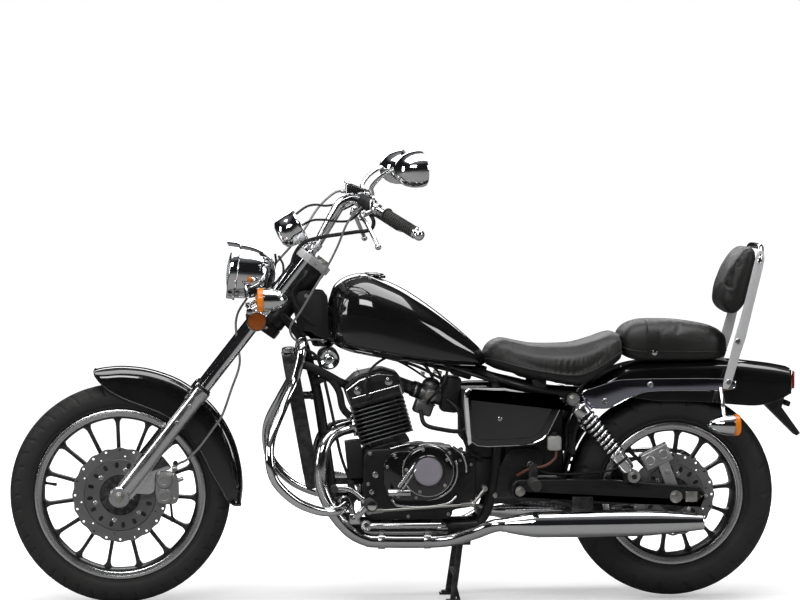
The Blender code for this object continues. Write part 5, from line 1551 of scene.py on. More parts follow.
@dataclass
class Fork:
    """The fork: stanchions, sliders, seals, axle, lugs and both yokes."""

    spread: float = 0.09
    stanchion: float = 0.0185
    slider: float = 0.0245
    slider_top: float = 0.389
    top_yoke: float = 0.874
    low_yoke: float = 0.64

    def build(self) -> None:
        """Makes and dresses every piece of the fork."""
        self.tubes()
        self.sliders()
        self.yokes()
        self.caliper()

    def tubes(self) -> None:
        """The plated inner tubes with their caps."""
        r = self.stanchion
        profile = [
            (0.0, self.top_yoke + 0.02), (0.006, self.top_yoke + 0.02), (0.007, self.top_yoke + 0.0185),
            (r - 0.0015, self.top_yoke + 0.0185), (r, self.top_yoke + 0.017), (r, self.slider_top - 0.01),
            (0.0, self.slider_top - 0.01),
        ]
        left = lathe(profile, FRONT_AXLE - ACROSS * self.spread, FORK_AXIS, 40)
        deliver(both_sides(left), "fork_tubes", Body.STEERING, CHROME, ["front_fork"])

    def sliders(self) -> None:
        """The polished lower legs with their seals, axle lugs, fender lugs and the axle."""
        r, top = self.slider, self.slider_top
        profile = [
            (self.stanchion + 0.0004, top), (r - 0.001, top), (r + 0.0018, top - 0.002),
            (r + 0.0022, top - 0.028), (r + 0.0005, top - 0.033), (r, top - 0.036), (r, 0.16),
            (r + 0.0012, 0.12), (r + 0.0012, 0.03), (r - 0.004, 0.004), (0.0, 0.0),
        ]
        start = FRONT_AXLE - ACROSS * self.spread
        leg = lathe(profile, start, FORK_AXIS, 48)
        lug = lathe(
            [(0.0, -0.024), (0.026, -0.024), (0.03, -0.02), (0.03, 0.02), (0.026, 0.024), (0.0, 0.024)],
            start, ACROSS, 40,
        )
        rear = slab(
            soften(
                fork_outline(
                    [(-0.004, 0.15), (0.02, 0.145), (0.032, 0.09), (0.034, 0.02), (0.02, -0.01), (0, 0)],
                    FRONT_AXLE,
                ),
            ),
            -self.spread - 0.01, -self.spread + 0.01, 0.003,
        )
        left = fuse([leg, lug, rear])
        deliver(both_sides(left), "fork_sliders", Body.STEERING, POLISHED)
        seal = lathe(
            [
                (self.stanchion + 0.0003, top + 0.008), (self.stanchion + 0.004, top + 0.008),
                (r - 0.002, top + 0.002), (r + 0.001, top + 0.0005), (r + 0.001, top - 0.003),
                (self.stanchion + 0.0003, top - 0.003),
            ],
            start, FORK_AXIS, 40,
        )
        deliver(both_sides(seal), "fork_seals", Body.STEERING, HOSE_RUBBER)
        pieces = [hex_bolt(start - ACROSS * 0.024, -ACROSS, 0.011, 0.012)]
        pieces.append(hex_bolt(FRONT_AXLE + ACROSS * (self.spread + 0.024), ACROSS, 0.011, 0.012))
        pieces.append(bar(FRONT_AXLE - ACROSS * 0.114, FRONT_AXLE + ACROSS * 0.114, 0.008, 24))
        for low, high in ((-0.07, -0.058), (0.0515, 0.07)):
            pieces.append(
                bar(FRONT_AXLE + ACROSS * low, FRONT_AXLE + ACROSS * high, 0.013, 24, round_by=0.001)
            )
        for side in (-1, 1):
            for along in (0.27, 0.33):
                at = on_fork(along, -0.001, side * (self.spread + self.slider - 0.0035))
                pieces.append(socket_bolt(at, ACROSS * side, 0.0062, 0.006))
            pieces.append(socket_bolt(on_fork(0.022, 0.03, side * self.spread), -FORK_AXIS, 0.0075, 0.006))
        deliver(fuse(pieces), "fork_hardware", Body.STEERING, STEEL)
        lugs = []
        for along in (0.27, 0.33):
            inner, outer = on_fork(along, 0.004, -0.06), on_fork(along, 0.004, -self.spread + 0.02)
            lugs.append(bar(inner, outer, 0.0095, 24, round_by=0.001))
        plate = slab(
            soften(
                fork_outline([(-0.012, 0.345), (0.016, 0.345), (0.016, 0.255), (-0.012, 0.255)], FRONT_AXLE)
            ),
            -0.0665, -0.0612, 0.001,
        )
        deliver(both_sides(fuse(lugs + [plate])), "fork_fender_lugs", Body.STEERING, POLISHED)

    def yokes(self) -> None:
        """The yokes with their pinch bolts, the stem and its nut."""
        for name, along, thick, rear in (
            ("lower", self.low_yoke, 0.03, 0.03), ("top", self.top_yoke, 0.024, 0.034)
        ):
            half = [
                (-0.029, 0.0), (-0.029, self.spread - 0.014), (-0.024, self.spread + 0.01),
                (-0.01, self.spread + 0.0265), (0.01, self.spread + 0.0265), (0.024, self.spread + 0.012),
                (0.03, self.spread - 0.004), (0.048 + rear * 0.7, 0.036), (0.048 + rear, 0.018),
            ]
            outline = half + [(d, -w) for d, w in reversed(half[1:])]
            rings = []
            for level, grow in (
                (-0.5, -0.003), (-0.42, -0.0006), (-0.36, 0.0), (0.36, 0.0), (0.42, -0.0006), (0.5, -0.003)
            ):
                line = inset_outline(outline, -grow)
                rings.append([on_fork(along + thick * level, d, w) for d, w in line])
            solid = wrap(rings)
            holes = [
                bar(
                    on_fork(along - 0.04, 0, s * self.spread), on_fork(along + 0.04, 0, s * self.spread),
                    self.stanchion + 0.0002, 40,
                )
                for s in (-1, 1)
            ]
            carve(solid, holes)
            finish = SATIN_SILVER if name == "top" else SATIN_PAINT
            deliver(
                solid, f"{name}_yoke", Body.STEERING, finish, ["yokes"] if name == "top" else []
            )
        stem = bar(on_fork(self.low_yoke, 0.048), on_fork(self.top_yoke, 0.048), 0.0142, 32)
        nut = hex_bolt(on_fork(self.top_yoke + 0.012, 0.048), FORK_AXIS, 0.019, 0.012)
        pieces = [stem, nut]
        for side in (-1, 1):
            for along, size in ((self.top_yoke, 0.0062), (self.low_yoke, 0.0062)):
                at = on_fork(along, 0.024, side * (self.spread - 0.012))
                pieces.append(socket_bolt(at, FORK_REARWARD, size, 0.014))
            pieces.append(
                hex_bolt(on_fork(self.top_yoke + 0.012, 0.048, side * 0.052), FORK_AXIS, 0.007, 0.006)
            )
        deliver(fuse(pieces), "yoke_hardware", Body.STEERING, STEEL)

    def caliper(self) -> None:
        """The two-piston caliper, its lug on the leg, bleed nipple and pads."""
        x, z = 0.136, 0.34
        front = [
            (x - 0.034, z - 0.046), (x - 0.034, z + 0.044), (x - 0.016, z + 0.048), (x + 0.02, z + 0.044),
            (x + 0.033, z + 0.022), (x + 0.034, z - 0.03), (x + 0.022, z - 0.047),
        ]
        outer = slab(soften(front, 0.2), -0.0855, -0.0575, 0.004)
        bridge = slab(
            soften(
                [(x, z - 0.044), (x + 0.006, z + 0.043), (x + 0.031, z + 0.03), (x + 0.032, z - 0.036)], 0.2
            ),
            -0.0585, -0.0455, 0.002,
        )
        inner = slab(soften(front, 0.2), -0.048, -0.0365, 0.003)
        pistons = []
        for dz in (-0.023, 0.023):
            profile = [
                (0.0, 0.0), (0.0225, 0.0), (0.0225, 0.006), (0.0205, 0.0085), (0.012, 0.0092), (0.011, 0.008),
                (0.0, 0.008),
            ]
            pistons.append(lathe(profile, (x - 0.008, -0.085, z + dz), -ACROSS, 32))
        web = slab(
            soften(
                [
                    (0.022, 0.326), (0.1, 0.322), (0.103, 0.388), (0.14, 0.392), (0.15, 0.4), (0.118, 0.44),
                    (0.058, 0.398),
                ],
                0.16,
            ),
            -0.0825, -0.0735, 0.002,
        )
        deliver(
            fuse([outer, bridge, inner] + pistons), "front_caliper_body", Body.STEERING, CAST_ALLOY,
            ["front_caliper"],
        )
        deliver(web, "front_caliper_lug", Body.STEERING, POLISHED)
        bolts = [
            hex_bolt((x - 0.022, -0.0855, z + 0.04), -ACROSS, 0.0065, 0.008),
            hex_bolt((x + 0.02, -0.0855, z + 0.036), -ACROSS, 0.006, 0.007),
            hex_bolt((x + 0.022, -0.0855, z - 0.034), -ACROSS, 0.006, 0.007),
            bar((x + 0.018, -0.07, z + 0.044), (x + 0.024, -0.07, z + 0.066), 0.0045, 16, round_by=0.0008),
            bar((x + 0.026, -0.074, z + 0.02), (x + 0.046, -0.076, z + 0.028), 0.006, 16, round_by=0.0008),
        ]
        deliver(fuse(bolts), "front_caliper_bolts", Body.STEERING, STEEL)
        pads = [block((0.06, 0.0035, 0.058), (x - 0.004, y, z), round_by=0.001) for y in (-0.0565, -0.0492)]
        sensor = [
            bar((x + 0.01, -0.066, z - 0.045), (x + 0.014, -0.066, z - 0.086), 0.0036, 12),
            bead(0.008, (x + 0.015, -0.066, z - 0.092), (1.0, 0.7, 1.0)),
            bead(0.0075, (x + 0.024, -0.07, z + 0.07), (1.0, 0.8, 1.2)),
        ]
        deliver(fuse(pads + sensor), "front_caliper_rubbers", Body.STEERING, HOSE_RUBBER)


def fender_rows(
    stations: Sequence[tuple[Vector, Vector, float, float, float]], rise: int = 4
) -> list[list[Vector]]:
    """Rows of points over a mudguard.

    Args:
        stations: crown point, inward direction, half width, skirt depth and shoulder radius of each.
        rise: steps between stations.

    Returns:
        One row of points across the mudguard for each step along it.
    """
    columns = []
    for crown, inward, half, depth, shoulder in stations:
        r = min(shoulder, depth * 0.8)
        section = [(-half, depth), (-half, depth * 0.75 + r * 0.25), (-half, depth * 0.4 + r * 0.6)]
        for step in range(7):
            angle = QUARTER * step / 6
            section.append((-half + r - r * math.cos(angle), r - r * math.sin(angle)))
        section.append((-(half - r) * 0.5, -0.0006))
        section += [(0.0, -0.001)]
        section += [(-y, d) for y, d in reversed(section[:-1])]
        columns.append([crown + inward * d + ACROSS * y for y, d in section])
    lines = [flow([row[i] for row in columns], rise) for i in range(len(columns[0]))]
    return [[line[j] for line in lines] for j in range(len(lines[0]))]


def shell(rows: Sequence[Sequence[Vector]], thickness: float) -> bpy.types.Object:
    """A sheet over rows of points, facing out, with its thickness inwards.

    Args:
        rows: the rows of points.
        thickness: its thickness.

    Returns:
        The new object.
    """
    sheet = wrap(rows, closed=False, ends=False)
    middle = sum((v.co for v in sheet.data.vertices), Vector()) / len(sheet.data.vertices)
    facing = sum((p.normal.dot(p.center - middle) for p in sheet.data.polygons), 0.0)
    if facing < 0:
        sheet.data.flip_normals()
    modify(sheet, "SOLIDIFY", thickness=thickness, offset=-1.0, use_even_offset=True)
    return sheet


@dataclass
class FrontFender:
    """The deep front mudguard with its rolled edge."""

    radius: float = 0.366
    half: float = 0.06

    def build(self) -> None:
        """Makes and dresses the mudguard."""
        stations = []
        for degrees, depth, grow in (
            (101.5, 0.012, -0.001), (100, 0.032, 0.0), (96, 0.062, 0.001), (88, 0.088, 0.002),
            (76, 0.103, 0.003), (62, 0.106, 0.004), (48, 0.104, 0.002), (36, 0.101, 0.0), (24, 0.097, -0.004),
            (12, 0.084, -0.009), (3, 0.062, -0.012), (-3, 0.042, -0.0155), (-5.5, 0.02, -0.017),
        ):
            angle = math.radians(degrees)
            out = Vector((math.cos(angle), 0, math.sin(angle)))
            stations.append((FRONT_AXLE + out * (self.radius + grow), -out, self.half, depth, 0.034))
        rows = fender_rows(stations)
        skin = shell(rows, 0.0024)
        deliver(
            skin, "front_fender_skin", Body.STEERING, GLOSS_PAINT, ["front_fender"], 60.0
        )
        edge = (
            [row[0] for row in rows]
            + list(rows[-1])[1:-1]
            + [row[-1] for row in reversed(rows)]
            + list(reversed(rows[0]))[1:-1]
        )
        hem = pipe(edge, 0.0022, 8, closed=True)
        deliver(hem, "front_fender_hem", Body.STEERING, GLOSS_PAINT, angle=80.0)


def oval(
    x: float, half: float, low: float, high: float, upper: float, lower: float, count: int = 64
) -> list[Vector]:
    """A closed cross-section at one X, rounder or squarer by the powers of its two halves.

    Args:
        x: its X.
        half: its half width.
        low: its lowest Z.
        high: its highest Z.
        upper: the power of the upper half.
        lower: the power of the lower half.
        count: the number of points.

    Returns:
        The points of the section.
    """
    middle, tall = (low + high) / 2, (high - low) / 2
    ring = []
    for index in range(count):
        angle = TURN * index / count
        across, rise = math.cos(angle), math.sin(angle)
        power = upper if rise >= 0 else lower
        y = half * math.copysign(abs(across) ** (2 / power), across)
        ring.append(Vector((x, y, middle + tall * math.copysign(abs(rise) ** (2 / power), rise))))
    return ring


def hull(
    sections: Sequence[Point], upper: float, lower: float,
    steps: int = 4, count: int = 64, nose: float = 0.004,
) -> bpy.types.Object:
    """A smooth body through cross-sections, with rounded ends.

    Args:
        sections: X, half width, lowest and highest point of each station.
        upper: the power of the sections' upper half.
        lower: the power of their lower half.
        steps: the rings between two stations.
        count: the points of a ring.
        nose: how far the ends bulge out.

    Returns:
        The new object.
    """
    line = flow([Vector(section) for section in sections], steps)
    rings = [oval(*place, upper, lower, count) for place in line]
    for end, way in ((0, -1), (-1, 1)):
        ring = rings[end]
        middle = sum(ring, Vector()) / len(ring)
        for share, reach in ((0.92, 0.35), (0.72, 0.75), (0.4, 0.96), (0.12, 1.0)):
            small = [middle + (place - middle) * share + Vector((way * nose * reach, 0, 0)) for place in ring]
            if end == 0:
                rings.insert(0, small)
            else:
                rings.append(small)
    return wrap(rings)


def trim_line(outline: Sequence[Point], y: float, radius: float, sides: int = 8) -> bpy.types.Object:
    """A thin round trim that follows an outline in the side view.

    Args:
        outline: X and Z of each corner.
        y: its Y.
        radius: its radius.
        sides: its number of sides.

    Returns:
        The new object.
    """
    return pipe([(x, y, z) for x, z in outline], radius, sides, closed=True)


@dataclass
class Tank:
    """The teardrop tank, its filler cap and the rubber at its rear mount."""

    sections: tuple[Point, ...] = (
        (0.607, 0.045, 0.775, 0.885), (0.622, 0.082, 0.748, 0.922), (0.66, 0.116, 0.73, 0.947),
        (0.71, 0.134, 0.719, 0.954), (0.765, 0.138, 0.709, 0.936), (0.83, 0.13, 0.7, 0.905),
        (0.9, 0.111, 0.692, 0.858), (0.97, 0.084, 0.686, 0.803), (1.03, 0.056, 0.684, 0.75),
        (1.055, 0.036, 0.688, 0.724),
    )
    roof: tuple[Point, ...] = (
        (0.55, 0.6), (1.1, 0.6), (1.1, 0.682), (0.95, 0.7285), (0.76, 0.7985), (0.6, 0.862), (0.55, 0.89)
    )

    def build(self) -> None:
        """Makes and dresses the tank."""
        body = hull(self.sections, 2.3, 4.5, 5, 72, 0.005)
        carve(body, [slab(self.roof, -0.032, 0.032)])
        deliver(body, "tank_skin", Body.CHASSIS, GLOSS_PAINT, ["fuel_tank"], 60.0)
        axis = Vector((0.002, 0, 0.032)).normalized()
        cap = lathe(
            [
                (0.0, -0.004), (0.0345, -0.004), (0.035, 0.0), (0.034, 0.003), (0.03, 0.0045),
                (0.0298, 0.0065), (0.0285, 0.008), (0.024, 0.0088), (0.015, 0.0084), (0.0, 0.0082),
            ],
            Vector((0.7355, 0, 0.9465)), axis, 64,
        )
        flap = block((0.022, 0.012, 0.0026), (0.7361, 0, 0.9554), round_by=0.001)
        deliver(fuse([cap, flap]), "tank_cap", Body.CHASSIS, GLOSS_PAINT)
        seam = []
        for side in (-1, 1):
            line = []
            for x, half, low, high in self.sections[1:-1]:
                line.append((x, side * half * 0.945, low + (high - low) * 0.055))
            seam.append(pipe(flow(line, 6), 0.0016, 8))
        deliver(fuse(seam), "tank_seam", Body.CHASSIS, GLOSS_PAINT)


@dataclass
class NeckCover:
    """The black panels on both sides of the steering head."""

    outline: tuple[Point, ...] = (
        (0.521, 0.908), (0.6, 0.905), (0.603, 0.79), (0.62, 0.745), (0.556, 0.745), (0.55, 0.774),
        (0.52, 0.778), (0.496, 0.876),
    )

    def build(self) -> None:
        """Makes and dresses the panels."""
        line = soften(self.outline, 0.14, 2)
        panel = slab(line, -0.0542, -0.05, 0.0014)
        raised = slab(inset_outline(line, 0.013), -0.0556, -0.053, 0.0012)
        bridge = block((0.016, 0.104, 0.006), (0.585, 0, 0.897), round_by=0.0015)
        both = both_sides(fuse([panel, raised]))
        deliver(fuse([both, bridge]), "neck_panels", Body.CHASSIS, MOULDED, ["neck_cover"])
        bolts = [
            socket_bolt((x, -0.0542, z), -ACROSS, 0.0055, 0.0035)
            for x, z in ((0.538, 0.892), (0.586, 0.761))
        ]
        deliver(both_sides(fuse(bolts)), "neck_panel_bolts", Body.CHASSIS, STEEL)


@dataclass
class Seats:
    """The rider's seat, the pillion's seat, the strap between them and the backrest's pad."""

    rider: tuple[Point, ...] = (
        (1.0575, 0.056, 0.692, 0.738), (1.076, 0.086, 0.682, 0.757), (1.106, 0.106, 0.67, 0.763),
        (1.15, 0.126, 0.656, 0.754), (1.2, 0.142, 0.645, 0.745), (1.27, 0.156, 0.63, 0.744),
        (1.32, 0.158, 0.626, 0.748), (1.37, 0.15, 0.645, 0.762), (1.42, 0.135, 0.682, 0.78),
        (1.448, 0.116, 0.705, 0.782),
    )
    room: tuple[Point, ...] = (
        (1.03, 0.5), (1.5, 0.5), (1.5, 0.716), (1.46, 0.702), (1.4, 0.68), (1.33, 0.668), (1.26, 0.65),
        (1.16, 0.65), (1.135, 0.668), (1.03, 0.686),
    )
    pillion: tuple[Point, ...] = (
        (1.453, 0.086, 0.722, 0.795), (1.472, 0.105, 0.709, 0.81), (1.515, 0.113, 0.7003, 0.818),
        (1.6, 0.112, 0.7003, 0.817), (1.68, 0.102, 0.7003, 0.81), (1.73, 0.088, 0.703, 0.798),
        (1.76, 0.064, 0.712, 0.778),
    )
    pad: tuple[Point, ...] = (
        (1.816, 1.041), (1.848, 1.021), (1.822, 0.885), (1.786, 0.833), (1.756, 0.838), (1.732, 0.872),
        (1.776, 0.99),
    )

    def build(self) -> None:
        """Makes and dresses the seats."""
        self.rider_seat()
        self.pillion_seat()
        self.backrest()

    def swell(self, obj: bpy.types.Object, hold: Callable[[Vector], float], seed: int) -> bpy.types.Object:
        """Blows a cover up over its foam, as cloth held where it is fixed.

        Args:
            obj: the cover, a little smaller than the finished cushion.
            hold: how firmly a point is held, from 0 to 1.
            seed: the seed of the small unevenness of the cover.

        Returns:
            The cushion.
        """
        modify(obj, "REMESH", mode="VOXEL", voxel_size=FOAM_VOXEL, use_smooth_shade=True)
        before = [vertex.co.copy() for vertex in obj.data.vertices]
        noise = random.Random(seed)
        group = obj.vertex_groups.new(name="held")
        for vertex in obj.data.vertices:
            group.add([vertex.index], min(1.0, hold(vertex.co)), "REPLACE")
            vertex.co += vertex.normal * noise.uniform(-0.0002, 0.0002)
        pick(obj)
        bpy.ops.object.modifier_add(type="CLOTH")
        cloth = obj.modifiers[-1]
        cloth.settings.quality = 4
        cloth.settings.mass = 0.3
        cloth.settings.tension_stiffness = 30
        cloth.settings.compression_stiffness = 30
        cloth.settings.bending_stiffness = 0.8
        cloth.settings.vertex_group_mass = "held"
        cloth.settings.use_pressure = True
        cloth.settings.uniform_pressure_force = 4.0
        cloth.settings.effector_weights.gravity = 0.0
        cloth.collision_settings.use_collision = False
        cloth.point_cache.frame_start, cloth.point_cache.frame_end = 1, CLOTH_FRAMES
        scene = bpy.context.scene
        for step in range(1, CLOTH_FRAMES + 1):
            scene.frame_set(step)
        bpy.ops.object.modifier_apply(modifier=cloth.name)
        scene.frame_set(1)
        for vertex, old in zip(obj.data.vertices, before):
            move = vertex.co - old
            if move.length > SWELL_LIMIT:
                vertex.co = old + move * (SWELL_LIMIT / move.length)
        obj.vertex_groups.clear()
        return obj

    def rider_seat(self) -> None:
        """The rider's seat: a skirt, the padded top with its pleats, and the welts."""
        smaller = [(x, half - 0.003, low, high - 0.003) for x, half, low, high in self.rider]
        body = hull(smaller, 3.0, 3.6, 5, 72, 0.003)
        carve(body, [slab(self.room, -0.1192, 0.1192)])
        self.swell(body, lambda co: 1.0 if co.z < self.skirt(co.x) else 0.0, 3)
        self.pleat(body)
        modify(body, "SUBSURF", levels=1, render_levels=1)
        deliver(body, "rider_seat_cover", Body.CHASSIS, LEATHER, ["rider_seat"], 60.0)
        self.welt("rider_seat_welt", self.rider, 3.0, 3.6, 0.34)

    def skirt(self, x: float) -> float:
        """The height under which the rider's cover is pulled tight.

        Args:
            x: the X.

        Returns:
            The height.
        """
        for first, second in zip(self.rider, self.rider[1:]):
            if first[0] <= x <= second[0]:
                share = (x - first[0]) / (second[0] - first[0])
                low = first[2] + (second[2] - first[2]) * share
                high = first[3] + (second[3] - first[3]) * share
                return low + (high - low) * 0.3
        return 0.7

    def pleat(self, obj: bpy.types.Object) -> None:
        """Gathers the leather in short folds where the seat climbs to the pillion's.

        Args:
            obj: the cover.
        """
        for vertex in obj.data.vertices:
            x, y = vertex.co[:2]
            if 1.08 < x < 1.452 and abs(y) > 0.06:
                lean = (vertex.normal.z - 0.28) / 0.34
                deep = 0.001 + 0.0014 * min(1.0, max(0.0, (x - 1.2) / 0.15))
                fade = math.exp(-lean * lean) * min(1.0, (x - 1.08) / 0.04) * min(1.0, (abs(y) - 0.06) / 0.02)
                phase = (x - 1.08) / 0.0135 + 0.35 * math.sin(abs(y) * 90) + 0.7 * math.sin(x * 37)
                uneven = 0.75 + 0.25 * math.sin(x * 171)
                vertex.co += vertex.normal * (
                    deep * fade * uneven * math.cos(TURN * phase) - 0.4 * deep * fade
                )

    def welt(self, name: str, sections: Sequence[Point], upper: float, lower: float, share: float) -> None:
        """A piped seam around a seat at a share of its height.

        Args:
            name: its name.
            sections: the seat's stations.
            upper: the power of their upper half.
            lower: the power of their lower half.
            share: the share of the height.
        """
        line = []
        for x, half, low, high in flow([Vector(s) for s in sections], 6):
            rise = (share - 0.5) * 2
            power = upper if rise >= 0 else lower
            wide = half * (1 - abs(rise) ** power) ** (1 / power)
            line.append((x, -wide - 0.0003, low + (high - low) * share))
        left = pipe(line, 0.002, 8)
        deliver(both_sides(left), name, Body.CHASSIS, LEATHER)

    def pillion_seat(self) -> None:
        """The pillion's seat with its strap, button and seam."""
        smaller = [(x, half - 0.003, low, high - 0.003) for x, half, low, high in self.pillion]
        body = hull(smaller, 3.0, 6.0, 5, 72, 0.003)
        self.swell(body, lambda co: 1.0 if co.z < 0.722 else 0.0, 4)
        for vertex in body.data.vertices:
            vertex.co.z = max(vertex.co.z, 0.7004)
        modify(body, "SUBSURF", levels=1, render_levels=1)
        deliver(body, "pillion_seat_cover", Body.CHASSIS, LEATHER, ["pillion_seat"], 60.0)
        self.welt("pillion_seat_welt", self.pillion, 3.0, 6.0, 0.26)
        x = 1.54
        ring = oval(x, 0.1146, 0.7003, 0.818, 3.0, 6.0, 96)
        over = [place for place in ring if place.z > 0.716]
        over.sort(key=lambda place: math.atan2(place.z - 0.74, place.y))
        rows = []
        for dx, lift in (
            (-0.016, -0.0012), (-0.0155, 0.0012), (0.0, 0.0018), (0.0155, 0.0012), (0.016, -0.0012)
        ):
            row = []
            for place in over:
                out = Vector((0, place.y, place.z - 0.76)).normalized()
                row.append(place + Vector((dx, 0, 0)) + out * lift)
            rows.append(row)
        strap = wrap(rows, closed=False, ends=False)
        modify(strap, "SOLIDIFY", thickness=0.0016, offset=0.0)
        deliver(strap, "seat_strap", Body.CHASSIS, LEATHER, angle=60.0)
        buttons = []
        for side in (-1, 1):
            at = Vector((1.542, side * 0.1136, 0.728))
            buttons.append(
                lathe(
                    [(0.0, 0.0), (0.0085, 0.0), (0.008, 0.0028), (0.0045, 0.0042), (0.0, 0.0046)], at,
                    ACROSS * side, 24,
                ),
            )
        deliver(fuse(buttons), "seat_strap_buttons", Body.CHASSIS, CHROME)

    def backrest(self) -> None:
        """The backrest's pad: thick at the foot and leaning back, with a welt around its front."""
        line = [(x, z) for x, z in self.pad]
        middle = Vector((sum(p[0] for p in line) / len(line), sum(p[1] for p in line) / len(line)))
        outline = soften(line, 0.25, 3)
        rings = []
        for y, share in (
            (-0.1095, 0.55), (-0.1085, 0.74), (-0.103, 0.88), (-0.093, 0.955), (-0.07, 0.985),
            (-0.035, 0.995), (0.0, 0.998),
        ):
            rings.append([
                Vector((middle.x + (x - middle.x) * share, y, middle.y + (z - middle.y) * share))
                for x, z in outline
            ])
        rings += [[Vector((p.x, -p.y, p.z)) for p in ring] for ring in reversed(rings[:-1])]
        body = wrap(rings)
        self.swell(body, lambda co: 1.0 if co.x - 1.7905 - (co.z - 0.938) * 0.296 > 0.022 else 0.0, 5)
        modify(body, "SUBSURF", levels=1, render_levels=1)
        deliver(body, "backrest_cover", Body.CHASSIS, LEATHER, ["backrest_pad"], 60.0)


@dataclass
class SideCovers:
    """The side covers with their bright edging, and the airbox between them."""

    outline: tuple[Point, ...] = (
        (0.985, 0.612), (1.004, 0.63), (1.108, 0.63), (1.268, 0.594), (1.276, 0.584), (1.216, 0.464),
        (0.999, 0.457),
    )

    def build(self) -> None:
        """Makes and dresses the covers."""
        line = soften(self.outline, 0.16, 2)
        inner = inset_outline(line, 0.0022)
        cover = slab(inner, -0.129, -0.118, 0.003, 3)
        panel = slab(inset_outline(line, 0.02), -0.1304, -0.127, 0.003, 3)
        boss = bar((1.092, -0.0765, 0.54), (1.092, -0.12, 0.54), 0.008, 20)
        both = both_sides(fuse([cover, panel, boss]))
        deliver(
            both, "side_cover_skins", Body.CHASSIS, GLOSS_PAINT,
            ["side_cover_left", "side_cover_right"],
        )
        edging = both_sides(trim_line(inset_outline(line, 0.0016), -0.1272, 0.0024))
        deliver(edging, "side_cover_edging", Body.CHASSIS, CHROME)
        front = slab(
            [(0.9885, 0.608), (1.0, 0.604), (1.0105, 0.47), (1.001, 0.463)], -0.1302, -0.128, 0.0006, 1
        )
        top = slab(
            [
                (1.005, 0.6275), (1.108, 0.6275), (1.262, 0.5935), (1.26, 0.59), (1.1075, 0.6215),
                (1.008, 0.621),
            ],
            -0.1302, -0.128, 0.0005, 1,
        )
        deliver(both_sides(fuse([front, top])), "side_cover_strips", Body.CHASSIS, SATIN_SILVER)
        bolts = [socket_bolt((1.092, -0.1304, 0.54), -ACROSS, 0.0062, 0.0036)]
        deliver(both_sides(fuse(bolts)), "side_cover_bolts", Body.CHASSIS, CHROME)
        box = block((0.09, 0.15, 0.15), (1.031, 0, 0.545), round_by=0.009, segments=3)
        ribs = [
            block((0.076, 0.1512, 0.003), (1.031, 0, z), round_by=0.0007)
            for z in (0.5, 0.52, 0.54, 0.56, 0.58)
        ]
        deliver(fuse([box] + ribs), "airbox_shell", Body.CHASSIS, MOULDED, ["airbox"])


@dataclass
class RearFender:
    """The rear mudguard with its rolled edge, end plate and shelf."""

    table: tuple[Point, ...] = (
        ((1.282, 0.44), (1.0, -0.3), 0.034), ((1.288, 0.52), (1.0, -0.6), 0.04),
        ((1.325, 0.596), (0.75, -0.9), 0.05), ((1.395, 0.655), (0.4, -1.0), 0.062),
        ((1.47, 0.689), (0.15, -1.0), 0.094), ((1.56, 0.699), (0.0, -1.0), 0.112),
        ((1.68, 0.7), (0.0, -1.0), 0.116), ((1.78, 0.699), (0.0, -1.0), 0.124),
        ((1.85, 0.692), (0.0, -1.0), 0.12), ((1.905, 0.685), (0.0, -1.0), 0.1),
        ((1.948, 0.677), (0.0, -1.0), 0.07),
    )

    def build(self) -> None:
        """Makes and dresses the mudguard."""
        stations = []
        for (x, z), (dx, dz), depth in self.table:
            stations.append((Vector((x, 0, z)), Vector((dx, 0, dz)).normalized(), 0.084, depth, 0.036))
        rows = fender_rows(stations, 5)
        skin = shell(rows, 0.0026)
        plate = block((0.004, 0.162, 0.066), (1.946, 0, 0.6405), round_by=0.001)
        shelf = block((0.048, 0.1, 0.006), (1.924, 0, 0.6105), round_by=0.001)
        deliver(
            fuse([skin, plate, shelf]), "rear_fender_skin", Body.CHASSIS, GLOSS_PAINT,
            ["rear_fender"], 60.0,
        )
        hems = [pipe([row[0] + Vector((0, 0.0012, 0)) for row in rows], 0.002, 8)]
        deliver(both_sides(fuse(hems)), "rear_fender_hem", Body.CHASSIS, GLOSS_PAINT)


def bullet(flat: Vector, way: int, length: float, radius: float) -> tuple[bpy.types.Object, bpy.types.Object]:
    """A bullet indicator: its chromed shell and the lens at its flat end.

    Args:
        flat: the middle of the flat end.
        way: the side that the flat end looks to along X.
        length: the length of the shell.
        radius: its radius.

    Returns:
        The shell and the lens.
    """
    axis = Vector((way, 0, 0))
    profile = [
        (0.0, -0.0165), (radius * 0.985, -0.0165), (radius, -0.018), (radius * 1.0, -0.22 * length),
        (radius * 0.98, -0.35 * length), (radius * 0.88, -0.56 * length), (radius * 0.68, -0.76 * length),
        (radius * 0.4, -0.92 * length), (radius * 0.16, -0.985 * length), (0.0, -length),
    ]
    ring = lathe(
        [
            (radius * 0.99, -0.0168), (radius * 1.02, -0.0175), (radius * 1.02, -0.02),
            (radius * 0.99, -0.0208),
        ],
        flat, axis, 48,
    )
    body = fuse([lathe(profile, flat, axis, 48), ring])
    dome = [
        (0.0, 0.003), (radius * 0.5, 0.0024), (radius * 0.84, 0.0006), (radius * 0.97, -0.0022),
        (radius * 1.005, -0.007), (radius * 1.005, -0.016), (0.0, -0.0162),
    ]
    return body, lathe(dome, flat, axis, 48)


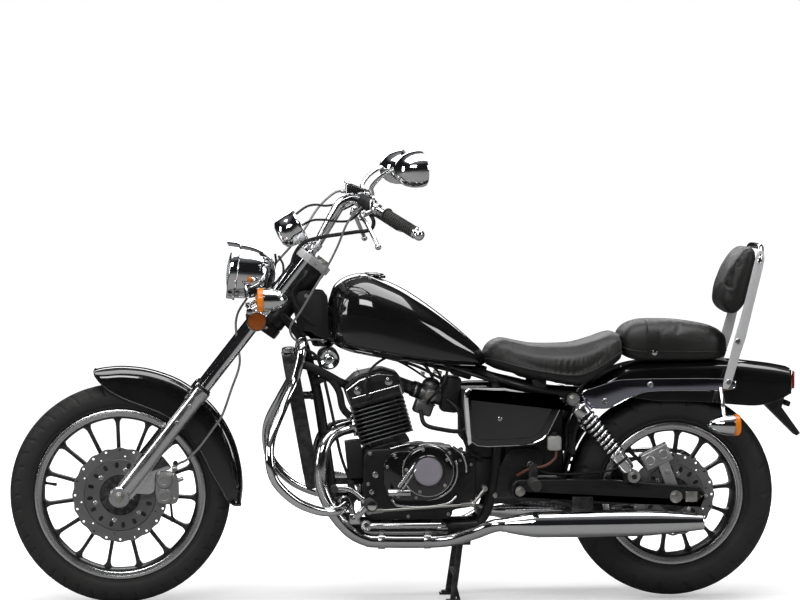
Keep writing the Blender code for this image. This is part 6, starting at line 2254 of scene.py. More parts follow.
@dataclass
class Rails:
    """The mudguard's rails, the sissy bar and the rear indicators."""

    outline: tuple[Point, ...] = (
        (1.327, 0.616), (1.342, 0.578), (1.368, 0.566), (1.411, 0.566), (1.47, 0.597), (1.522, 0.618),
        (1.779, 0.616), (1.778, 0.654), (1.443, 0.653), (1.385, 0.634),
    )
    strut: tuple[Point, ...] = (
        (1.738, 0.622), (1.762, 0.622), (1.792, 0.722), (1.808, 0.77), (1.822, 0.83), (1.862, 0.995),
        (1.858, 1.022), (1.84, 1.022), (1.796, 0.84), (1.776, 0.772), (1.758, 0.7),
    )

    def build(self) -> None:
        """Makes and dresses the rails and what they carry."""
        line = soften(self.outline, 0.18, 2)
        rail = slab(line, -0.1158, -0.11, 0.001)
        deliver(
            both_sides(rail), "fender_rail_plates", Body.CHASSIS, DARK_CHROME, ["fender_rails"]
        )
        edge = both_sides(trim_line(inset_outline(line, 0.0008), -0.1154, 0.0014))
        leg = both_sides(slab(soften(self.strut, 0.16, 2), -0.1172, -0.1088, 0.0016))
        bow = pipe(
            flow(
                [
                    (1.846, -0.113, 0.985), (1.85, -0.109, 1.01), (1.855, -0.086, 1.029),
                    (1.856, -0.04, 1.032), (1.856, 0.04, 1.032), (1.855, 0.086, 1.029), (1.85, 0.109, 1.01),
                    (1.846, 0.113, 0.985),
                ],
                6,
            ),
            0.0085, 20,
        )
        cross = bar((1.817, -0.113, 0.87), (1.817, 0.113, 0.87), 0.008, 24)
        knob = lathe(
            [
                (0.0, -0.012), (0.008, -0.012), (0.009, 0.004), (0.0155, 0.006), (0.0165, 0.012),
                (0.0155, 0.02), (0.01, 0.026), (0.0, 0.027),
            ],
            Vector((1.824, 0, 0.872)), Vector((0.026, 0, -0.008)), 32,
        )
        lean = math.radians(16.5)
        rear = Vector((math.cos(lean), 0, -math.sin(lean)))
        down = Vector((rear.z, 0, -rear.x))
        holder = block(
            (0.01, 0.06, 0.044), Vector((1.7905, 0, 0.938)) + rear * 0.0383 + down * 0.052, (0, lean, 0),
            0.002,
        )
        deliver(leg, "sissy_bar_legs", Body.CHASSIS, SATIN_SILVER)
        deliver(fuse([edge, bow, cross, knob, holder]), "sissy_bar", Body.CHASSIS, CHROME)
        bolts = []
        for x, z in ((1.398, 0.588), (1.53, 0.635)):
            bolts.append(socket_bolt((x, -0.1158, z), -ACROSS, 0.0085, 0.007))
        for x, z in ((1.757, 0.642), (1.783, 0.76)):
            bolts.append(socket_bolt((x, -0.1172, z), -ACROSS, 0.008, 0.007))
        for x, z in ((1.398, 0.588), (1.53, 0.635), (1.758, 0.636)):
            bolts.append(bar((x, -0.0843, z), (x, -0.112, z), 0.008, 20))
        deliver(both_sides(fuse(bolts)), "fender_rail_bolts", Body.CHASSIS, POLISHED)
        body, lens = bullet(Vector((1.782, -0.168, 0.522)), 1, 0.094, 0.031)
        stem = pipe(
            flow([(1.735, -0.113, 0.622), (1.735, -0.15, 0.58), (1.738, -0.166, 0.535)], 6), 0.0065, 16
        )
        deliver(both_sides(fuse([body, stem])), "rear_indicator_bodies", Body.CHASSIS, CHROME)
        deliver(both_sides(lens), "rear_indicator_lenses", Body.CHASSIS, AMBER)


@dataclass
class Tail:
    """The tail lamp with its bezel, and the bracket for a number plate."""

    def build(self) -> None:
        """Makes and dresses the tail lamp and the bracket."""
        lens = block((0.014, 0.112, 0.052), (1.9565, 0, 0.642), round_by=0.0045, segments=3)
        deliver(lens, "tail_lamp_lens", Body.CHASSIS, RED, ["tail_lamp"])
        bezel = block((0.006, 0.1196, 0.0596), (1.9515, 0, 0.642), round_by=0.0018)
        deliver(bezel, "tail_lamp_bezel", Body.CHASSIS, CHROME)
        outline = [
            (1.875, 0.58), (1.904, 0.6072), (1.942, 0.6072), (1.93, 0.56), (1.985, 0.484), (1.975, 0.476),
            (1.89, 0.56),
        ]
        arm = slab(outline, -0.035, 0.035, 0.0015)
        lamp = block((0.02, 0.046, 0.016), (1.948, 0, 0.5705), (0, math.radians(20), 0), 0.004)
        deliver(
            fuse([arm, lamp]), "plate_bracket_arm", Body.CHASSIS, MOULDED,
            ["plate_bracket"],
        )
        bolts = [
            socket_bolt((x, y, 0.6136), UP, 0.005, 0.003)
            for x in (1.914, 1.934) for y in (-0.022, 0.022)
        ]
        deliver(fuse(bolts), "plate_bracket_bolts", Body.CHASSIS, STEEL)


@dataclass
class Cockpit:
    """The handlebar with all it carries: grips, levers, switches, clamps and the master cylinder."""

    half: tuple[Point, ...] = (
        (0.836, -0.388, 1.08), (0.712, -0.24, 1.158), (0.668, -0.185, 1.173), (0.64, -0.142, 1.16),
        (0.592, -0.082, 1.076), (0.574, -0.056, 1.043), (0.566, -0.025, 1.034),
    )

    def build(self) -> None:
        """Makes and dresses the handlebar's pieces."""
        left = [Vector(p) for p in self.half]
        line = left + [Vector((p.x, -p.y, p.z)) for p in reversed(left)]
        bends = [line[0]]
        for near, here, far in zip(line, line[1:], line[2:]):
            reach = min(0.018, (here - near).length * 0.4, (far - here).length * 0.4)
            first, second = (here + (end - here).normalized() * reach for end in (near, far))
            for step in range(6):
                t = step / 5
                bends.append(first.lerp(here, t).lerp(here.lerp(second, t), t))
        bends.append(line[-1])
        handlebar = pipe(bends, 0.0111, 28)
        deliver(handlebar, "handlebar_tube", Body.STEERING, CHROME, ["handlebar"], 50.0)
        self.grips()
        self.perches()
        self.clamps()
        self.master_cylinder()
        route = [
            (0.6637, 0.224, 1.19), (0.63, 0.22, 1.184), (0.58, 0.186, 1.14), (0.538, 0.13, 1.078),
            on_fork(0.874, -0.046, 0.084), on_fork(0.78, -0.052, 0.079), on_fork(0.652, -0.054, 0.066),
            on_fork(0.6, -0.042, 0.04), on_fork(0.556, -0.004, -0.01), on_fork(0.51, 0.04, -0.052),
            on_fork(0.437, 0.066, -0.067), on_fork(0.364, 0.09, -0.0695), on_fork(0.312, 0.094, -0.07),
            on_fork(0.25, 0.095, -0.0735), on_fork(0.2, 0.088, -0.0765), (0.172, -0.074, 0.412),
            (0.16, -0.07, 0.4013), (0.158, -0.07, 0.3893),
        ]
        deliver_lead(flow(route, 8), 0.0035, "brake_hose_sheath", Body.STEERING, CABLE_GREY, ["brake_hose"])
        ends = [
            bar((0.158, -0.07, 0.3895), (0.159, -0.07, 0.408), 0.0056, 16, round_by=0.0008),
            bar((0.6637, 0.224, 1.19), (0.65, 0.223, 1.188), 0.0056, 16, round_by=0.0008),
            bar((0.166, -0.07, 0.396), (0.15, -0.07, 0.396), 0.0075, 20, round_by=0.001),
        ]
        deliver(fuse(ends), "brake_hose_ends", Body.STEERING, STEEL)

    def grips(self) -> None:
        """The ribbed rubber grips and their chromed ends."""
        start, end = Vector((0.756, -0.2925, 1.131)), Vector((0.832, -0.383, 1.083))
        axis = (end - start).normalized()
        length = (end - start).length
        profile = [(0.0112, 0.0), (0.0205, 0.0), (0.021, 0.002), (0.0205, 0.0045), (0.0168, 0.0058)]
        count = 14
        for index in range(count):
            at = 0.008 + (length - 0.018) * index / count
            pitch = (length - 0.018) / count
            profile += [
                (0.0172, at), (0.0172, at + pitch * 0.6), (0.0158, at + pitch * 0.68),
                (0.0158, at + pitch * 0.92),
            ]
        profile += [(0.0172, length - 0.009), (0.0176, length - 0.001), (0.0165, length), (0.0112, length)]
        grip = lathe(profile, start, axis, 40)
        deliver(both_sides(grip), "grips", Body.STEERING, GRIP_RUBBER, angle=30.0)
        cap = lathe(
            [
                (0.0, -0.002), (0.0166, -0.002), (0.017, 0.001), (0.015, 0.004), (0.015, 0.0065),
                (0.0158, 0.01), (0.0158, 0.017), (0.0135, 0.0235), (0.0085, 0.0275), (0.0, 0.029),
            ],
            end, axis, 32,
        )
        deliver(both_sides(cap), "grip_ends", Body.STEERING, CHROME)

    def perches(self) -> None:
        """The switch housings, lever perches, levers and mirror bosses."""
        perch = Vector((0.722, -0.252, 1.152))
        inner = perch - Vector((0.03, -0.034, -0.018))
        axis = (perch - inner).normalized()
        long = (perch - inner).length
        housing = lathe(
            [
                (0.0112, 0.0), (0.0165, 0.0), (0.0195, 0.002), (0.02, 0.004), (0.02, long * 0.46),
                (0.019, long * 0.48), (0.019, long * 0.5), (0.02, long * 0.52), (0.02, long - 0.004),
                (0.019, long - 0.001), (0.0112, long),
            ],
            inner, axis, 36,
        )
        keys = [
            block(
                (0.01, 0.006, 0.008), inner + axis * 0.016 + Vector((0.012, -0.01, 0.01)), (0, 0.5, -0.8),
                0.002,
            ),
            block(
                (0.012, 0.006, 0.007), inner + axis * 0.032 + Vector((0.013, -0.008, 0.006)), (0, 0.5, -0.8),
                0.002,
            ),
        ]
        deliver(
            both_sides(fuse([housing] + keys)), "switch_housings", Body.STEERING, MOULDED
        )
        boss = bar((0.718, -0.262, 1.14), (0.718, -0.262, 1.174), 0.009, 24, round_by=0.0012)
        clamp = bar(perch + axis * 0.002, perch + axis * 0.02, 0.0165, 28, round_by=0.0015)
        arm = pipe(
            [perch + axis * 0.01 + Vector((-0.01, 0, -0.008)), perch + Vector((-0.03, -0.018, -0.022))],
            0.0075, 16,
        )
        pivot = bar(
            perch + Vector((-0.03, -0.02, -0.013)), perch + Vector((-0.036, -0.026, -0.036)), 0.0085, 20,
            round_by=0.001,
        )
        deliver(
            both_sides(fuse([boss, clamp, arm, pivot])), "lever_perches", Body.STEERING, POLISHED
        )
        line = flow(
            [
                perch + Vector((-0.026, -0.014, -0.02)), perch + Vector((-0.034, -0.028, -0.026)),
                perch + Vector((-0.022, -0.075, -0.046)), perch + Vector((-0.006, -0.115, -0.08)),
                perch + Vector((0.006, -0.135, -0.106)),
            ],
            8,
        )
        lever = pipe(line, 0.006, 16)
        tip = bead(0.009, perch + Vector((0.006, -0.135, -0.108)))
        deliver(both_sides(fuse([lever, tip])), "levers", Body.STEERING, POLISHED)

    def clamps(self) -> None:
        """The two risers that hold the bar on the top yoke."""
        pieces = []
        low = 0.8865
        riser = lathe(
            [
                (0.0, 0.0), (0.015, 0.0), (0.0155, 0.002), (0.013, 0.01), (0.0135, 0.016), (0.0155, 0.02),
                (0.0155, 0.036), (0.014, 0.04), (0.0, 0.0405),
            ],
            on_fork(low, 0.006, -0.032), FORK_AXIS, 32,
        )
        pieces.append(riser)
        deliver(both_sides(fuse(pieces)), "bar_risers", Body.STEERING, POLISHED)
        bolts = [socket_bolt(on_fork(low + 0.038, 0.006, -0.032), FORK_AXIS, 0.0058, 0.006)]
        deliver(both_sides(fuse(bolts)), "riser_bolts", Body.STEERING, STEEL)

    def master_cylinder(self) -> None:
        """The front brake's master cylinder and its sealed reservoir, on the right."""
        outline = [(0.664, 1.218), (0.664, 1.166), (0.706, 1.14), (0.744, 1.158), (0.744, 1.186)]
        body = slab(soften(outline, 0.12, 2), 0.2, 0.248, 0.0035, 3)
        lid = slab(
            [(0.662, 1.2195), (0.7455, 1.1875), (0.7438, 1.183), (0.6603, 1.215)], 0.1985, 0.2495, 0.001
        )
        deliver(fuse([body, lid]), "master_cylinder", Body.STEERING, CHROME)
        slope = Vector((0.032, 0, 0.0835)).normalized()
        screws = []
        for share in (0.14, 0.86):
            at = Vector((0.662 + 0.0835 * share, 0.224, 1.2195 - 0.032 * share))
            screws.append(socket_bolt(at, slope, 0.0036, 0.0016))
        window = lathe(
            [(0.0, 0.0), (0.0095, 0.0), (0.009, 0.0018), (0.007, 0.0022), (0.0, 0.0016)], (0.704, 0.2, 1.172),
            -ACROSS, 24,
        )
        deliver(fuse(screws + [window]), "master_cylinder_trim", Body.STEERING, DARK_STEEL)


@dataclass
class Mirrors:
    """The mirrors: a bent stem, a deep oval head and its glass."""

    def build(self) -> None:
        """Makes and dresses both mirrors."""
        stems, heads, glasses, nuts = [], [], [], []
        for side in (-1, 1):
            stem = [
                (0.718, side * 0.262, 1.1743), (0.718, side * 0.262, 1.19), (0.716, side * 0.275, 1.208),
                (0.738, side * 0.31, 1.236), (0.78, side * 0.352, 1.262), (0.8, side * 0.366, 1.268),
            ]
            stems.append(pipe(flow(stem, 8), 0.006, 16))
            nuts.append(
                bar((0.718, side * 0.262, 1.1743), (0.718, side * 0.262, 1.184), 0.0095, 6, round_by=0.001)
            )
            shell = [
                (0.0, 0.0265), (0.0455, 0.0265), (0.048, 0.03), (0.0505, 0.03), (0.052, 0.024),
                (0.0515, 0.01), (0.049, -0.006), (0.043, -0.022), (0.034, -0.0345), (0.02, -0.045),
                (0.0, -0.05),
            ]
            turn = Matrix.Translation((0.822, side * 0.375, 1.258))
            turn = (
                turn
                @ Matrix.Rotation(math.radians(-14 * side), 4, "Z")
                @ Matrix.Rotation(math.radians(82), 4, "Y")
            )
            turn = turn @ Matrix.Diagonal((1, 1.25, 1, 1))
            for profile, kept in (
                (shell, heads), ([(0.0, 0.0272), (0.045, 0.0272), (0.045, 0.0266), (0.0, 0.0266)], glasses)
            ):
                piece = lathe(profile, (0, 0, 0), UP, 64)
                piece.data.transform(turn)
                kept.append(piece)
        deliver(
            fuse(stems + nuts), "mirror_stems", Body.STEERING, CHROME,
            ["mirror_left", "mirror_right"], 50.0,
        )
        deliver(fuse(heads), "mirror_heads", Body.STEERING, CHROME, angle=50.0)
        deliver(fuse(glasses), "mirror_glasses", Body.STEERING, MIRROR)


@dataclass
class Headlamp:
    """The bullet headlamp: shell, bezel, peak, reflector, bulb and glass."""

    centre: Vector = field(default_factory=lambda: Vector((0.327, 0.0, 0.964)))
    tilt: float = math.radians(-83.0)

    def build(self) -> None:
        """Makes and dresses the headlamp."""
        axis = Vector((math.sin(self.tilt), 0, math.cos(self.tilt)))
        body = [
            (0.07, 0.0), (0.078, 0.0015), (0.0785, 0.0095), (0.0805, 0.0108), (0.0825, 0.0095),
            (0.0832, 0.006), (0.0832, -0.01), (0.0815, -0.014), (0.0792, -0.015), (0.079, -0.02),
            (0.0775, -0.04), (0.074, -0.06), (0.067, -0.082), (0.057, -0.1), (0.04, -0.115), (0.02, -0.123),
            (0.0, -0.1255),
        ]
        shell_piece = lathe(body, self.centre, axis, 96)
        deliver(shell_piece, "headlamp_bucket", Body.STEERING, CHROME, ["headlamp"], 50.0)
        rows = []
        for index in range(9):
            share = index / 8
            row = []
            for step in range(25):
                angle = math.radians(-66 + 132 * step / 24)
                droop = max(0.02, math.cos(angle * 1.32))
                local = Vector(
                    (
                        0.0838 * math.cos(angle), 0.0838 * math.sin(angle),
                        -0.004 + (0.032 * droop + 0.001) * share,
                    ),
                )
                x = self.centre.x + local.x * math.cos(self.tilt) + local.z * math.sin(self.tilt)
                z = self.centre.z - local.x * math.sin(self.tilt) + local.z * math.cos(self.tilt)
                row.append(Vector((x, local.y, z)))
            rows.append(row)
        peak = wrap(rows, closed=False, ends=False)
        modify(peak, "SOLIDIFY", thickness=0.0016, offset=0.0)
        deliver(peak, "headlamp_peak", Body.STEERING, CHROME, angle=50.0)
        bowl = [
            (0.0, -0.052), (0.012, -0.05), (0.03, -0.043), (0.05, -0.028), (0.066, -0.01), (0.072, 0.0005),
            (0.0735, 0.0005), (0.068, -0.011), (0.0, -0.054),
        ]
        deliver(
            lathe(bowl, self.centre, axis, 64), "headlamp_reflector", Body.STEERING, CHROME,
            angle=60.0,
        )
        bulb = lathe(
            [(0.0, -0.05), (0.01, -0.05), (0.01, -0.038), (0.0065, -0.034), (0.0065, -0.018), (0.0, -0.015)],
            self.centre, axis, 24,
        )
        deliver(bulb, "headlamp_bulb", Body.STEERING, GLASS)
        dome = [
            (0.0, 0.0178), (0.02, 0.017), (0.04, 0.0143), (0.06, 0.0098), (0.0765, 0.003), (0.076, 0.0018),
            (0.058, 0.0075), (0.039, 0.012), (0.019, 0.0145), (0.0, 0.0152),
        ]
        deliver(
            lathe(dome, self.centre, axis, 96), "headlamp_glass", Body.STEERING, GLASS,
            ["headlamp_lens"], 60.0,
        )
        low = 0.6553
        stay = pipe(
            flow([on_fork(low, -0.012), on_fork(low + 0.017, -0.012), (0.404, 0, 0.915)], 8), 0.01, 20
        )
        foot = bar(on_fork(low - 0.0003, -0.012), on_fork(low + 0.007, -0.012), 0.015, 24, round_by=0.001)
        deliver(fuse([stay, foot]), "headlamp_stay", Body.STEERING, CHROME)
        screw = [
            socket_bolt(
                self.centre + axis * 0.003 + Vector((0.004, 0, -0.0838)), Vector((0, 0, -1)), 0.0035, 0.003
            ),
        ]
        deliver(fuse(screw), "headlamp_screw", Body.STEERING, STEEL)


@dataclass
class Speedometer:
    """The cup clock: chromed cup, dial, pointer, numerals-free marks, glass and stay."""

    face: Vector = field(default_factory=lambda: Vector((0.522, 0.0, 1.095)))
    tilt: float = math.radians(62.0)

    def build(self) -> None:
        """Makes and dresses the clock."""
        axis = Vector((math.sin(self.tilt), 0, math.cos(self.tilt)))
        cup = [
            (0.0, -0.004), (0.0405, -0.004), (0.041, 0.001), (0.043, 0.003), (0.047, 0.003), (0.0485, 0.001),
            (0.0485, -0.006), (0.047, -0.0085), (0.0465, -0.03), (0.045, -0.048), (0.039, -0.064),
            (0.026, -0.07), (0.0, -0.072),
        ]
        deliver(
            lathe(cup, self.face, axis, 72), "speedometer_cup", Body.STEERING, CHROME,
            ["speedometer"], 50.0,
        )
        dial = lathe(
            [(0.0, -0.0034), (0.0404, -0.0034), (0.0404, -0.004), (0.0, -0.004)], self.face, axis, 64
        )
        deliver(dial, "speedometer_dial", Body.STEERING, WHITE_FACE)
        down = Vector((math.cos(self.tilt), 0, -math.sin(self.tilt)))
        marks = []
        for index in range(13):
            angle = math.radians(-120 + 20 * index)
            out = -down * math.cos(angle) + ACROSS * math.sin(angle)
            long = 0.008 if index % 2 == 0 else 0.005
            marks.append(
                pipe(
                    [
                        self.face + axis * -0.003 + out * 0.038,
                        self.face + axis * -0.003 + out * (0.038 - long),
                    ],
                    0.0006, 6,
                ),
            )
        angle = math.radians(-112)
        out = -down * math.cos(angle) + ACROSS * math.sin(angle)
        pointer = pipe(
            [self.face - axis * 0.0022 - out * 0.008, self.face - axis * 0.0022 + out * 0.03], 0.0009, 6
        )
        hub = bar(self.face - axis * 0.0034, self.face - axis * 0.001, 0.0048, 24)
        panel = block((0.016, 0.024, 0.001), self.face + axis * -0.0029 + down * 0.02, (0, self.tilt, 0))
        deliver(
            fuse(marks + [pointer, hub, panel]), "speedometer_marks", Body.STEERING, HOSE_RUBBER,
        )
        glass = lathe(
            [(0.0, 0.0006), (0.0412, 0.0006), (0.0412, -0.0004), (0.0, -0.0004)], self.face, axis, 64
        )
        deliver(glass, "speedometer_glass", Body.STEERING, GLASS)
        low = 0.8863
        stay = pipe(
            flow(
                [(0.475, 0, 1.06), (0.515, 0, 1.048), on_fork(low + 0.016, -0.014), on_fork(low, -0.014)], 8
            ),
            0.008, 20,
        )
        deliver(stay, "speedometer_stay", Body.STEERING, POLISHED)


@dataclass
class FrontIndicators:
    """The front indicators, their cross bar and the round reflectors beside the lower yoke."""

    def build(self) -> None:
        """Makes and dresses the indicators and the reflectors."""
        at = on_fork(0.652, -0.036)
        body, lens = bullet(Vector((0.396, -0.158, 0.886)), -1, 0.088, 0.034)
        stem = bar(at - ACROSS * 0.157, (0.415, -0.158, 0.88), 0.007, 20)
        nut = bar(at - ACROSS * 0.146, at - ACROSS * 0.166, 0.0105, 6, round_by=0.001)
        cross = bar(at - ACROSS * 0.16, at, 0.0055, 20)
        deliver(
            both_sides(fuse([body, stem, nut, cross])), "front_indicator_bodies", Body.STEERING, CHROME,
            ["front_indicators"], 50.0,
        )
        deliver(both_sides(lens), "front_indicator_lenses", Body.STEERING, AMBER)
        spot = on_fork(0.64, 0.0, -0.1175)
        cup = lathe(
            [
                (0.0, 0.0), (0.0285, 0.0), (0.0288, 0.009), (0.027, 0.0118), (0.0255, 0.0118),
                (0.025, 0.0095), (0.0, 0.0095),
            ],
            spot, -ACROSS, 48,
        )
        stay = bar(spot - ACROSS * 0.006, at - ACROSS * 0.123, 0.0055, 16)
        deliver(both_sides(fuse([cup, stay])), "reflector_cups", Body.STEERING, CHROME)
        lens = lathe(
            [(0.0, 0.0122), (0.018, 0.0118), (0.0252, 0.0105), (0.0252, 0.009), (0.0, 0.009)], spot, -ACROSS,
            48,
        )
        deliver(both_sides(lens), "reflector_lenses", Body.STEERING, BROWN_AMBER)


@dataclass
class Frame:
    """The steel frame: head, spine, twin cradle, seat rails, plates, lugs and rear pegs."""

    cradle_half: float = 0.062

    def build(self) -> None:
        """Makes and dresses the frame."""
        head = lathe(
            [
                (0.015, 0.656), (0.03, 0.656), (0.031, 0.662), (0.03, 0.684), (0.028, 0.688), (0.028, 0.828),
                (0.03, 0.832), (0.031, 0.854), (0.03, 0.861), (0.015, 0.861),
            ],
            FRONT_AXLE + FORK_REARWARD * 0.048, FORK_AXIS, 48,
        )
        spine = pipe(
            flow([(0.5, 0, 0.872), (0.64, 0, 0.812), (0.76, 0, 0.77), (0.95, 0, 0.7), (1.06, 0, 0.662)], 6),
            0.02, 28,
        )
        half = self.cradle_half
        cradle = pipe(
            flow(
                [
                    (0.466, -0.016, 0.836), (0.52, -0.028, 0.775), (0.546, -0.034, 0.7), (0.572, -0.045, 0.6),
                    (0.602, -half, 0.4), (0.618, -half, 0.29), (0.648, -half, 0.236), (0.69, -half, 0.222),
                    (1.0, -half, 0.222), (1.045, -half, 0.24), (1.072, -half, 0.3), (1.09, -half, 0.42),
                    (1.094, -half, 0.56), (1.088, -0.05, 0.65),
                ],
                6,
            ),
            0.014, 24,
        )
        rail = pipe(
            flow(
                [
                    (1.04, -0.004, 0.668), (1.09, -0.05, 0.65), (1.15, -0.085, 0.634), (1.25, -0.0985, 0.61),
                    (1.365, -0.0985, 0.602),
                ],
                6,
            ),
            0.011, 20,
        )
        plate_line = [
            (1.068, 0.332), (1.125, 0.448), (1.212, 0.447), (1.227, 0.418), (1.186, 0.3), (1.14, 0.284),
            (1.06, 0.29),
        ]
        pivot_plate = slab(soften(plate_line, 0.14, 2), -half - 0.01, -half - 0.002, 0.0014)
        lugs = [
            block((0.06, 0.006, 0.07), (0.985, -0.052, 0.2), round_by=0.0015),
            block((0.045, 0.026, 0.02), (0.636, -half, 0.3), round_by=0.002),
            block((0.026, 0.02, 0.026), (0.527, -0.038, 0.757), round_by=0.002),
            block((0.022, 0.014, 0.018), (0.561, -0.045, 0.6), round_by=0.002),
            block((0.022, 0.014, 0.018), (0.5915, -0.06, 0.4), round_by=0.002),
            block((0.024, 0.018, 0.024), (0.672, -half, 0.2367), round_by=0.002),
            block((0.04, 0.014, 0.0377), (1.21, -0.0935, 0.6309), round_by=0.002),
            bar((1.301, -0.098, 0.597), (1.301, -0.172, 0.597), 0.008, 20),
            bar((1.187, -0.066, 0.4), (1.187, -0.144, 0.4), 0.009, 20, round_by=0.001),
            block((0.024, 0.012, 0.066), (1.187, -0.142, 0.378), round_by=0.003),
        ]
        for x in (0.77, 0.915):
            lugs.append(block((0.03, 0.02, 0.0237), (x, -half, 0.23385), round_by=0.002))
        side = both_sides(fuse([cradle, rail, pivot_plate] + lugs))
        middle = [
            block((0.0897, 0.116, 0.02), (0.65485, 0, 0.355), round_by=0.002),
            block((0.014, 0.09, 0.02), (0.548, 0, 0.7), round_by=0.002),
            block((0.03, 0.12, 0.02), (1.048, 0, 0.262), round_by=0.002),
            block((0.016, 0.12, 0.016), (1.094, 0, 0.545), round_by=0.002),
            block((0.032, 0.082, 0.012), (0.707, -0.097, 0.232), round_by=0.002),
            bar((0.575, -0.0497, 0.84), (0.575, 0.0497, 0.84), 0.008, 20),
            bar((0.69, -0.0317, 0.794), (0.69, 0.0317, 0.794), 0.012, 20),
            bar((0.95, -0.0317, 0.7), (0.95, 0.0317, 0.7), 0.01, 20),
        ]
        pin = Vector((0, math.cos(math.radians(20)), -math.sin(math.radians(20)))) * 0.03
        pivot = Vector((0.706, -0.152, 0.236))
        middle.append(bar(pivot + pin, pivot - pin * 0.4, 0.006, 20))
        deliver(
            fuse([head, spine, side] + middle), "frame_tubes", Body.CHASSIS, SATIN_PAINT,
            ["frame"],
        )
        tread = [(0.0, -0.002), (0.0165, -0.002), (0.0165, 0.004)]
        for index in range(8):
            at = 0.008 + 0.01 * index
            tread += [(0.0165, at), (0.0165, at + 0.006), (0.0145, at + 0.0072), (0.0145, at + 0.0088)]
        tread += [(0.0165, 0.089), (0.0165, 0.093), (0.015, 0.095), (0.0, 0.095)]
        peg = lathe(tread, (1.187, -0.14, 0.357), -ACROSS, 36)
        deliver(
            both_sides(peg), "rear_peg_rubbers", Body.CHASSIS, GRIP_RUBBER, angle=30.0
        )
        bolts = [
            hex_bolt((1.151, -0.134, 0.33), -ACROSS, 0.0105, 0.008),
            hex_bolt((1.301, -0.163, 0.597), -ACROSS, 0.0095, 0.011),
            hex_bolt((1.083, -half - 0.01, 0.312), -ACROSS, 0.0065, 0.006),
            hex_bolt((1.187, -half - 0.01, 0.4), -ACROSS, 0.0075, 0.006),
            hex_bolt((0.636, -half - 0.013, 0.3), -ACROSS, 0.0055, 0.005),
            bar((1.186, -0.148, 0.357), (1.186, -0.152, 0.357), 0.006, 20, round_by=0.0006),
        ]
        deliver(both_sides(fuse(bolts)), "frame_bolts", Body.CHASSIS, STEEL)


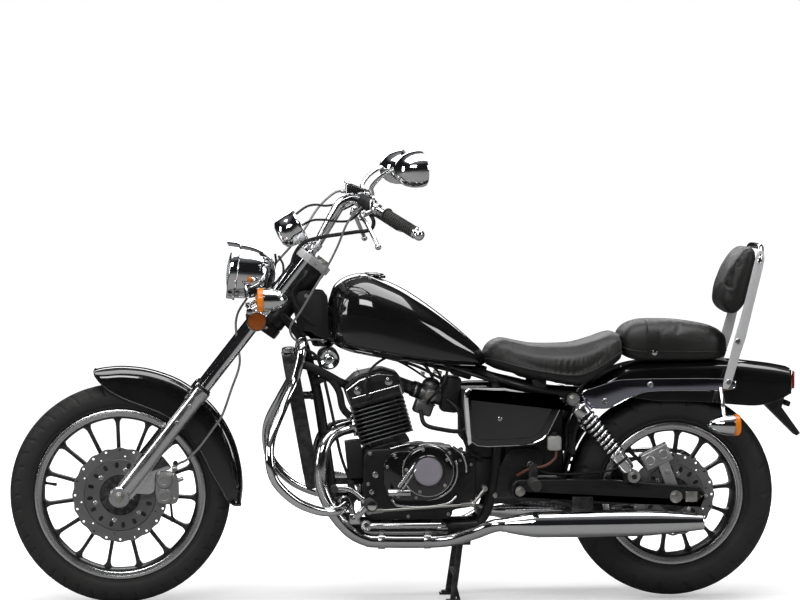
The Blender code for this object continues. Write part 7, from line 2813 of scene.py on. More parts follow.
@dataclass
class Cooling:
    """The radiator with its core, tanks, cap, hoses and fan, and the two horns."""

    def place(self, down: float, deep: float, across: float) -> Vector:
        """A point of the radiator.

        Args:
            down: its distance down the front.
            deep: its distance behind the front.
            across: its Y.

        Returns:
            The point.
        """
        top, low = Vector((0.466, 0, 0.722)), Vector((0.536, 0, 0.332))
        along = (low - top).normalized()
        return top + along * down + Vector((-along.z, 0, along.x)) * deep + ACROSS * across

    def build(self) -> None:
        """Makes and dresses the radiator and the horns."""
        turn = (0, -math.atan2(0.07, 0.39), 0)
        deep = 0.0215
        frame_pieces = [
            block((0.04, 0.188, 0.03), self.place(0.0155, deep, 0), turn, 0.004),
            block((0.04, 0.188, 0.03), self.place(0.38, deep, 0), turn, 0.004),
            block((0.041, 0.012, 0.345), self.place(0.198, deep, -0.088), turn, 0.003),
            block((0.041, 0.012, 0.345), self.place(0.198, deep, 0.088), turn, 0.003),
            block((0.026, 0.17, 0.345), self.place(0.198, deep + 0.002, 0), turn),
        ]
        for x, y, z in ((0.55, 0.045, 0.6), (0.5805, 0.06, 0.4)):
            for side in (-1, 1):
                frame_pieces.append(block((0.024, 0.012, 0.014), (x - 0.0123, side * y, z), round_by=0.0015))
        neck = bar((0.488, -0.06, 0.7), (0.485, -0.06, 0.738), 0.014, 32)
        deliver(
            fuse(frame_pieces + [neck]), "radiator_frame", Body.CHASSIS, SATIN_PAINT,
            ["radiator"],
        )
        fins = []
        for index in range(20):
            across = -0.0785 + 0.157 * index / 19
            fins.append(block((0.034, 0.0014, 0.338), self.place(0.198, deep, across), turn))
        for index in range(44):
            fins.append(block((0.0325, 0.164, 0.0008), self.place(0.032 + 0.332 * index / 43, deep, 0), turn))
        deliver(fuse(fins), "radiator_fins", Body.CHASSIS, DARK_STEEL)
        cap = lathe(
            [
                (0.0, -0.01), (0.0185, -0.01), (0.019, -0.006), (0.019, 0.001), (0.0165, 0.0035),
                (0.011, 0.004), (0.0095, 0.007), (0.0, 0.0078),
            ],
            (0.4855, -0.06, 0.7395), (-0.04, 0, 1), 36,
        )
        wings = block((0.036, 0.008, 0.005), (0.4855, -0.06, 0.7425), (0, -0.04, 0.5), 0.0015)
        deliver(fuse([cap, wings]), "radiator_cap", Body.CHASSIS, POLISHED)
        hoses = [
            pipe(
                flow(
                    [
                        self.place(0.028, 0.03, -0.07), (0.545, -0.078, 0.69), (0.59, -0.075, 0.668),
                        (0.64, -0.06, 0.64), (0.676, -0.04, 0.628),
                    ],
                    8,
                ),
                0.0125, 20,
            ),
            pipe(
                flow(
                    [
                        self.place(0.372, 0.034, 0.06), (0.6, 0.075, 0.33), (0.65, 0.08, 0.3),
                        (0.706, 0.07, 0.296),
                    ],
                    8,
                ),
                0.0125, 20,
            ),
            pipe(
                flow(
                    [
                        (0.503, -0.06, 0.726), (0.54, -0.066, 0.735), (0.575, -0.07, 0.7),
                        (0.61, -0.072, 0.56), (0.64, -0.075, 0.42), (0.69, -0.09, 0.3),
                    ],
                    8,
                ),
                0.0045, 12,
            ),
        ]
        deliver(fuse(hoses), "coolant_hoses", Body.CHASSIS, HOSE_RUBBER)
        clips = [
            bar((0.664, -0.046, 0.631), (0.672, -0.042, 0.629), 0.0142, 24, round_by=0.0006),
            bar(
                self.place(0.03, 0.036, -0.072), self.place(0.031, 0.043, -0.074), 0.0142, 24,
                round_by=0.0006,
            ),
        ]
        deliver(fuse(clips), "hose_clips", Body.CHASSIS, STEEL)
        rings = []
        domes = []
        for side in (-1, 1):
            start = Vector((0.603, side * 0.034, 0.71))
            rings.append(
                lathe(
                    [
                        (0.0, 0.0), (0.024, 0.0), (0.027, 0.004), (0.03, 0.018), (0.031, 0.022),
                        (0.031, 0.03), (0.029, 0.033), (0.026, 0.034), (0.0, 0.034),
                    ],
                    start, ACROSS * side, 48,
                ),
            )
            domes.append(
                lathe(
                    [
                        (0.027, 0.034), (0.0285, 0.04), (0.0275, 0.046), (0.024, 0.05), (0.018, 0.046),
                        (0.015, 0.044), (0.009, 0.046), (0.006, 0.05), (0.0, 0.0503),
                    ],
                    start, ACROSS * side, 48,
                ),
            )
        rings.append(bar((0.603, -0.04, 0.71), (0.603, 0.04, 0.71), 0.008, 20))
        rings.append(bar((0.5553, 0, 0.708), (0.605, 0, 0.708), 0.007, 20))
        deliver(fuse(rings), "horn_bodies", Body.CHASSIS, SATIN_PAINT, ["horns"])
        deliver(fuse(domes), "horn_rims", Body.CHASSIS, CHROME)


@dataclass
class CrashBars:
    """The engine guards on both sides."""

    path: tuple[Point, ...] = (
        (0.648, -0.0753, 0.3), (0.648, -0.11, 0.3), (0.646, -0.165, 0.296), (0.62, -0.208, 0.286),
        (0.565, -0.238, 0.292), (0.5, -0.258, 0.322), (0.445, -0.268, 0.378), (0.428, -0.268, 0.44),
        (0.434, -0.238, 0.504), (0.468, -0.162, 0.58), (0.498, -0.124, 0.64), (0.516, -0.115, 0.7),
        (0.523, -0.108, 0.738), (0.527, -0.085, 0.757), (0.527, -0.0483, 0.757),
    )

    def build(self) -> None:
        """Makes and dresses the guards with their clamps."""
        left = pipe(flow(self.path, 8), 0.0135, 28)
        deliver(
            both_sides(left), "crash_bars", Body.CHASSIS, CHROME,
            ["crash_bar_left", "crash_bar_right"], 60.0,
        )
        clamps = [
            bar((0.527, -0.05, 0.757), (0.527, -0.06, 0.757), 0.016, 28, round_by=0.001),
            bar((0.648, -0.076, 0.3), (0.648, -0.086, 0.3), 0.016, 28, round_by=0.001),
        ]
        deliver(both_sides(fuse(clamps)), "crash_bar_flanges", Body.CHASSIS, POLISHED)


@dataclass
class Engine:
    """The engine: cases with covers, finned barrel, head, carburettor and their fasteners."""

    foot: Vector = field(default_factory=lambda: Vector((0.78, 0, 0.4523)))
    lean: float = math.radians(16.0)

    def up(self) -> Vector:
        """The direction of the barrel."""
        return Vector((-math.sin(self.lean), 0, math.cos(self.lean)))

    def slope(self) -> Vector:
        """The direction across the barrel, to the rear."""
        up = self.up()
        return Vector((up.z, 0, -up.x))

    def build(self) -> None:
        """Makes and dresses every piece of the engine."""
        self.cases()
        self.left_cover()
        self.barrel()
        self.head()
        self.carburettor()

    def cases(self) -> None:
        """The crankcase halves, the gearbox, the right covers and the front sprocket."""
        outline = [
            (0.7, 0.262), (0.7, 0.43), (0.716, 0.452), (0.96, 0.452), (0.972, 0.436), (1.026, 0.424),
            (1.03, 0.41), (1.03, 0.286), (1.018, 0.275), (0.966, 0.268), (0.946, 0.246), (0.716, 0.246),
        ]
        line = soften(outline, 0.14, 2)
        core = slab(line, -0.05, 0.05, 0.004)
        case_line = soften(
            [
                (0.7, 0.262), (0.7, 0.43), (0.716, 0.452), (0.944, 0.452), (0.96, 0.436), (0.96, 0.262),
                (0.946, 0.246), (0.716, 0.246),
            ],
            0.14, 2,
        )
        case = slab(case_line, -0.0998, 0.0998, 0.006, 3)
        flange = slab(inset_outline(case_line, -0.0015), -0.0035, 0.0035, 0.0008)
        right = lathe(
            [
                (0.0, 0.0), (0.082, 0.0), (0.082, 0.012), (0.08, 0.022), (0.075, 0.03), (0.066, 0.0335),
                (0.03, 0.034), (0.028, 0.0325), (0.0, 0.0325),
            ],
            (0.872, 0.09, 0.372), ACROSS, 72,
        )
        kick = lathe(
            [(0.0, 0.0), (0.045, 0.0), (0.045, 0.01), (0.04, 0.02), (0.03, 0.022), (0.0, 0.022)],
            (0.77, 0.09, 0.33), ACROSS, 48,
        )
        sump = [block((0.12, 0.11, 0.006), (0.83, 0, 0.2445), round_by=0.0015)]
        sump += [
            block((0.1, 0.004, 0.008), (0.83, y, 0.244), round_by=0.001)
            for y in (-0.04, -0.02, 0.0, 0.02, 0.04)
        ]
        deliver(
            fuse([core, case, flange, right, kick] + sump), "engine_cases", Body.CHASSIS, CASE_BLACK,
            ["engine_crankcase"],
        )
        at = Vector((1.012, 0, 0.335))
        shaft = bar(at + ACROSS * 0.04, at + ACROSS * 0.096, 0.012, 28, round_by=0.001)
        sprocket = self.sprocket(at + ACROSS * 0.086, 0.0372, 10, 0.0027)
        deliver(fuse([shaft, sprocket]), "front_sprocket", Body.CHASSIS, STEEL)
        bolts = []
        for x, z in (
            (0.714, 0.27), (0.714, 0.35), (0.72, 0.438), (0.948, 0.438), (0.95, 0.35), (0.946, 0.262),
            (0.83, 0.256),
        ):
            bolts.append(socket_bolt((x, -0.0998, z), -ACROSS, 0.0052, 0.005))
            bolts.append(socket_bolt((x, 0.0998, z), ACROSS, 0.0052, 0.005))
        for index in range(7):
            angle = TURN * index / 7 + 0.3
            bolts.append(
                socket_bolt(
                    (0.872 + 0.0785 * math.cos(angle), 0.1135, 0.372 + 0.0785 * math.sin(angle)), ACROSS,
                    0.0045, 0.0045,
                ),
            )
        for x, z in ((0.985, 0.412), (1.016, 0.4), (1.018, 0.292)):
            bolts.append(socket_bolt((x, -0.05, z), -ACROSS, 0.0048, 0.005))
        bolts.append(hex_bolt((0.8, 0.0, 0.242), -UP, 0.0095, 0.008))
        deliver(fuse(bolts), "engine_case_bolts", Body.CHASSIS, STEEL)

    def sprocket(self, at: Vector, radius: float, teeth: int, half: float) -> bpy.types.Object:
        """A chain wheel with pointed teeth.

        Args:
            at: its middle.
            radius: the radius at the roots and tips' middle.
            teeth: the number of teeth.
            half: half its thickness.

        Returns:
            The new object.
        """
        edge = []
        for index in range(teeth):
            for share, reach in (
                (0.0, radius - 0.0045), (0.25, radius - 0.003), (0.42, radius + 0.0018),
                (0.58, radius + 0.0018), (0.75, radius - 0.003),
            ):
                angle = TURN * (index + share) / teeth
                edge.append((at.x + reach * math.cos(angle), at.z + reach * math.sin(angle)))
        return slab(edge, at.y - half, at.y + half, 0.0006, 1)

    def left_cover(self) -> None:
        """The left cover: a plate, the round generator cover and its bare cap."""
        x, z = 0.886, 0.389
        lobe = [
            (0.762, 0.323), (0.756, 0.41), (0.785, 0.446), (0.852, 0.447), (0.93, 0.325), (0.9, 0.303),
            (0.791, 0.303),
        ]
        low = slab(soften(lobe, 0.16, 2), -0.1183, -0.1003, 0.003, 3)
        raised = slab(inset_outline(soften(lobe, 0.16, 2), 0.016), -0.12, -0.116, 0.0018)
        drum = lathe(
            [
                (0.0, 0.0), (0.078, 0.0), (0.078, 0.01), (0.0765, 0.018), (0.0725, 0.0245), (0.066, 0.0275),
                (0.052, 0.0283), (0.0, 0.0283),
            ],
            (x, -0.1003, z), -ACROSS, 96,
        )
        deliver(
            fuse([low, raised, drum]), "left_cover_skin", Body.CHASSIS, GLOSS_PAINT,
            ["engine_cover_left"],
        )
        ring = lathe(
            [
                (0.047, 0.0275), (0.048, 0.03), (0.0475, 0.0325), (0.0455, 0.0342), (0.042, 0.0342),
                (0.041, 0.0325), (0.0405, 0.03), (0.047, 0.0275),
            ],
            (x, -0.1003, z), -ACROSS, 96,
        )
        edge = lathe(
            [
                (0.0745, 0.0222), (0.075, 0.0235), (0.0738, 0.025), (0.0722, 0.0252), (0.0715, 0.024),
                (0.0745, 0.0222),
            ],
            (x, -0.1003, z), -ACROSS, 96,
        )
        deliver(ring, "left_cover_ring", Body.CHASSIS, GLOSS_PAINT)
        deliver(edge, "left_cover_edge", Body.CHASSIS, POLISHED)
        cap = lathe(
            [(0.0, 0.0335), (0.02, 0.0333), (0.036, 0.0322), (0.0408, 0.031), (0.0408, 0.028), (0.0, 0.028)],
            (x, -0.1003, z), -ACROSS, 72,
        )
        deliver(cap, "left_cover_cap", Body.CHASSIS, CAP_GREY)
        bolts = []
        for index in range(5):
            angle = TURN * index / 5 + 0.55
            bolts.append(
                socket_bolt(
                    (x + 0.0635 * math.cos(angle), -0.1276, z + 0.0635 * math.sin(angle)), -ACROSS, 0.0048,
                    0.004,
                ),
            )
        for bx, bz in ((0.774, 0.333), (0.768, 0.402), (0.79, 0.434), (0.8, 0.316), (0.852, 0.312)):
            bolts.append(socket_bolt((bx, -0.1183, bz), -ACROSS, 0.0045, 0.0042))
        deliver(fuse(bolts), "left_cover_bolts", Body.CHASSIS, STEEL)

    def barrel(self) -> None:
        """The barrel with its nine fins, whose machined edges shine."""
        up, slope = self.up(), self.slope()
        turn = (0, -self.lean, 0)
        pieces = [block((0.108, 0.12, 0.15), self.foot + up * 0.075, turn, 0.008)]
        edges = []
        for index in range(9):
            at = self.foot + up * (0.032 + 0.012125 * index)
            pieces.append(block((0.156, 0.171, 0.0036), at, turn, 0.001))
            edges.append(block((0.003, 0.06, 0.0028), at + slope * 0.0775, turn, 0.0006))
            for side in (-1, 1):
                edges.append(block((0.12, 0.0022, 0.0026), at + ACROSS * side * 0.0848, turn, 0.0006))
        base = block((0.12, 0.13, 0.012), self.foot + up * 0.007, turn, 0.002)
        deliver(
            fuse(pieces + [base]), "barrel_fins", Body.CHASSIS, CASE_BLACK,
            ["engine_cylinder"],
        )
        deliver(fuse(edges), "barrel_fin_edges", Body.CHASSIS, DARK_ALLOY)

    def head(self) -> None:
        """The head with its cover, chamfers, plug and intake stub."""
        up, slope = self.up(), self.slope()
        low = self.foot + up * 0.1373
        first, last = low + slope * 0.085, low - slope * 0.078
        outline = [
            (0.644, 0.628), (0.684, 0.665), (0.758, 0.68), (0.806, 0.665), (first.x, first.z),
            (last.x, last.z),
        ]
        body = slab(soften(outline, 0.1, 2), -0.0838, 0.0838, 0.006, 3)
        rib = [
            slab(
                soften(inset_outline(outline, 0.012), 0.1, 2),
                side * 0.0838 - 0.0015, side * 0.0838 + 0.0015, 0.0008,
            )
            for side in (-1, 1)
        ]
        for index in range(3):
            at = low + up * (0.01 + 0.012 * index)
            rib.append(block((0.15, 0.1695, 0.0036), at, (0, -self.lean, 0), 0.001))
        port = Vector((0.845, 0, 0.62))
        throat = Vector((math.cos(math.radians(20)), 0, -math.sin(math.radians(20))))
        stub = bar(port - throat * 0.055, port, 0.02, 28)
        deliver(
            fuse([body, stub] + rib), "head_casting", Body.CHASSIS, CASE_BLACK,
            ["cylinder_head"],
        )
        lines = []
        for side in (-1, 1):
            y = side * 0.0842
            for radius, line in (
                (0.0016, [(0.652, 0.619), (0.69, 0.648), (0.742, 0.667), (0.786, 0.663)]),
                (0.0013, [(0.652, 0.617), (0.668, 0.568)]),
                (0.0017, [(0.67, 0.597), (0.736, 0.616), (0.802, 0.634)]),
                (0.003, [(0.805, 0.638), (0.814, 0.608)]),
            ):
                lines.append(pipe([(x, y, z) for x, z in line], radius, 8))
        lines.append(pipe([(0.69, -0.0838, 0.6705), (0.69, 0.0838, 0.6705)], 0.0012, 8))
        deliver(fuse(lines), "head_chamfers", Body.CHASSIS, POLISHED)
        bolts = []
        for side in (-1, 1):
            for x, z in ((0.685, 0.619), (0.774, 0.646)):
                bolts.append(hex_bolt((x, side * 0.0838, z), ACROSS * side, 0.0085, 0.009))
        plug = bar((0.722, -0.0838, 0.6), (0.722, -0.1, 0.6), 0.0085, 6, round_by=0.001)
        deliver(fuse(bolts + [plug]), "head_bolts", Body.CHASSIS, POLISHED)
        cap = [bar((0.722, -0.094, 0.6), (0.712, -0.118, 0.606), 0.009, 24, round_by=0.002)]
        cap.append(
            pipe(
                flow(
                    [
                        (0.712, -0.118, 0.606), (0.705, -0.118, 0.64), (0.73, -0.095, 0.69),
                        (0.79, -0.06, 0.72), (0.86, -0.03, 0.712),
                    ],
                    8,
                ),
                0.0038, 12,
            ),
        )
        deliver(fuse(cap), "plug_lead", Body.CHASSIS, HOSE_RUBBER)

    def carburettor(self) -> None:
        """The carburettor between its rubber stubs: body, domed top, float bowl and lever."""
        port = Vector((0.845, 0, 0.62))
        throat = Vector((math.cos(math.radians(20)), 0, -math.sin(math.radians(20))))
        up = Vector((math.sin(math.radians(20)), 0, math.cos(math.radians(20))))
        middle = port + throat * 0.058
        body = [
            bar(port + throat * 0.026, port + throat * 0.098, 0.0215, 36, round_by=0.002),
            lathe(
                [
                    (0.0, -0.03), (0.024, -0.03), (0.025, 0.02), (0.0268, 0.024), (0.0268, 0.031),
                    (0.025, 0.034), (0.022, 0.042), (0.014, 0.048), (0.0, 0.05),
                ],
                port + throat * 0.052, up, 40,
            ),
            block(
                (0.056, 0.052, 0.04), middle - throat * 0.006 - up * 0.042, (0, math.radians(20), 0), 0.007,
                3,
            ),
            block(
                (0.06, 0.056, 0.004), middle - throat * 0.006 - up * 0.024, (0, math.radians(20), 0), 0.001
            ),
        ]
        deliver(fuse(body), "carburettor_body", Body.CHASSIS, CARRIER_ALLOY, ["carburettor"])
        rubbers = [
            bar(port + throat * 0.0003, port + throat * 0.028, 0.0235, 36, round_by=0.002),
            bar(port + throat * 0.096, port + throat * 0.141, 0.0235, 36, round_by=0.002),
        ]
        feed = flow(
            [
                middle - ACROSS * 0.024 - up * 0.026, middle - ACROSS * 0.055 - up * 0.01,
                (0.935, -0.07, 0.64), (0.95, -0.05, 0.69),
            ],
            8,
        )
        rubbers.append(pipe(feed, 0.0042, 12))
        deliver(fuse(rubbers), "intake_rubbers", Body.CHASSIS, HOSE_RUBBER)
        trim = []
        for at in (0.01, 0.106, 0.134):
            trim.append(bar(port + throat * at, port + throat * (at + 0.006), 0.0245, 36, round_by=0.0008))
        for side in (-1, 1):
            for along in (-0.018, 0.018):
                at = port + throat * (0.052 + along * 0.8) + ACROSS * side * 0.019 + up * 0.0335
                trim.append(socket_bolt(at - up * 0.003, up, 0.0032, 0.004))
        wheel = lathe(
            [
                (0.0, 0.0), (0.018, 0.0), (0.019, 0.002), (0.017, 0.0035), (0.015, 0.0035), (0.014, 0.006),
                (0.011, 0.0065), (0.009, 0.0045), (0.0, 0.005),
            ],
            middle - ACROSS * 0.026, -ACROSS, 32,
        )
        drain = bar(
            middle - up * 0.06 - ACROSS * 0.004, middle - up * 0.068 - ACROSS * 0.004, 0.005, 6,
            round_by=0.0006,
        )
        deliver(fuse(trim + [wheel, drain]), "carburettor_trim", Body.CHASSIS, STEEL)


@dataclass
class Exhausts:
    """The headers with their clamps, and the mufflers."""

    def build(self) -> None:
        """Makes and dresses both exhausts."""
        up = Vector((-math.sin(math.radians(16)), 0, math.cos(math.radians(16))))
        slope = Vector((up.z, 0, -up.x))
        port = Vector((0.78, 0, 0.4523)) + up * 0.088 - slope * 0.0793 - ACROSS * 0.05
        route = [
            port - slope * 0.002, port - slope * 0.016, (0.632, -0.068, 0.503), (0.602, -0.094, 0.485),
            (0.585, -0.112, 0.455), (0.577, -0.12, 0.41), (0.578, -0.12, 0.357), (0.594, -0.12, 0.307),
            (0.624, -0.12, 0.257), (0.663, -0.12, 0.215), (0.705, -0.12, 0.193), (0.745, -0.12, 0.187),
            (0.925, -0.12, 0.187), (1.01, -0.145, 0.21), (1.055, -0.168, 0.23), (1.08, -0.176, 0.238),
            (1.11, -0.176, 0.2387),
        ]
        header = pipe(flow(route, 8), 0.019, 36)
        deliver(
            both_sides(header), "headers", Body.CHASSIS, HEADER_CHROME,
            ["exhaust_left", "exhaust_right"], 60.0,
        )
        end = Vector((1.676, -0.176, 0.2435))
        axis = Vector((math.cos(math.radians(0.49)), 0, math.sin(math.radians(0.49))))
        outside = [
            (0.0203, -0.581), (0.0203, -0.572), (0.024, -0.56), (0.03, -0.53), (0.0345, -0.505),
            (0.0368, -0.488), (0.0378, -0.478), (0.0376, -0.47), (0.0384, -0.4), (0.0395, -0.3),
            (0.039, -0.22), (0.0378, -0.16), (0.0376, -0.152), (0.0362, -0.14), (0.033, -0.1),
            (0.0285, -0.05), (0.0235, -0.004), (0.0232, 0.0), (0.022, 0.001), (0.0205, 0.0), (0.02, -0.004),
            (0.02, -0.06), (0.0, -0.06),
        ]
        deliver(
            both_sides(lathe(outside, end, axis, 80)), "mufflers", Body.CHASSIS, CHROME,
            angle=50.0,
        )
        clamps = []
        for x in (0.752, 0.884):
            clamps.append(
                lathe(
                    [
                        (0.0192, -0.01), (0.022, -0.01), (0.0225, -0.008), (0.0225, 0.008), (0.022, 0.01),
                        (0.0192, 0.01),
                    ],
                    (x, -0.12, 0.187), Vector((1, 0, 0)), 36,
                ),
            )
            clamps.append(block((0.014, 0.006, 0.014), (x, -0.12, 0.2125), round_by=0.0015))
            clamps.append(bar((x, -0.131, 0.213), (x, -0.109, 0.213), 0.0035, 12))
        flange = lathe(
            [(0.0192, 0.0), (0.03, 0.0), (0.0305, 0.002), (0.03, 0.0055), (0.025, 0.007), (0.0192, 0.007)],
            port, -slope, 40,
        )
        nuts = []
        for turn in (-1, 1):
            at = port + up * 0.024 * turn - slope * 0.003
            nuts.append(hex_bolt(at, -slope, 0.005, 0.009))
        bracket = block((0.06, 0.004, 0.05), (1.33, -0.148, 0.29), round_by=0.0012)
        deliver(
            both_sides(fuse(clamps + [flange] + nuts)), "exhaust_clamps", Body.CHASSIS, POLISHED
        )
        arm = pipe(flow([(1.3, -0.138, 0.258), (1.3, -0.13, 0.285), (1.24, -0.128, 0.3)], 6), 0.006, 12)
        deliver(
            both_sides(fuse([bracket, arm])), "muffler_hangers", Body.CHASSIS, SATIN_PAINT
        )


@dataclass
class Swingarm:
    """The swingarm with its cross tube, shock pins, pivot nuts and the rear axle."""

    half: float = 0.111

    def build(self) -> None:
        """Makes and dresses the swingarm."""
        line = [
            (1.128, 0.314), (1.142, 0.301), (1.4, 0.29), (1.676, 0.286), (1.69, 0.3), (1.69, 0.322),
            (1.676, 0.338), (1.385, 0.362), (1.142, 0.362), (1.128, 0.346),
        ]
        arm = slab(soften(line, 0.1, 2), -self.half - 0.013, -self.half + 0.013, 0.0035, 3)
        inlay = slab(
            inset_outline(soften(line, 0.1, 2), 0.012), -self.half - 0.014, -self.half - 0.012, 0.0008
        )
        side = [
            arm, inlay,
            bar(
                (1.477, -self.half + 0.013, 0.366), (1.477, -self.half - 0.013, 0.366), 0.024, 36,
                round_by=0.002,
            ),
            bar((1.477, -self.half, 0.374), (1.477, -0.172, 0.374), 0.008, 24, round_by=0.001),
            bar((1.151, -self.half, 0.33), (1.151, -0.134, 0.33), 0.016, 32, round_by=0.002),
        ]
        pieces = [both_sides(fuse(side))]
        pieces.append(block((0.066, 0.222, 0.044), (1.25, 0, 0.33), round_by=0.006))
        pieces.append(bar((1.151, -self.half, 0.33), (1.151, self.half, 0.33), 0.01, 24))
        deliver(fuse(pieces), "swingarm_body", Body.CHASSIS, SATIN_PAINT, ["swingarm"])
        axle = [
            bar((1.605, -0.072, 0.3105), (1.605, -self.half, 0.3105), 0.012, 32, round_by=0.001),
            bar((1.605, 0.09, 0.3105), (1.605, self.half, 0.3105), 0.012, 32, round_by=0.001),
            bar((1.605, -self.half, 0.3105), (1.605, self.half, 0.3105), 0.008, 24),
            hex_bolt((1.605, -self.half - 0.0135, 0.3105), -ACROSS, 0.0135, 0.011),
            hex_bolt((1.605, self.half + 0.0135, 0.3105), ACROSS, 0.0135, 0.011),
            hex_bolt((1.477, -0.1625, 0.374), -ACROSS, 0.0105, 0.009),
            hex_bolt((1.477, 0.1625, 0.374), ACROSS, 0.0105, 0.009),
        ]
        for y in (-1, 1):
            axle.append(
                block((0.034, 0.004, 0.03), (1.65, y * (self.half + 0.0145), 0.3105), round_by=0.0012)
            )
            axle.append(
                bar(
                    (1.66, y * (self.half + 0.01), 0.3105), (1.698, y * (self.half + 0.01), 0.3105), 0.004,
                    16,
                ),
            )
            axle.append(
                bar(
                    (1.688, y * (self.half + 0.01), 0.3105), (1.694, y * (self.half + 0.01), 0.3105), 0.0075,
                    6,
                ),
            )
        deliver(fuse(axle), "rear_axle", Body.CHASSIS, STEEL)


@dataclass
class Shocks:
    """The two shock absorbers with their chromed springs."""

    turns: int = 9

    def build(self) -> None:
        """Makes and dresses both shock absorbers."""
        upper, lower = Vector((1.301, -0.15, 0.597)), Vector((1.477, -0.15, 0.374))
        along = (lower - upper).normalized()
        length = (lower - upper).length
        aside = Vector((along.z, 0, -along.x))
        coil = []
        steps = self.turns * 20
        for index in range(steps + 1):
            angle = TURN * index / 20
            share = index / steps
            centre = upper + along * (0.058 + 0.142 * share)
            coil.append(centre + aside * 0.0225 * math.cos(angle) + ACROSS * 0.0225 * math.sin(angle))
        spring = pipe(coil, 0.0041, 12)
        deliver(
            both_sides(spring), "shock_springs", Body.CHASSIS, CHROME,
            ["shock_left", "shock_right"], 60.0,
        )
        metal = [
            lathe(
                [
                    (0.0088, -0.012), (0.0185, -0.012), (0.019, -0.01), (0.019, 0.01), (0.0185, 0.012),
                    (0.0088, 0.012),
                ],
                upper, ACROSS, 40,
            ),
            lathe(
                [
                    (0.0088, -0.012), (0.0185, -0.012), (0.019, -0.01), (0.019, 0.01), (0.0185, 0.012),
                    (0.0088, 0.012),
                ],
                lower, ACROSS, 40,
            ),
            bar(upper + along * 0.015, lower - along * 0.015, 0.0075, 24),
            lathe(
                [
                    (0.0, 0.018), (0.014, 0.02), (0.024, 0.026), (0.026, 0.03), (0.026, 0.05),
                    (0.0255, 0.054), (0.0235, 0.056), (0.0, 0.056),
                ],
                upper, along, 48,
            ),
            lathe(
                [
                    (0.0, 0.2), (0.0262, 0.2), (0.0265, 0.204), (0.024, 0.208), (0.0225, 0.212),
                    (0.0215, length - 0.03), (0.018, length - 0.022), (0.0, length - 0.02),
                ],
                upper, along, 48,
            ),
        ]
        deliver(both_sides(fuse(metal)), "shock_metal", Body.CHASSIS, POLISHED)
        dark = [
            bar(upper + along * 0.056, upper + along * 0.2, 0.0145, 32),
            bar(upper - ACROSS * 0.0125, upper + ACROSS * 0.0125, 0.0115, 28),
            bar(lower - ACROSS * 0.0125, lower + ACROSS * 0.0125, 0.0115, 28),
        ]
        collar = lathe([(0.0222, 0.222), (0.0228, 0.223), (0.0228, 0.229), (0.0222, 0.23)], upper, along, 40)
        deliver(both_sides(fuse(dark + [collar])), "shock_bodies", Body.CHASSIS, MOULDED)


@dataclass
class RearCaliper:
    """The rear caliper on its bracket, with its hose."""

    def build(self) -> None:
        """Makes and dresses the caliper."""
        turn = (0, math.radians(-26), 0)
        centre = Vector((1.553, -0.0735, 0.421))
        body = [
            block((0.086, 0.017, 0.052), centre - ACROSS * 0.0135, turn, 0.005, 3),
            block((0.086, 0.016, 0.052), centre + ACROSS * 0.014, turn, 0.005, 3),
            block((0.04, 0.042, 0.01), centre + Vector((0.009, 0, 0.0185)), turn, 0.003),
        ]
        for shift in (-0.022, 0.022):
            spot = centre + Vector(
                (shift * math.cos(math.radians(26)), -0.022, shift * math.sin(math.radians(26)))
            )
            body.append(
                lathe(
                    [
                        (0.0, 0.0), (0.015, 0.0), (0.015, 0.003), (0.012, 0.0045), (0.011, 0.0035),
                        (0.0, 0.0035),
                    ],
                    spot + ACROSS * 0.002, -ACROSS, 28,
                ),
            )
        arm = slab(
            soften(
                [(1.545, 0.43), (1.58, 0.43), (1.622, 0.322), (1.618, 0.296), (1.592, 0.296), (1.584, 0.33)],
                0.14, 2,
            ),
            -0.0935, -0.0875, 0.001,
        )
        bore = bar((1.605, -0.12, 0.3105), (1.605, -0.07, 0.3105), 0.0124, 32)
        arm = carve(arm, [bore])
        deliver(
            fuse(body + [arm]), "rear_caliper_body", Body.CHASSIS, CAST_ALLOY, ["rear_caliper"]
        )
        bolts = [
            hex_bolt((1.56, -0.0935, 0.424), -ACROSS, 0.0055, 0.006),
            hex_bolt((1.585, -0.0935, 0.38), -ACROSS, 0.0055, 0.006),
            bar(centre + Vector((0.02, -0.012, 0.03)), centre + Vector((0.024, -0.012, 0.045)), 0.0035, 6),
        ]
        deliver(fuse(bolts), "rear_caliper_bolts", Body.CHASSIS, STEEL)
        route = [
            centre + Vector((-0.03, -0.004, 0.008)), (1.49, -0.082, 0.415), (1.42, -0.092, 0.385),
            (1.33, -0.1, 0.376), (1.24, -0.1, 0.378), (1.16, -0.085, 0.4),
        ]
        deliver_lead(flow(route, 8), 0.0036, "rear_brake_hose", Body.CHASSIS, HOSE_RUBBER)


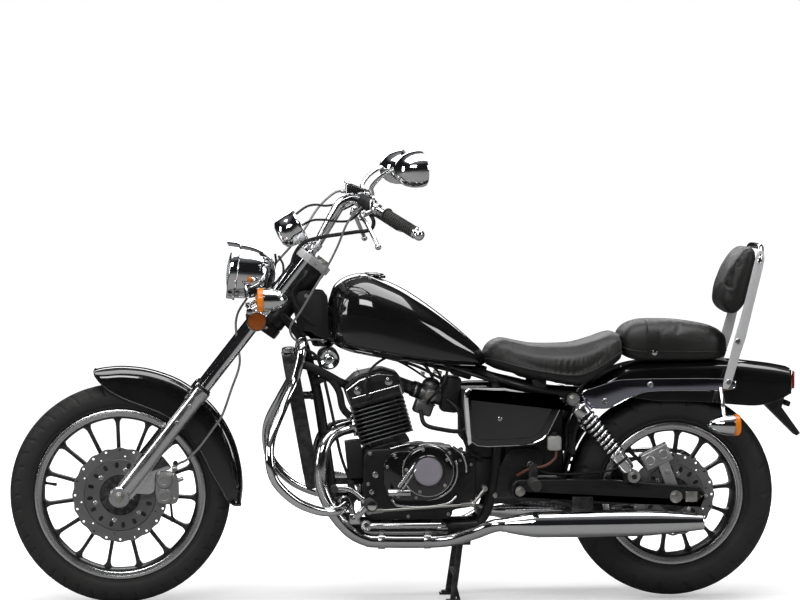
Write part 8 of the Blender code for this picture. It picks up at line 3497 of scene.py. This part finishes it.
@dataclass
class Chain:
    """The drive chain as single links, its guard and the guard's stay."""

    pitch: float = 0.0127

    def path(self) -> list[Vector]:
        """The places of the links around both sprockets.

        Returns:
            The places.
        """
        front, rear = Vector((1.012, 0.086, 0.335)), Vector((1.605, 0.086, 0.3105))
        first, second = 0.0386, 0.0926
        gap = rear - front
        line = math.atan2(gap.z, gap.x)
        lean = math.asin((second - first) / gap.length)
        top, bottom = line + QUARTER + lean, line - QUARTER - lean
        points = []
        for index in range(41):
            angle = top + (bottom - top) * index / 40
            points.append(rear + Vector((math.cos(angle), 0, math.sin(angle))) * second)
        for index in range(25):
            angle = bottom + (top - TURN - bottom) * index / 24
            points.append(front + Vector((math.cos(angle), 0, math.sin(angle))) * first)
        points.append(points[0])
        total = sum((b - a).length for a, b in zip(points, points[1:]))
        count = 2 * round(total / self.pitch / 2)
        step = total / count
        made = []
        travelled, target = 0.0, 0.0
        for a, b in zip(points, points[1:]):
            reach = (b - a).length
            while target < travelled + reach - 1e-9 and len(made) < count:
                made.append(a.lerp(b, (target - travelled) / reach))
                target += step
            travelled += reach
        return made

    def build(self) -> None:
        """Makes and dresses the chain and its guard."""
        outer, inner, pins = [], [], []
        places = self.path()
        for index, spot in enumerate(places):
            following = places[(index + 1) % len(places)]
            middle, turn = (spot + following) / 2, following - spot
            lean = math.atan2(-turn.z, turn.x)
            half = 0.0057 if index % 2 else 0.0043
            group = outer if index % 2 else inner
            for side in (-1, 1):
                group.append(
                    block(
                        (self.pitch + 0.0086, 0.0013, 0.01), middle + ACROSS * side * half, (0, lean, 0),
                        0.0005, 1,
                    ),
                )
            pins.append(bar(spot - ACROSS * 0.0064, spot + ACROSS * 0.0064, 0.0022, 10))
            pins.append(bar(spot - ACROSS * 0.0034, spot + ACROSS * 0.0034, 0.004, 12))
        deliver(fuse(outer + inner), "chain_links", Body.CHASSIS, DARK_STEEL, ["drive_chain"])
        deliver(fuse(pins), "chain_pins", Body.CHASSIS, STEEL)
        line = [
            (1.27, 0.412), (1.48, 0.428), (1.605, 0.433), (1.66, 0.424), (1.7, 0.398), (1.688, 0.39),
            (1.65, 0.414), (1.605, 0.421), (1.48, 0.416), (1.27, 0.4),
        ]
        cover = slab(soften(line, 0.12, 2), 0.077, 0.103, 0.0018)
        stay = bar((1.38, 0.099, 0.415), (1.38, 0.104, 0.3635), 0.005, 20)
        deliver(fuse([cover, stay]), "chain_guard_cover", Body.CHASSIS, CHROME, ["chain_guard"])


@dataclass
class FootControls:
    """The forward pegs, the gear pedal with its linkage and the brake pedal."""

    def build(self) -> None:
        """Makes and dresses the controls."""
        arm = [
            bar((0.672, -0.176, 0.258), (0.712, -0.19, 0.305), 0.0095, 28, round_by=0.002),
            bead(0.0105, (0.712, -0.19, 0.305), (1, 1, 1), 24, 16),
            pipe(flow([(0.708, -0.182, 0.305), (0.66, -0.192, 0.345), (0.61, -0.2, 0.352)], 8), 0.0065, 20),
            bar((0.672, -0.0001, 0.258), (0.672, -0.18, 0.258), 0.009, 28, round_by=0.001),
            block((0.03, 0.012, 0.03), (0.672, -0.168, 0.258), round_by=0.003),
        ]
        deliver(both_sides(fuse(arm)), "peg_arms", Body.CHASSIS, POLISHED, ["front_footpegs"])
        tread = [(0.0, 0.0), (0.0165, 0.0), (0.017, 0.003)]
        for index in range(9):
            at = 0.007 + 0.0098 * index
            tread += [(0.0168, at), (0.0168, at + 0.006), (0.0146, at + 0.0072), (0.0146, at + 0.0086)]
        tread += [(0.0168, 0.095), (0.0165, 0.097), (0.0, 0.099)]
        axis = Vector((0.004, -0.099, 0.004))
        peg = lathe(tread, (0.712, -0.186, 0.305), axis, 36)
        toe_profile = [(0.0, 0.0), (0.01, 0.0)]
        for index in range(5):
            at = 0.004 + 0.0095 * index
            toe_profile += [(0.0104, at), (0.0104, at + 0.0055), (0.009, at + 0.0065), (0.009, at + 0.0085)]
        toe_profile += [(0.0104, 0.053), (0.0095, 0.056), (0.0, 0.0562)]
        toe = lathe(toe_profile, (0.612, -0.194, 0.351), Vector((0, -0.056, 0.002)), 28)
        deliver(
            both_sides(fuse([peg, toe])), "peg_rubbers", Body.CHASSIS, GRIP_RUBBER,
            angle=30.0,
        )
        caps = [
            lathe(
                [(0.0, 0.0), (0.013, 0.0), (0.0125, 0.002), (0.007, 0.003), (0.0, 0.0034)],
                (0.7161, -0.2835, 0.309), -ACROSS, 28,
            ),
            hex_bolt((0.7, -0.196, 0.315), -ACROSS, 0.0075, 0.007),
            hex_bolt((0.672, -0.178, 0.258), -ACROSS, 0.008, 0.008),
        ]
        deliver(both_sides(fuse(caps)), "peg_trim", Body.CHASSIS, CHROME)
        link = [
            bar((0.73, -0.176, 0.281), (1.002, -0.12, 0.291), 0.0036, 16),
            bar((0.716, -0.18, 0.28), (0.752, -0.172, 0.282), 0.0062, 6),
            bar((0.98, -0.1245, 0.2902), (1.012, -0.118, 0.2914), 0.0062, 6),
            bead(0.0088, (1.016, -0.117, 0.2918), (1, 0.8, 1), 20, 14),
            bead(0.0088, (0.712, -0.181, 0.28), (1, 0.8, 1), 20, 14),
            pipe(
                flow([(1.016, -0.117, 0.2918), (1.034, -0.108, 0.312), (1.052, -0.098, 0.334)], 4), 0.005, 16
            ),
            bar((1.052, -0.104, 0.334), (1.052, -0.05, 0.334), 0.008, 24, round_by=0.001),
            pipe(flow([(0.712, -0.181, 0.28), (0.704, -0.184, 0.295), (0.7, -0.186, 0.305)], 4), 0.005, 16),
        ]
        deliver(fuse(link), "gear_linkage", Body.CHASSIS, STEEL)


@dataclass
class Stands:
    """The centre stand, which carries the motorcycle, and the folded side stand."""

    def build(self) -> None:
        """Makes and dresses both stands."""
        foot_x = 0.96
        side = [
            bar((0.985, -0.078, 0.19), (foot_x, -0.088, 0.01), 0.0085, 28),
            block((0.052, 0.026, 0.006), (foot_x, -0.088, 0.003), round_by=0.001),
            block((0.04, 0.02, 0.012), (foot_x, -0.088, 0.007), round_by=0.003),
            pipe(
                flow(
                    [
                        (foot_x + 0.018, -0.09, 0.01), (foot_x + 0.01, -0.09, 0.04),
                        (foot_x + 0.006, -0.088, 0.06),
                    ],
                    5,
                ),
                0.005, 16,
            ),
        ]
        share = 0.11 / 0.19
        brace_x = 0.985 - 0.025 * share
        stand = [
            both_sides(fuse(side)),
            bar((0.985, -0.086, 0.19), (0.985, 0.086, 0.19), 0.011, 32, round_by=0.001),
            bar((brace_x, -0.082, 0.08), (brace_x, 0.082, 0.08), 0.008, 24),
        ]
        deliver(
            fuse(stand), "centre_stand_frame", Body.CENTRE_STAND, SATIN_PAINT,
            ["centre_stand"],
        )
        pivot = Vector((0.706, -0.152, 0.236))
        axis = Vector((0, math.cos(math.radians(20)), -math.sin(math.radians(20))))
        end = pivot + Vector((0.215, 0, 0))
        leg = [
            lathe(
                [
                    (0.0069, -0.008), (0.0145, -0.008), (0.015, -0.0065), (0.015, 0.0055), (0.0145, 0.007),
                    (0.0069, 0.007), (0.0069, -0.008),
                ],
                pivot, axis, 40,
            ),
            bar(pivot + Vector((0.0115, 0, 0)), end, 0.0083, 28, round_by=0.001),
            block((0.03, 0.026, 0.006), end + Vector((0.004, 0, -0.007)), round_by=0.0015),
            block((0.022, 0.018, 0.016), end + Vector((0.002, 0, 0.0)), round_by=0.004),
        ]
        deliver(fuse(leg), "side_stand_leg", Body.SIDE_STAND, POLISHED, ["side_stand"])


@dataclass
class Cables:
    """Control cables, wiring, hoses and the small dark pieces between frame and engine."""

    def build(self) -> None:
        """Makes and dresses every cable and the pieces they lead to."""
        self.across_the_steering()
        self.behind_the_headlamp()
        self.under_the_tank()
        self.beside_the_engine()
        self.reservoir()

    def across_the_steering(self) -> None:
        """The cables from the handlebar that cross the steering, left on no body."""
        routes = {
            "clutch_cable": (
                CABLE_GREY, 0.0032,
                [
                    (0.69, -0.238, 1.152), (0.668, -0.236, 1.132), (0.646, -0.226, 1.1),
                    (0.622, -0.19, 1.037), (0.594, -0.155, 0.978), (0.56, -0.128, 0.919),
                    (0.52, -0.112, 0.85), (0.49, -0.098, 0.802), (0.51, -0.076, 0.764), (0.57, -0.056, 0.765),
                    (0.66, -0.048, 0.745),
                ],
            ),
            "throttle_cable": (
                HOSE_RUBBER, 0.0032,
                [
                    (0.69, 0.25, 1.15), (0.62, 0.215, 1.11), (0.56, 0.13, 1.02), (0.52, 0.07, 0.93),
                    (0.505, 0.06, 0.86), (0.56, 0.048, 0.8), (0.68, 0.045, 0.75), (0.82, 0.04, 0.69),
                    (0.9, 0.034, 0.64),
                ],
            ),
            "wiring_loom": (
                HOSE_RUBBER, 0.0055,
                [
                    (0.706, -0.246, 1.143), (0.722, -0.262, 1.112), (0.712, -0.252, 1.088),
                    (0.672, -0.222, 1.081), (0.633, -0.185, 1.074), (0.577, -0.13, 1.063),
                    (0.53, -0.088, 1.046), (0.502, -0.07, 1.007), (0.494, -0.072, 0.95), (0.5, -0.08, 0.88),
                    (0.54, -0.062, 0.825), (0.6, -0.042, 0.79), (0.72, -0.035, 0.74),
                ],
            ),
        }
        for name, (finish, radius, route) in routes.items():
            bends = (Vector((0.56 - ORIGIN_X, 0, 0.76)), Vector((0.5 - ORIGIN_X, 0, 0.95)))
            deliver_lead(flow(route, 8), radius, name, Body.CHASSIS, finish, bends=bends)

    def behind_the_headlamp(self) -> None:
        """Cables between the speedometer, the headlamp and the handlebar, all on the steering."""
        routes = [
            [
                (0.503, 0.02, 1.12), (0.54, 0.05, 1.146), (0.57, 0.09, 1.152), (0.599, 0.13, 1.148),
                (0.63, 0.15, 1.152), (0.655, 0.166, 1.163),
            ],
            [
                (0.52, -0.01, 1.09), (0.555, -0.04, 1.109), (0.592, -0.09, 1.112), (0.625, -0.15, 1.109),
                (0.66, -0.205, 1.115), (0.695, -0.232, 1.148),
            ],
            [(0.45, 0.02, 1.01), (0.452, 0.03, 0.985), (0.44, 0.032, 0.95), (0.42, 0.03, 0.915)],
            [(0.459, -0.02, 1.006), (0.472, -0.034, 0.98), (0.47, -0.044, 0.945), (0.455, -0.048, 0.9)],
            [(0.4, -0.03, 0.905), (0.44, -0.052, 0.925), (0.48, -0.066, 0.955), (0.5, -0.072, 1.0)],
        ]
        for index, route in enumerate(routes, 1):
            deliver_lead(flow(route, 8), 0.0034, f"front_cable_{index}", Body.STEERING, HOSE_RUBBER)

    def under_the_tank(self) -> None:
        """The wiring, coil and fuel hoses in the dark gap under the tank and the seat."""
        routes = [
            [
                (0.57, -0.04, 0.79), (0.64, -0.05, 0.765), (0.72, -0.052, 0.738), (0.83, -0.05, 0.705),
                (0.96, -0.052, 0.672),
            ],
            [
                (0.6, -0.052, 0.77), (0.69, -0.06, 0.735), (0.76, -0.06, 0.715), (0.85, -0.058, 0.69),
                (0.93, -0.06, 0.65),
            ],
            [(0.77, -0.048, 0.74), (0.83, -0.058, 0.72), (0.88, -0.06, 0.69), (0.905, -0.05, 0.652)],
            [(0.86, -0.052, 0.705), (0.9, -0.062, 0.69), (0.925, -0.06, 0.66), (0.93, -0.048, 0.63)],
            [(0.94, -0.05, 0.69), (0.99, -0.07, 0.672), (1.04, -0.072, 0.655), (1.085, -0.068, 0.64)],
            [(0.66, 0.05, 0.745), (0.76, 0.056, 0.722), (0.88, 0.056, 0.69), (1.0, 0.062, 0.665)],
        ]
        pieces = [pipe(flow(route, 8), 0.0042, 12) for route in routes]
        pieces.append(block((0.085, 0.042, 0.034), (0.7, -0.018, 0.755), (0, 0.4, 0), 0.005))
        pieces.append(block((0.06, 0.05, 0.03), (0.99, -0.02, 0.668), (0, 0.3, 0), 0.005))
        deliver(fuse(pieces), "wiring_under_tank", Body.CHASSIS, HOSE_RUBBER, angle=50.0)
        bright = [
            pipe([(0.8, -0.064, 0.728), (0.836, -0.064, 0.7)], 0.0018, 8),
            pipe([(0.818, -0.064, 0.728), (0.852, -0.064, 0.698)], 0.0018, 8),
            pipe([(0.842, -0.064, 0.722), (0.874, -0.064, 0.706)], 0.0018, 8),
            bar((0.868, -0.062, 0.668), (0.88, -0.062, 0.664), 0.006, 16, round_by=0.0008),
            bar((0.905, -0.06, 0.672), (0.93, -0.06, 0.668), 0.005, 16, round_by=0.0008),
        ]
        deliver(fuse(bright), "cable_ferrules", Body.CHASSIS, STEEL)

    def beside_the_engine(self) -> None:
        """The regulator, coolant branches, breather and battery panel around the engine."""
        dark = [
            pipe(
                flow(
                    [
                        (0.56, -0.052, 0.64), (0.6, -0.066, 0.655), (0.63, -0.072, 0.62),
                        (0.642, -0.07, 0.57), (0.662, -0.066, 0.545),
                    ],
                    8,
                ),
                0.0105, 20,
            ),
            pipe(
                flow(
                    [
                        (0.868, -0.06, 0.56), (0.88, -0.075, 0.52), (0.93, -0.08, 0.505),
                        (0.985, -0.078, 0.5), (1.02, -0.07, 0.52),
                    ],
                    8,
                ),
                0.0065, 16,
            ),
            pipe(
                flow(
                    [
                        (0.945, -0.06, 0.59), (0.975, -0.078, 0.56), (0.985, -0.08, 0.5),
                        (1.01, -0.075, 0.44), (1.04, -0.068, 0.42),
                    ],
                    8,
                ),
                0.0045, 14,
            ),
            block((0.044, 0.052, 0.11), (0.676, -0.06, 0.42), (0, -0.1, 0), 0.006),
            block((0.02, 0.05, 0.06), (0.668, -0.062, 0.33), (0, -0.1, 0), 0.004),
            block((0.075, 0.12, 0.17), (1.045, 0.0, 0.505), (0, 0, 0), 0.01),
            block((0.055, 0.1, 0.11), (1.055, 0.0, 0.365), (0, 0, 0), 0.01),
            block((0.173, 0.118, 0.2), (1.1985, 0.0, 0.468), (0, 0, 0), 0.01),
            block((0.052, 0.096, 0.104), (0.958, -0.006, 0.603), (0, 0.12, 0), 0.01),
        ]
        arc = [math.radians(a) for a in range(144, 187, 3)]
        edge = [(1.605 + 0.3235 * math.cos(a), 0.3105 + 0.3235 * math.sin(a)) for a in arc]
        edge += [(1.605 + 0.318 * math.cos(a), 0.3105 + 0.318 * math.sin(a)) for a in reversed(arc)]
        dark.append(slab(edge, -0.072, 0.072, 0.001, 1))
        for index in range(5):
            dark.append(
                block((0.046, 0.004, 0.108), (0.676, -0.042 - 0.011 * index, 0.42), (0, -0.1, 0), 0.001)
            )
        deliver(fuse(dark), "engine_bay_boxes", Body.CHASSIS, MOULDED, angle=40.0)
        bright = [
            bar((0.8005, -0.13, 0.3435), (0.8445, -0.13, 0.4065), 0.0052, 16, round_by=0.0012),
            bar((0.812, -0.13, 0.3395), (0.852, -0.13, 0.3965), 0.0032, 16, round_by=0.001),
            bar((0.77, -0.121, 0.327), (0.836, -0.121, 0.327), 0.0105, 24, round_by=0.003),
            pipe(
                flow([
                    (0.78, -0.12, 0.308), (0.8, -0.121, 0.29), (0.85, -0.121, 0.285), (0.9, -0.12, 0.287),
                    (0.945, -0.118, 0.296), (0.968, -0.115, 0.315),
                ], 8),
                0.0036, 14,
            ),
            pipe(flow([(0.778, -0.1, 0.452), (0.805, -0.101, 0.46), (0.835, -0.102, 0.466)], 6), 0.0022, 12),
            pipe(
                [
                    (0.887 + 0.0835 * math.cos(a), -0.108, 0.389 + 0.0835 * math.sin(a))
                    for a in [math.radians(k) for k in range(-110, 25, 5)]
                ],
                0.0042, 14,
            ),
            bar((0.735, -0.099, 0.377), (0.735, -0.106, 0.377), 0.009, 24, round_by=0.001),
            bar((0.724, -0.099, 0.328), (0.724, -0.109, 0.328), 0.008, 6, round_by=0.001),
            bar((0.985, -0.052, 0.445), (0.985, -0.066, 0.445), 0.008, 6, round_by=0.001),
            pipe(
                flow([
                    (0.96, -0.086, 0.455), (0.985, -0.084, 0.435), (0.998, -0.078, 0.405), (1.0, -0.07, 0.38),
                ], 5),
                0.0045, 12,
            ),
        ]
        deliver(fuse(bright), "engine_left_trim", Body.CHASSIS, POLISHED)

    def reservoir(self) -> None:
        """The small expansion bottle under the seat, with its brown hose."""
        bottle = block((0.04, 0.036, 0.042), (1.251, -0.118, 0.468), (0, 0, 0), 0.008, 3)
        cap = bar((1.251, -0.118, 0.488), (1.251, -0.118, 0.5), 0.0105, 24, round_by=0.002)
        deliver(bottle, "expansion_bottle", Body.CHASSIS, BOTTLE_GREY)
        deliver(cap, "expansion_bottle_cap", Body.CHASSIS, MOULDED)
        route = [
            (1.145, -0.1, 0.372), (1.18, -0.11, 0.392), (1.225, -0.117, 0.402), (1.254, -0.119, 0.425),
            (1.256, -0.118, 0.449),
        ]
        deliver_lead(flow(route, 8), 0.0042, "expansion_hose", Body.CHASSIS, BROWN_HOSE)


@dataclass
class Studio:
    """The pale floor, the lamps and the camera at the photograph's angle."""

    lens: float = 131.9
    eye: tuple[float, float, float] = (0.291, -8.5, 1.33)
    yaw: float = math.radians(3.51)
    pitch: float = math.radians(3.05)
    near_white: float = 0.36

    def build(self) -> None:
        """Sets the stage, the light and the camera."""
        self.floor()
        self.world()
        self.lamps()
        self.camera()

    def floor_material(self) -> bpy.types.Material:
        """Pale matt paper: it keeps the shadows near the wheels and is white further out.

        Returns:
            The material.
        """
        made = bpy.data.materials.new("studio floor")
        made.use_nodes = True
        nodes, links = made.node_tree.nodes, made.node_tree.links
        shader = nodes["Principled BSDF"]
        shader.inputs["Roughness"].default_value = 0.9
        shader.inputs["Specular IOR Level"].default_value = 0.0
        shader.inputs["Emission Color"].default_value = (1, 1, 1, 1)
        path = nodes.new("ShaderNodeLightPath")
        pale, dim = (0.8, 0.8, 0.8, 1), (0.26, 0.26, 0.255, 1)
        links.new(
            mix_node(nodes, links, path.outputs["Is Glossy Ray"], pale, dim), shader.inputs["Base Color"]
        )
        where = nodes.new("ShaderNodeTexCoord")
        shrink = nodes.new("ShaderNodeMapping")
        shrink.inputs["Scale"].default_value = (0.55, 0.9, 1.0)
        links.new(where.outputs["Object"], shrink.inputs["Vector"])
        far = nodes.new("ShaderNodeVectorMath")
        far.operation = "LENGTH"
        links.new(shrink.outputs["Vector"], far.inputs[0])
        ramp = nodes.new("ShaderNodeMapRange")
        ramp.interpolation_type = "SMOOTHSTEP"
        links.new(far.outputs["Value"], ramp.inputs["Value"])
        ramp.inputs["From Min"].default_value = 0.55
        ramp.inputs["From Max"].default_value = 1.5
        ramp.inputs["To Min"].default_value = self.near_white
        ramp.inputs["To Max"].default_value = 1.0
        seen = math_node(
            nodes, links, "MAXIMUM", path.outputs["Is Camera Ray"], path.outputs["Is Transmission Ray"]
        )
        shown = math_node(nodes, links, "MULTIPLY", seen, ramp.outputs["Result"])
        links.new(shown, shader.inputs["Emission Strength"])
        return made

    def floor(self) -> None:
        """The floor."""
        rest()
        bpy.ops.mesh.primitive_plane_add(size=1, location=(0, 0, -0.0005))
        ground = bpy.context.object
        ground.scale = (60, 60, 1)
        settle(ground)
        ground.name = "studio_floor"
        ground.data.materials.append(self.floor_material())

    def world(self) -> None:
        """A dim studio around the object: dark at eye level, brighter overhead."""
        world = bpy.data.worlds.new("studio")
        bpy.context.scene.world = world
        world.use_nodes = True
        nodes, links = world.node_tree.nodes, world.node_tree.links
        shade = nodes["Background"]
        where = nodes.new("ShaderNodeTexCoord")
        split = nodes.new("ShaderNodeSeparateXYZ")
        links.new(where.outputs["Generated"], split.inputs[0])
        ramp = nodes.new("ShaderNodeValToRGB")
        ramp.color_ramp.elements[0].position = 0.6
        ramp.color_ramp.elements[0].color = (0.012, 0.012, 0.013, 1)
        ramp.color_ramp.elements[1].position = 1.0
        ramp.color_ramp.elements[1].color = (0.32, 0.32, 0.33, 1)
        links.new(split.outputs["Z"], ramp.inputs["Fac"])
        path = nodes.new("ShaderNodeLightPath")
        seen = math_node(
            nodes, links, "MAXIMUM", path.outputs["Is Camera Ray"], path.outputs["Is Transmission Ray"]
        )
        white = mix_node(nodes, links, seen, ramp.outputs["Color"], (1.0, 1.0, 1.0, 1.0))
        links.new(white, shade.inputs["Color"])
        shade.inputs["Strength"].default_value = 1.0

    def lamps(self) -> None:
        """Soft boxes overhead, in front and at both ends."""
        for name, at, aim, size, power in (
            ("overhead_box", (0.1, -0.3, 3.6), (0.0, 0.0, 0.6), (4.4, 2.2), 125.0),
            ("front_box", (-1.6, -4.4, 3.3), (0.0, 0.0, 0.5), (2.4, 1.4), 85.0),
            ("rear_end_box", (3.8, -2.2, 1.9), (0.3, 0.0, 0.5), (1.0, 2.0), 36.0),
            ("front_end_box", (-4.0, -1.2, 1.7), (-0.4, 0.0, 0.5), (1.0, 2.0), 36.0),
            ("back_box", (0.0, 4.0, 2.6), (0.0, 0.0, 0.5), (4.0, 1.4), 60.0),
        ):
            bpy.ops.object.light_add(type="AREA", location=at)
            lamp = bpy.context.object
            lamp.name = name
            lamp.data.shape = "RECTANGLE"
            lamp.data.size, lamp.data.size_y = size
            lamp.data.energy = power
            lamp.rotation_euler = (Vector(aim) - Vector(at)).to_track_quat("-Z", "Y").to_euler()

    def camera(self) -> None:
        """The camera, standing where the photograph was taken from."""
        data = bpy.data.cameras.new("photograph_camera")
        data.lens = self.lens
        data.sensor_width = 36.0
        data.clip_end = 100.0
        camera = bpy.data.objects.new("photograph_camera", data)
        camera.location = (self.eye[0] - ORIGIN_X, self.eye[1], self.eye[2])
        camera.rotation_euler = (QUARTER - self.pitch, 0.0, -self.yaw)
        bpy.context.scene.collection.objects.link(camera)
        bpy.context.scene.camera = camera
        bpy.context.scene.view_settings.view_transform = "Standard"


def dress_sprocket() -> None:
    """Rounds and dresses a copy of the rear sprocket, which keeps its CAD form."""
    copy = from_cad("rear_sprocket")
    rounding = {"width": 0.0005, "segments": 2, "limit_method": "ANGLE", "angle_limit": math.radians(50)}
    modify(copy, "BEVEL", use_clamp_overlap=True, **rounding)
    deliver(copy, "rear_sprocket_dressed", Body.REAR_WHEEL, STEEL, ["rear_sprocket"], 50.0)


def main() -> None:
    """Builds the motorcycle's looks, one sub-assembly after another."""
    random.seed(7)
    parts = [
        Studio(),
        Wheel(
            "front", Body.FRONT_WHEEL, FRONT_AXLE, 0.3185, 0.05, 0.246, 0.04, 15, 0.35, -0.0528, 0.1375,
            0.103, 0.059, 44,
        ),
        Wheel(
            "rear", Body.REAR_WHEEL, REAR_AXLE, 0.3025, 0.07, 0.208, 0.052, 14, 0.1, -0.068, 0.1215, 0.088,
            0.05, 22,
        ),
        Fork(), FrontFender(), Tank(), NeckCover(), Seats(), SideCovers(), RearFender(), Rails(), Tail(),
        Cockpit(), Mirrors(), Headlamp(), Speedometer(), FrontIndicators(), Frame(), Cooling(), CrashBars(),
        Engine(), Exhausts(), Swingarm(), Shocks(), RearCaliper(), Chain(), FootControls(), Stands(),
        Cables(),
    ]
    for part in parts:
        part.build()
    dress_sprocket()


if __name__ == "__main__":
    main()
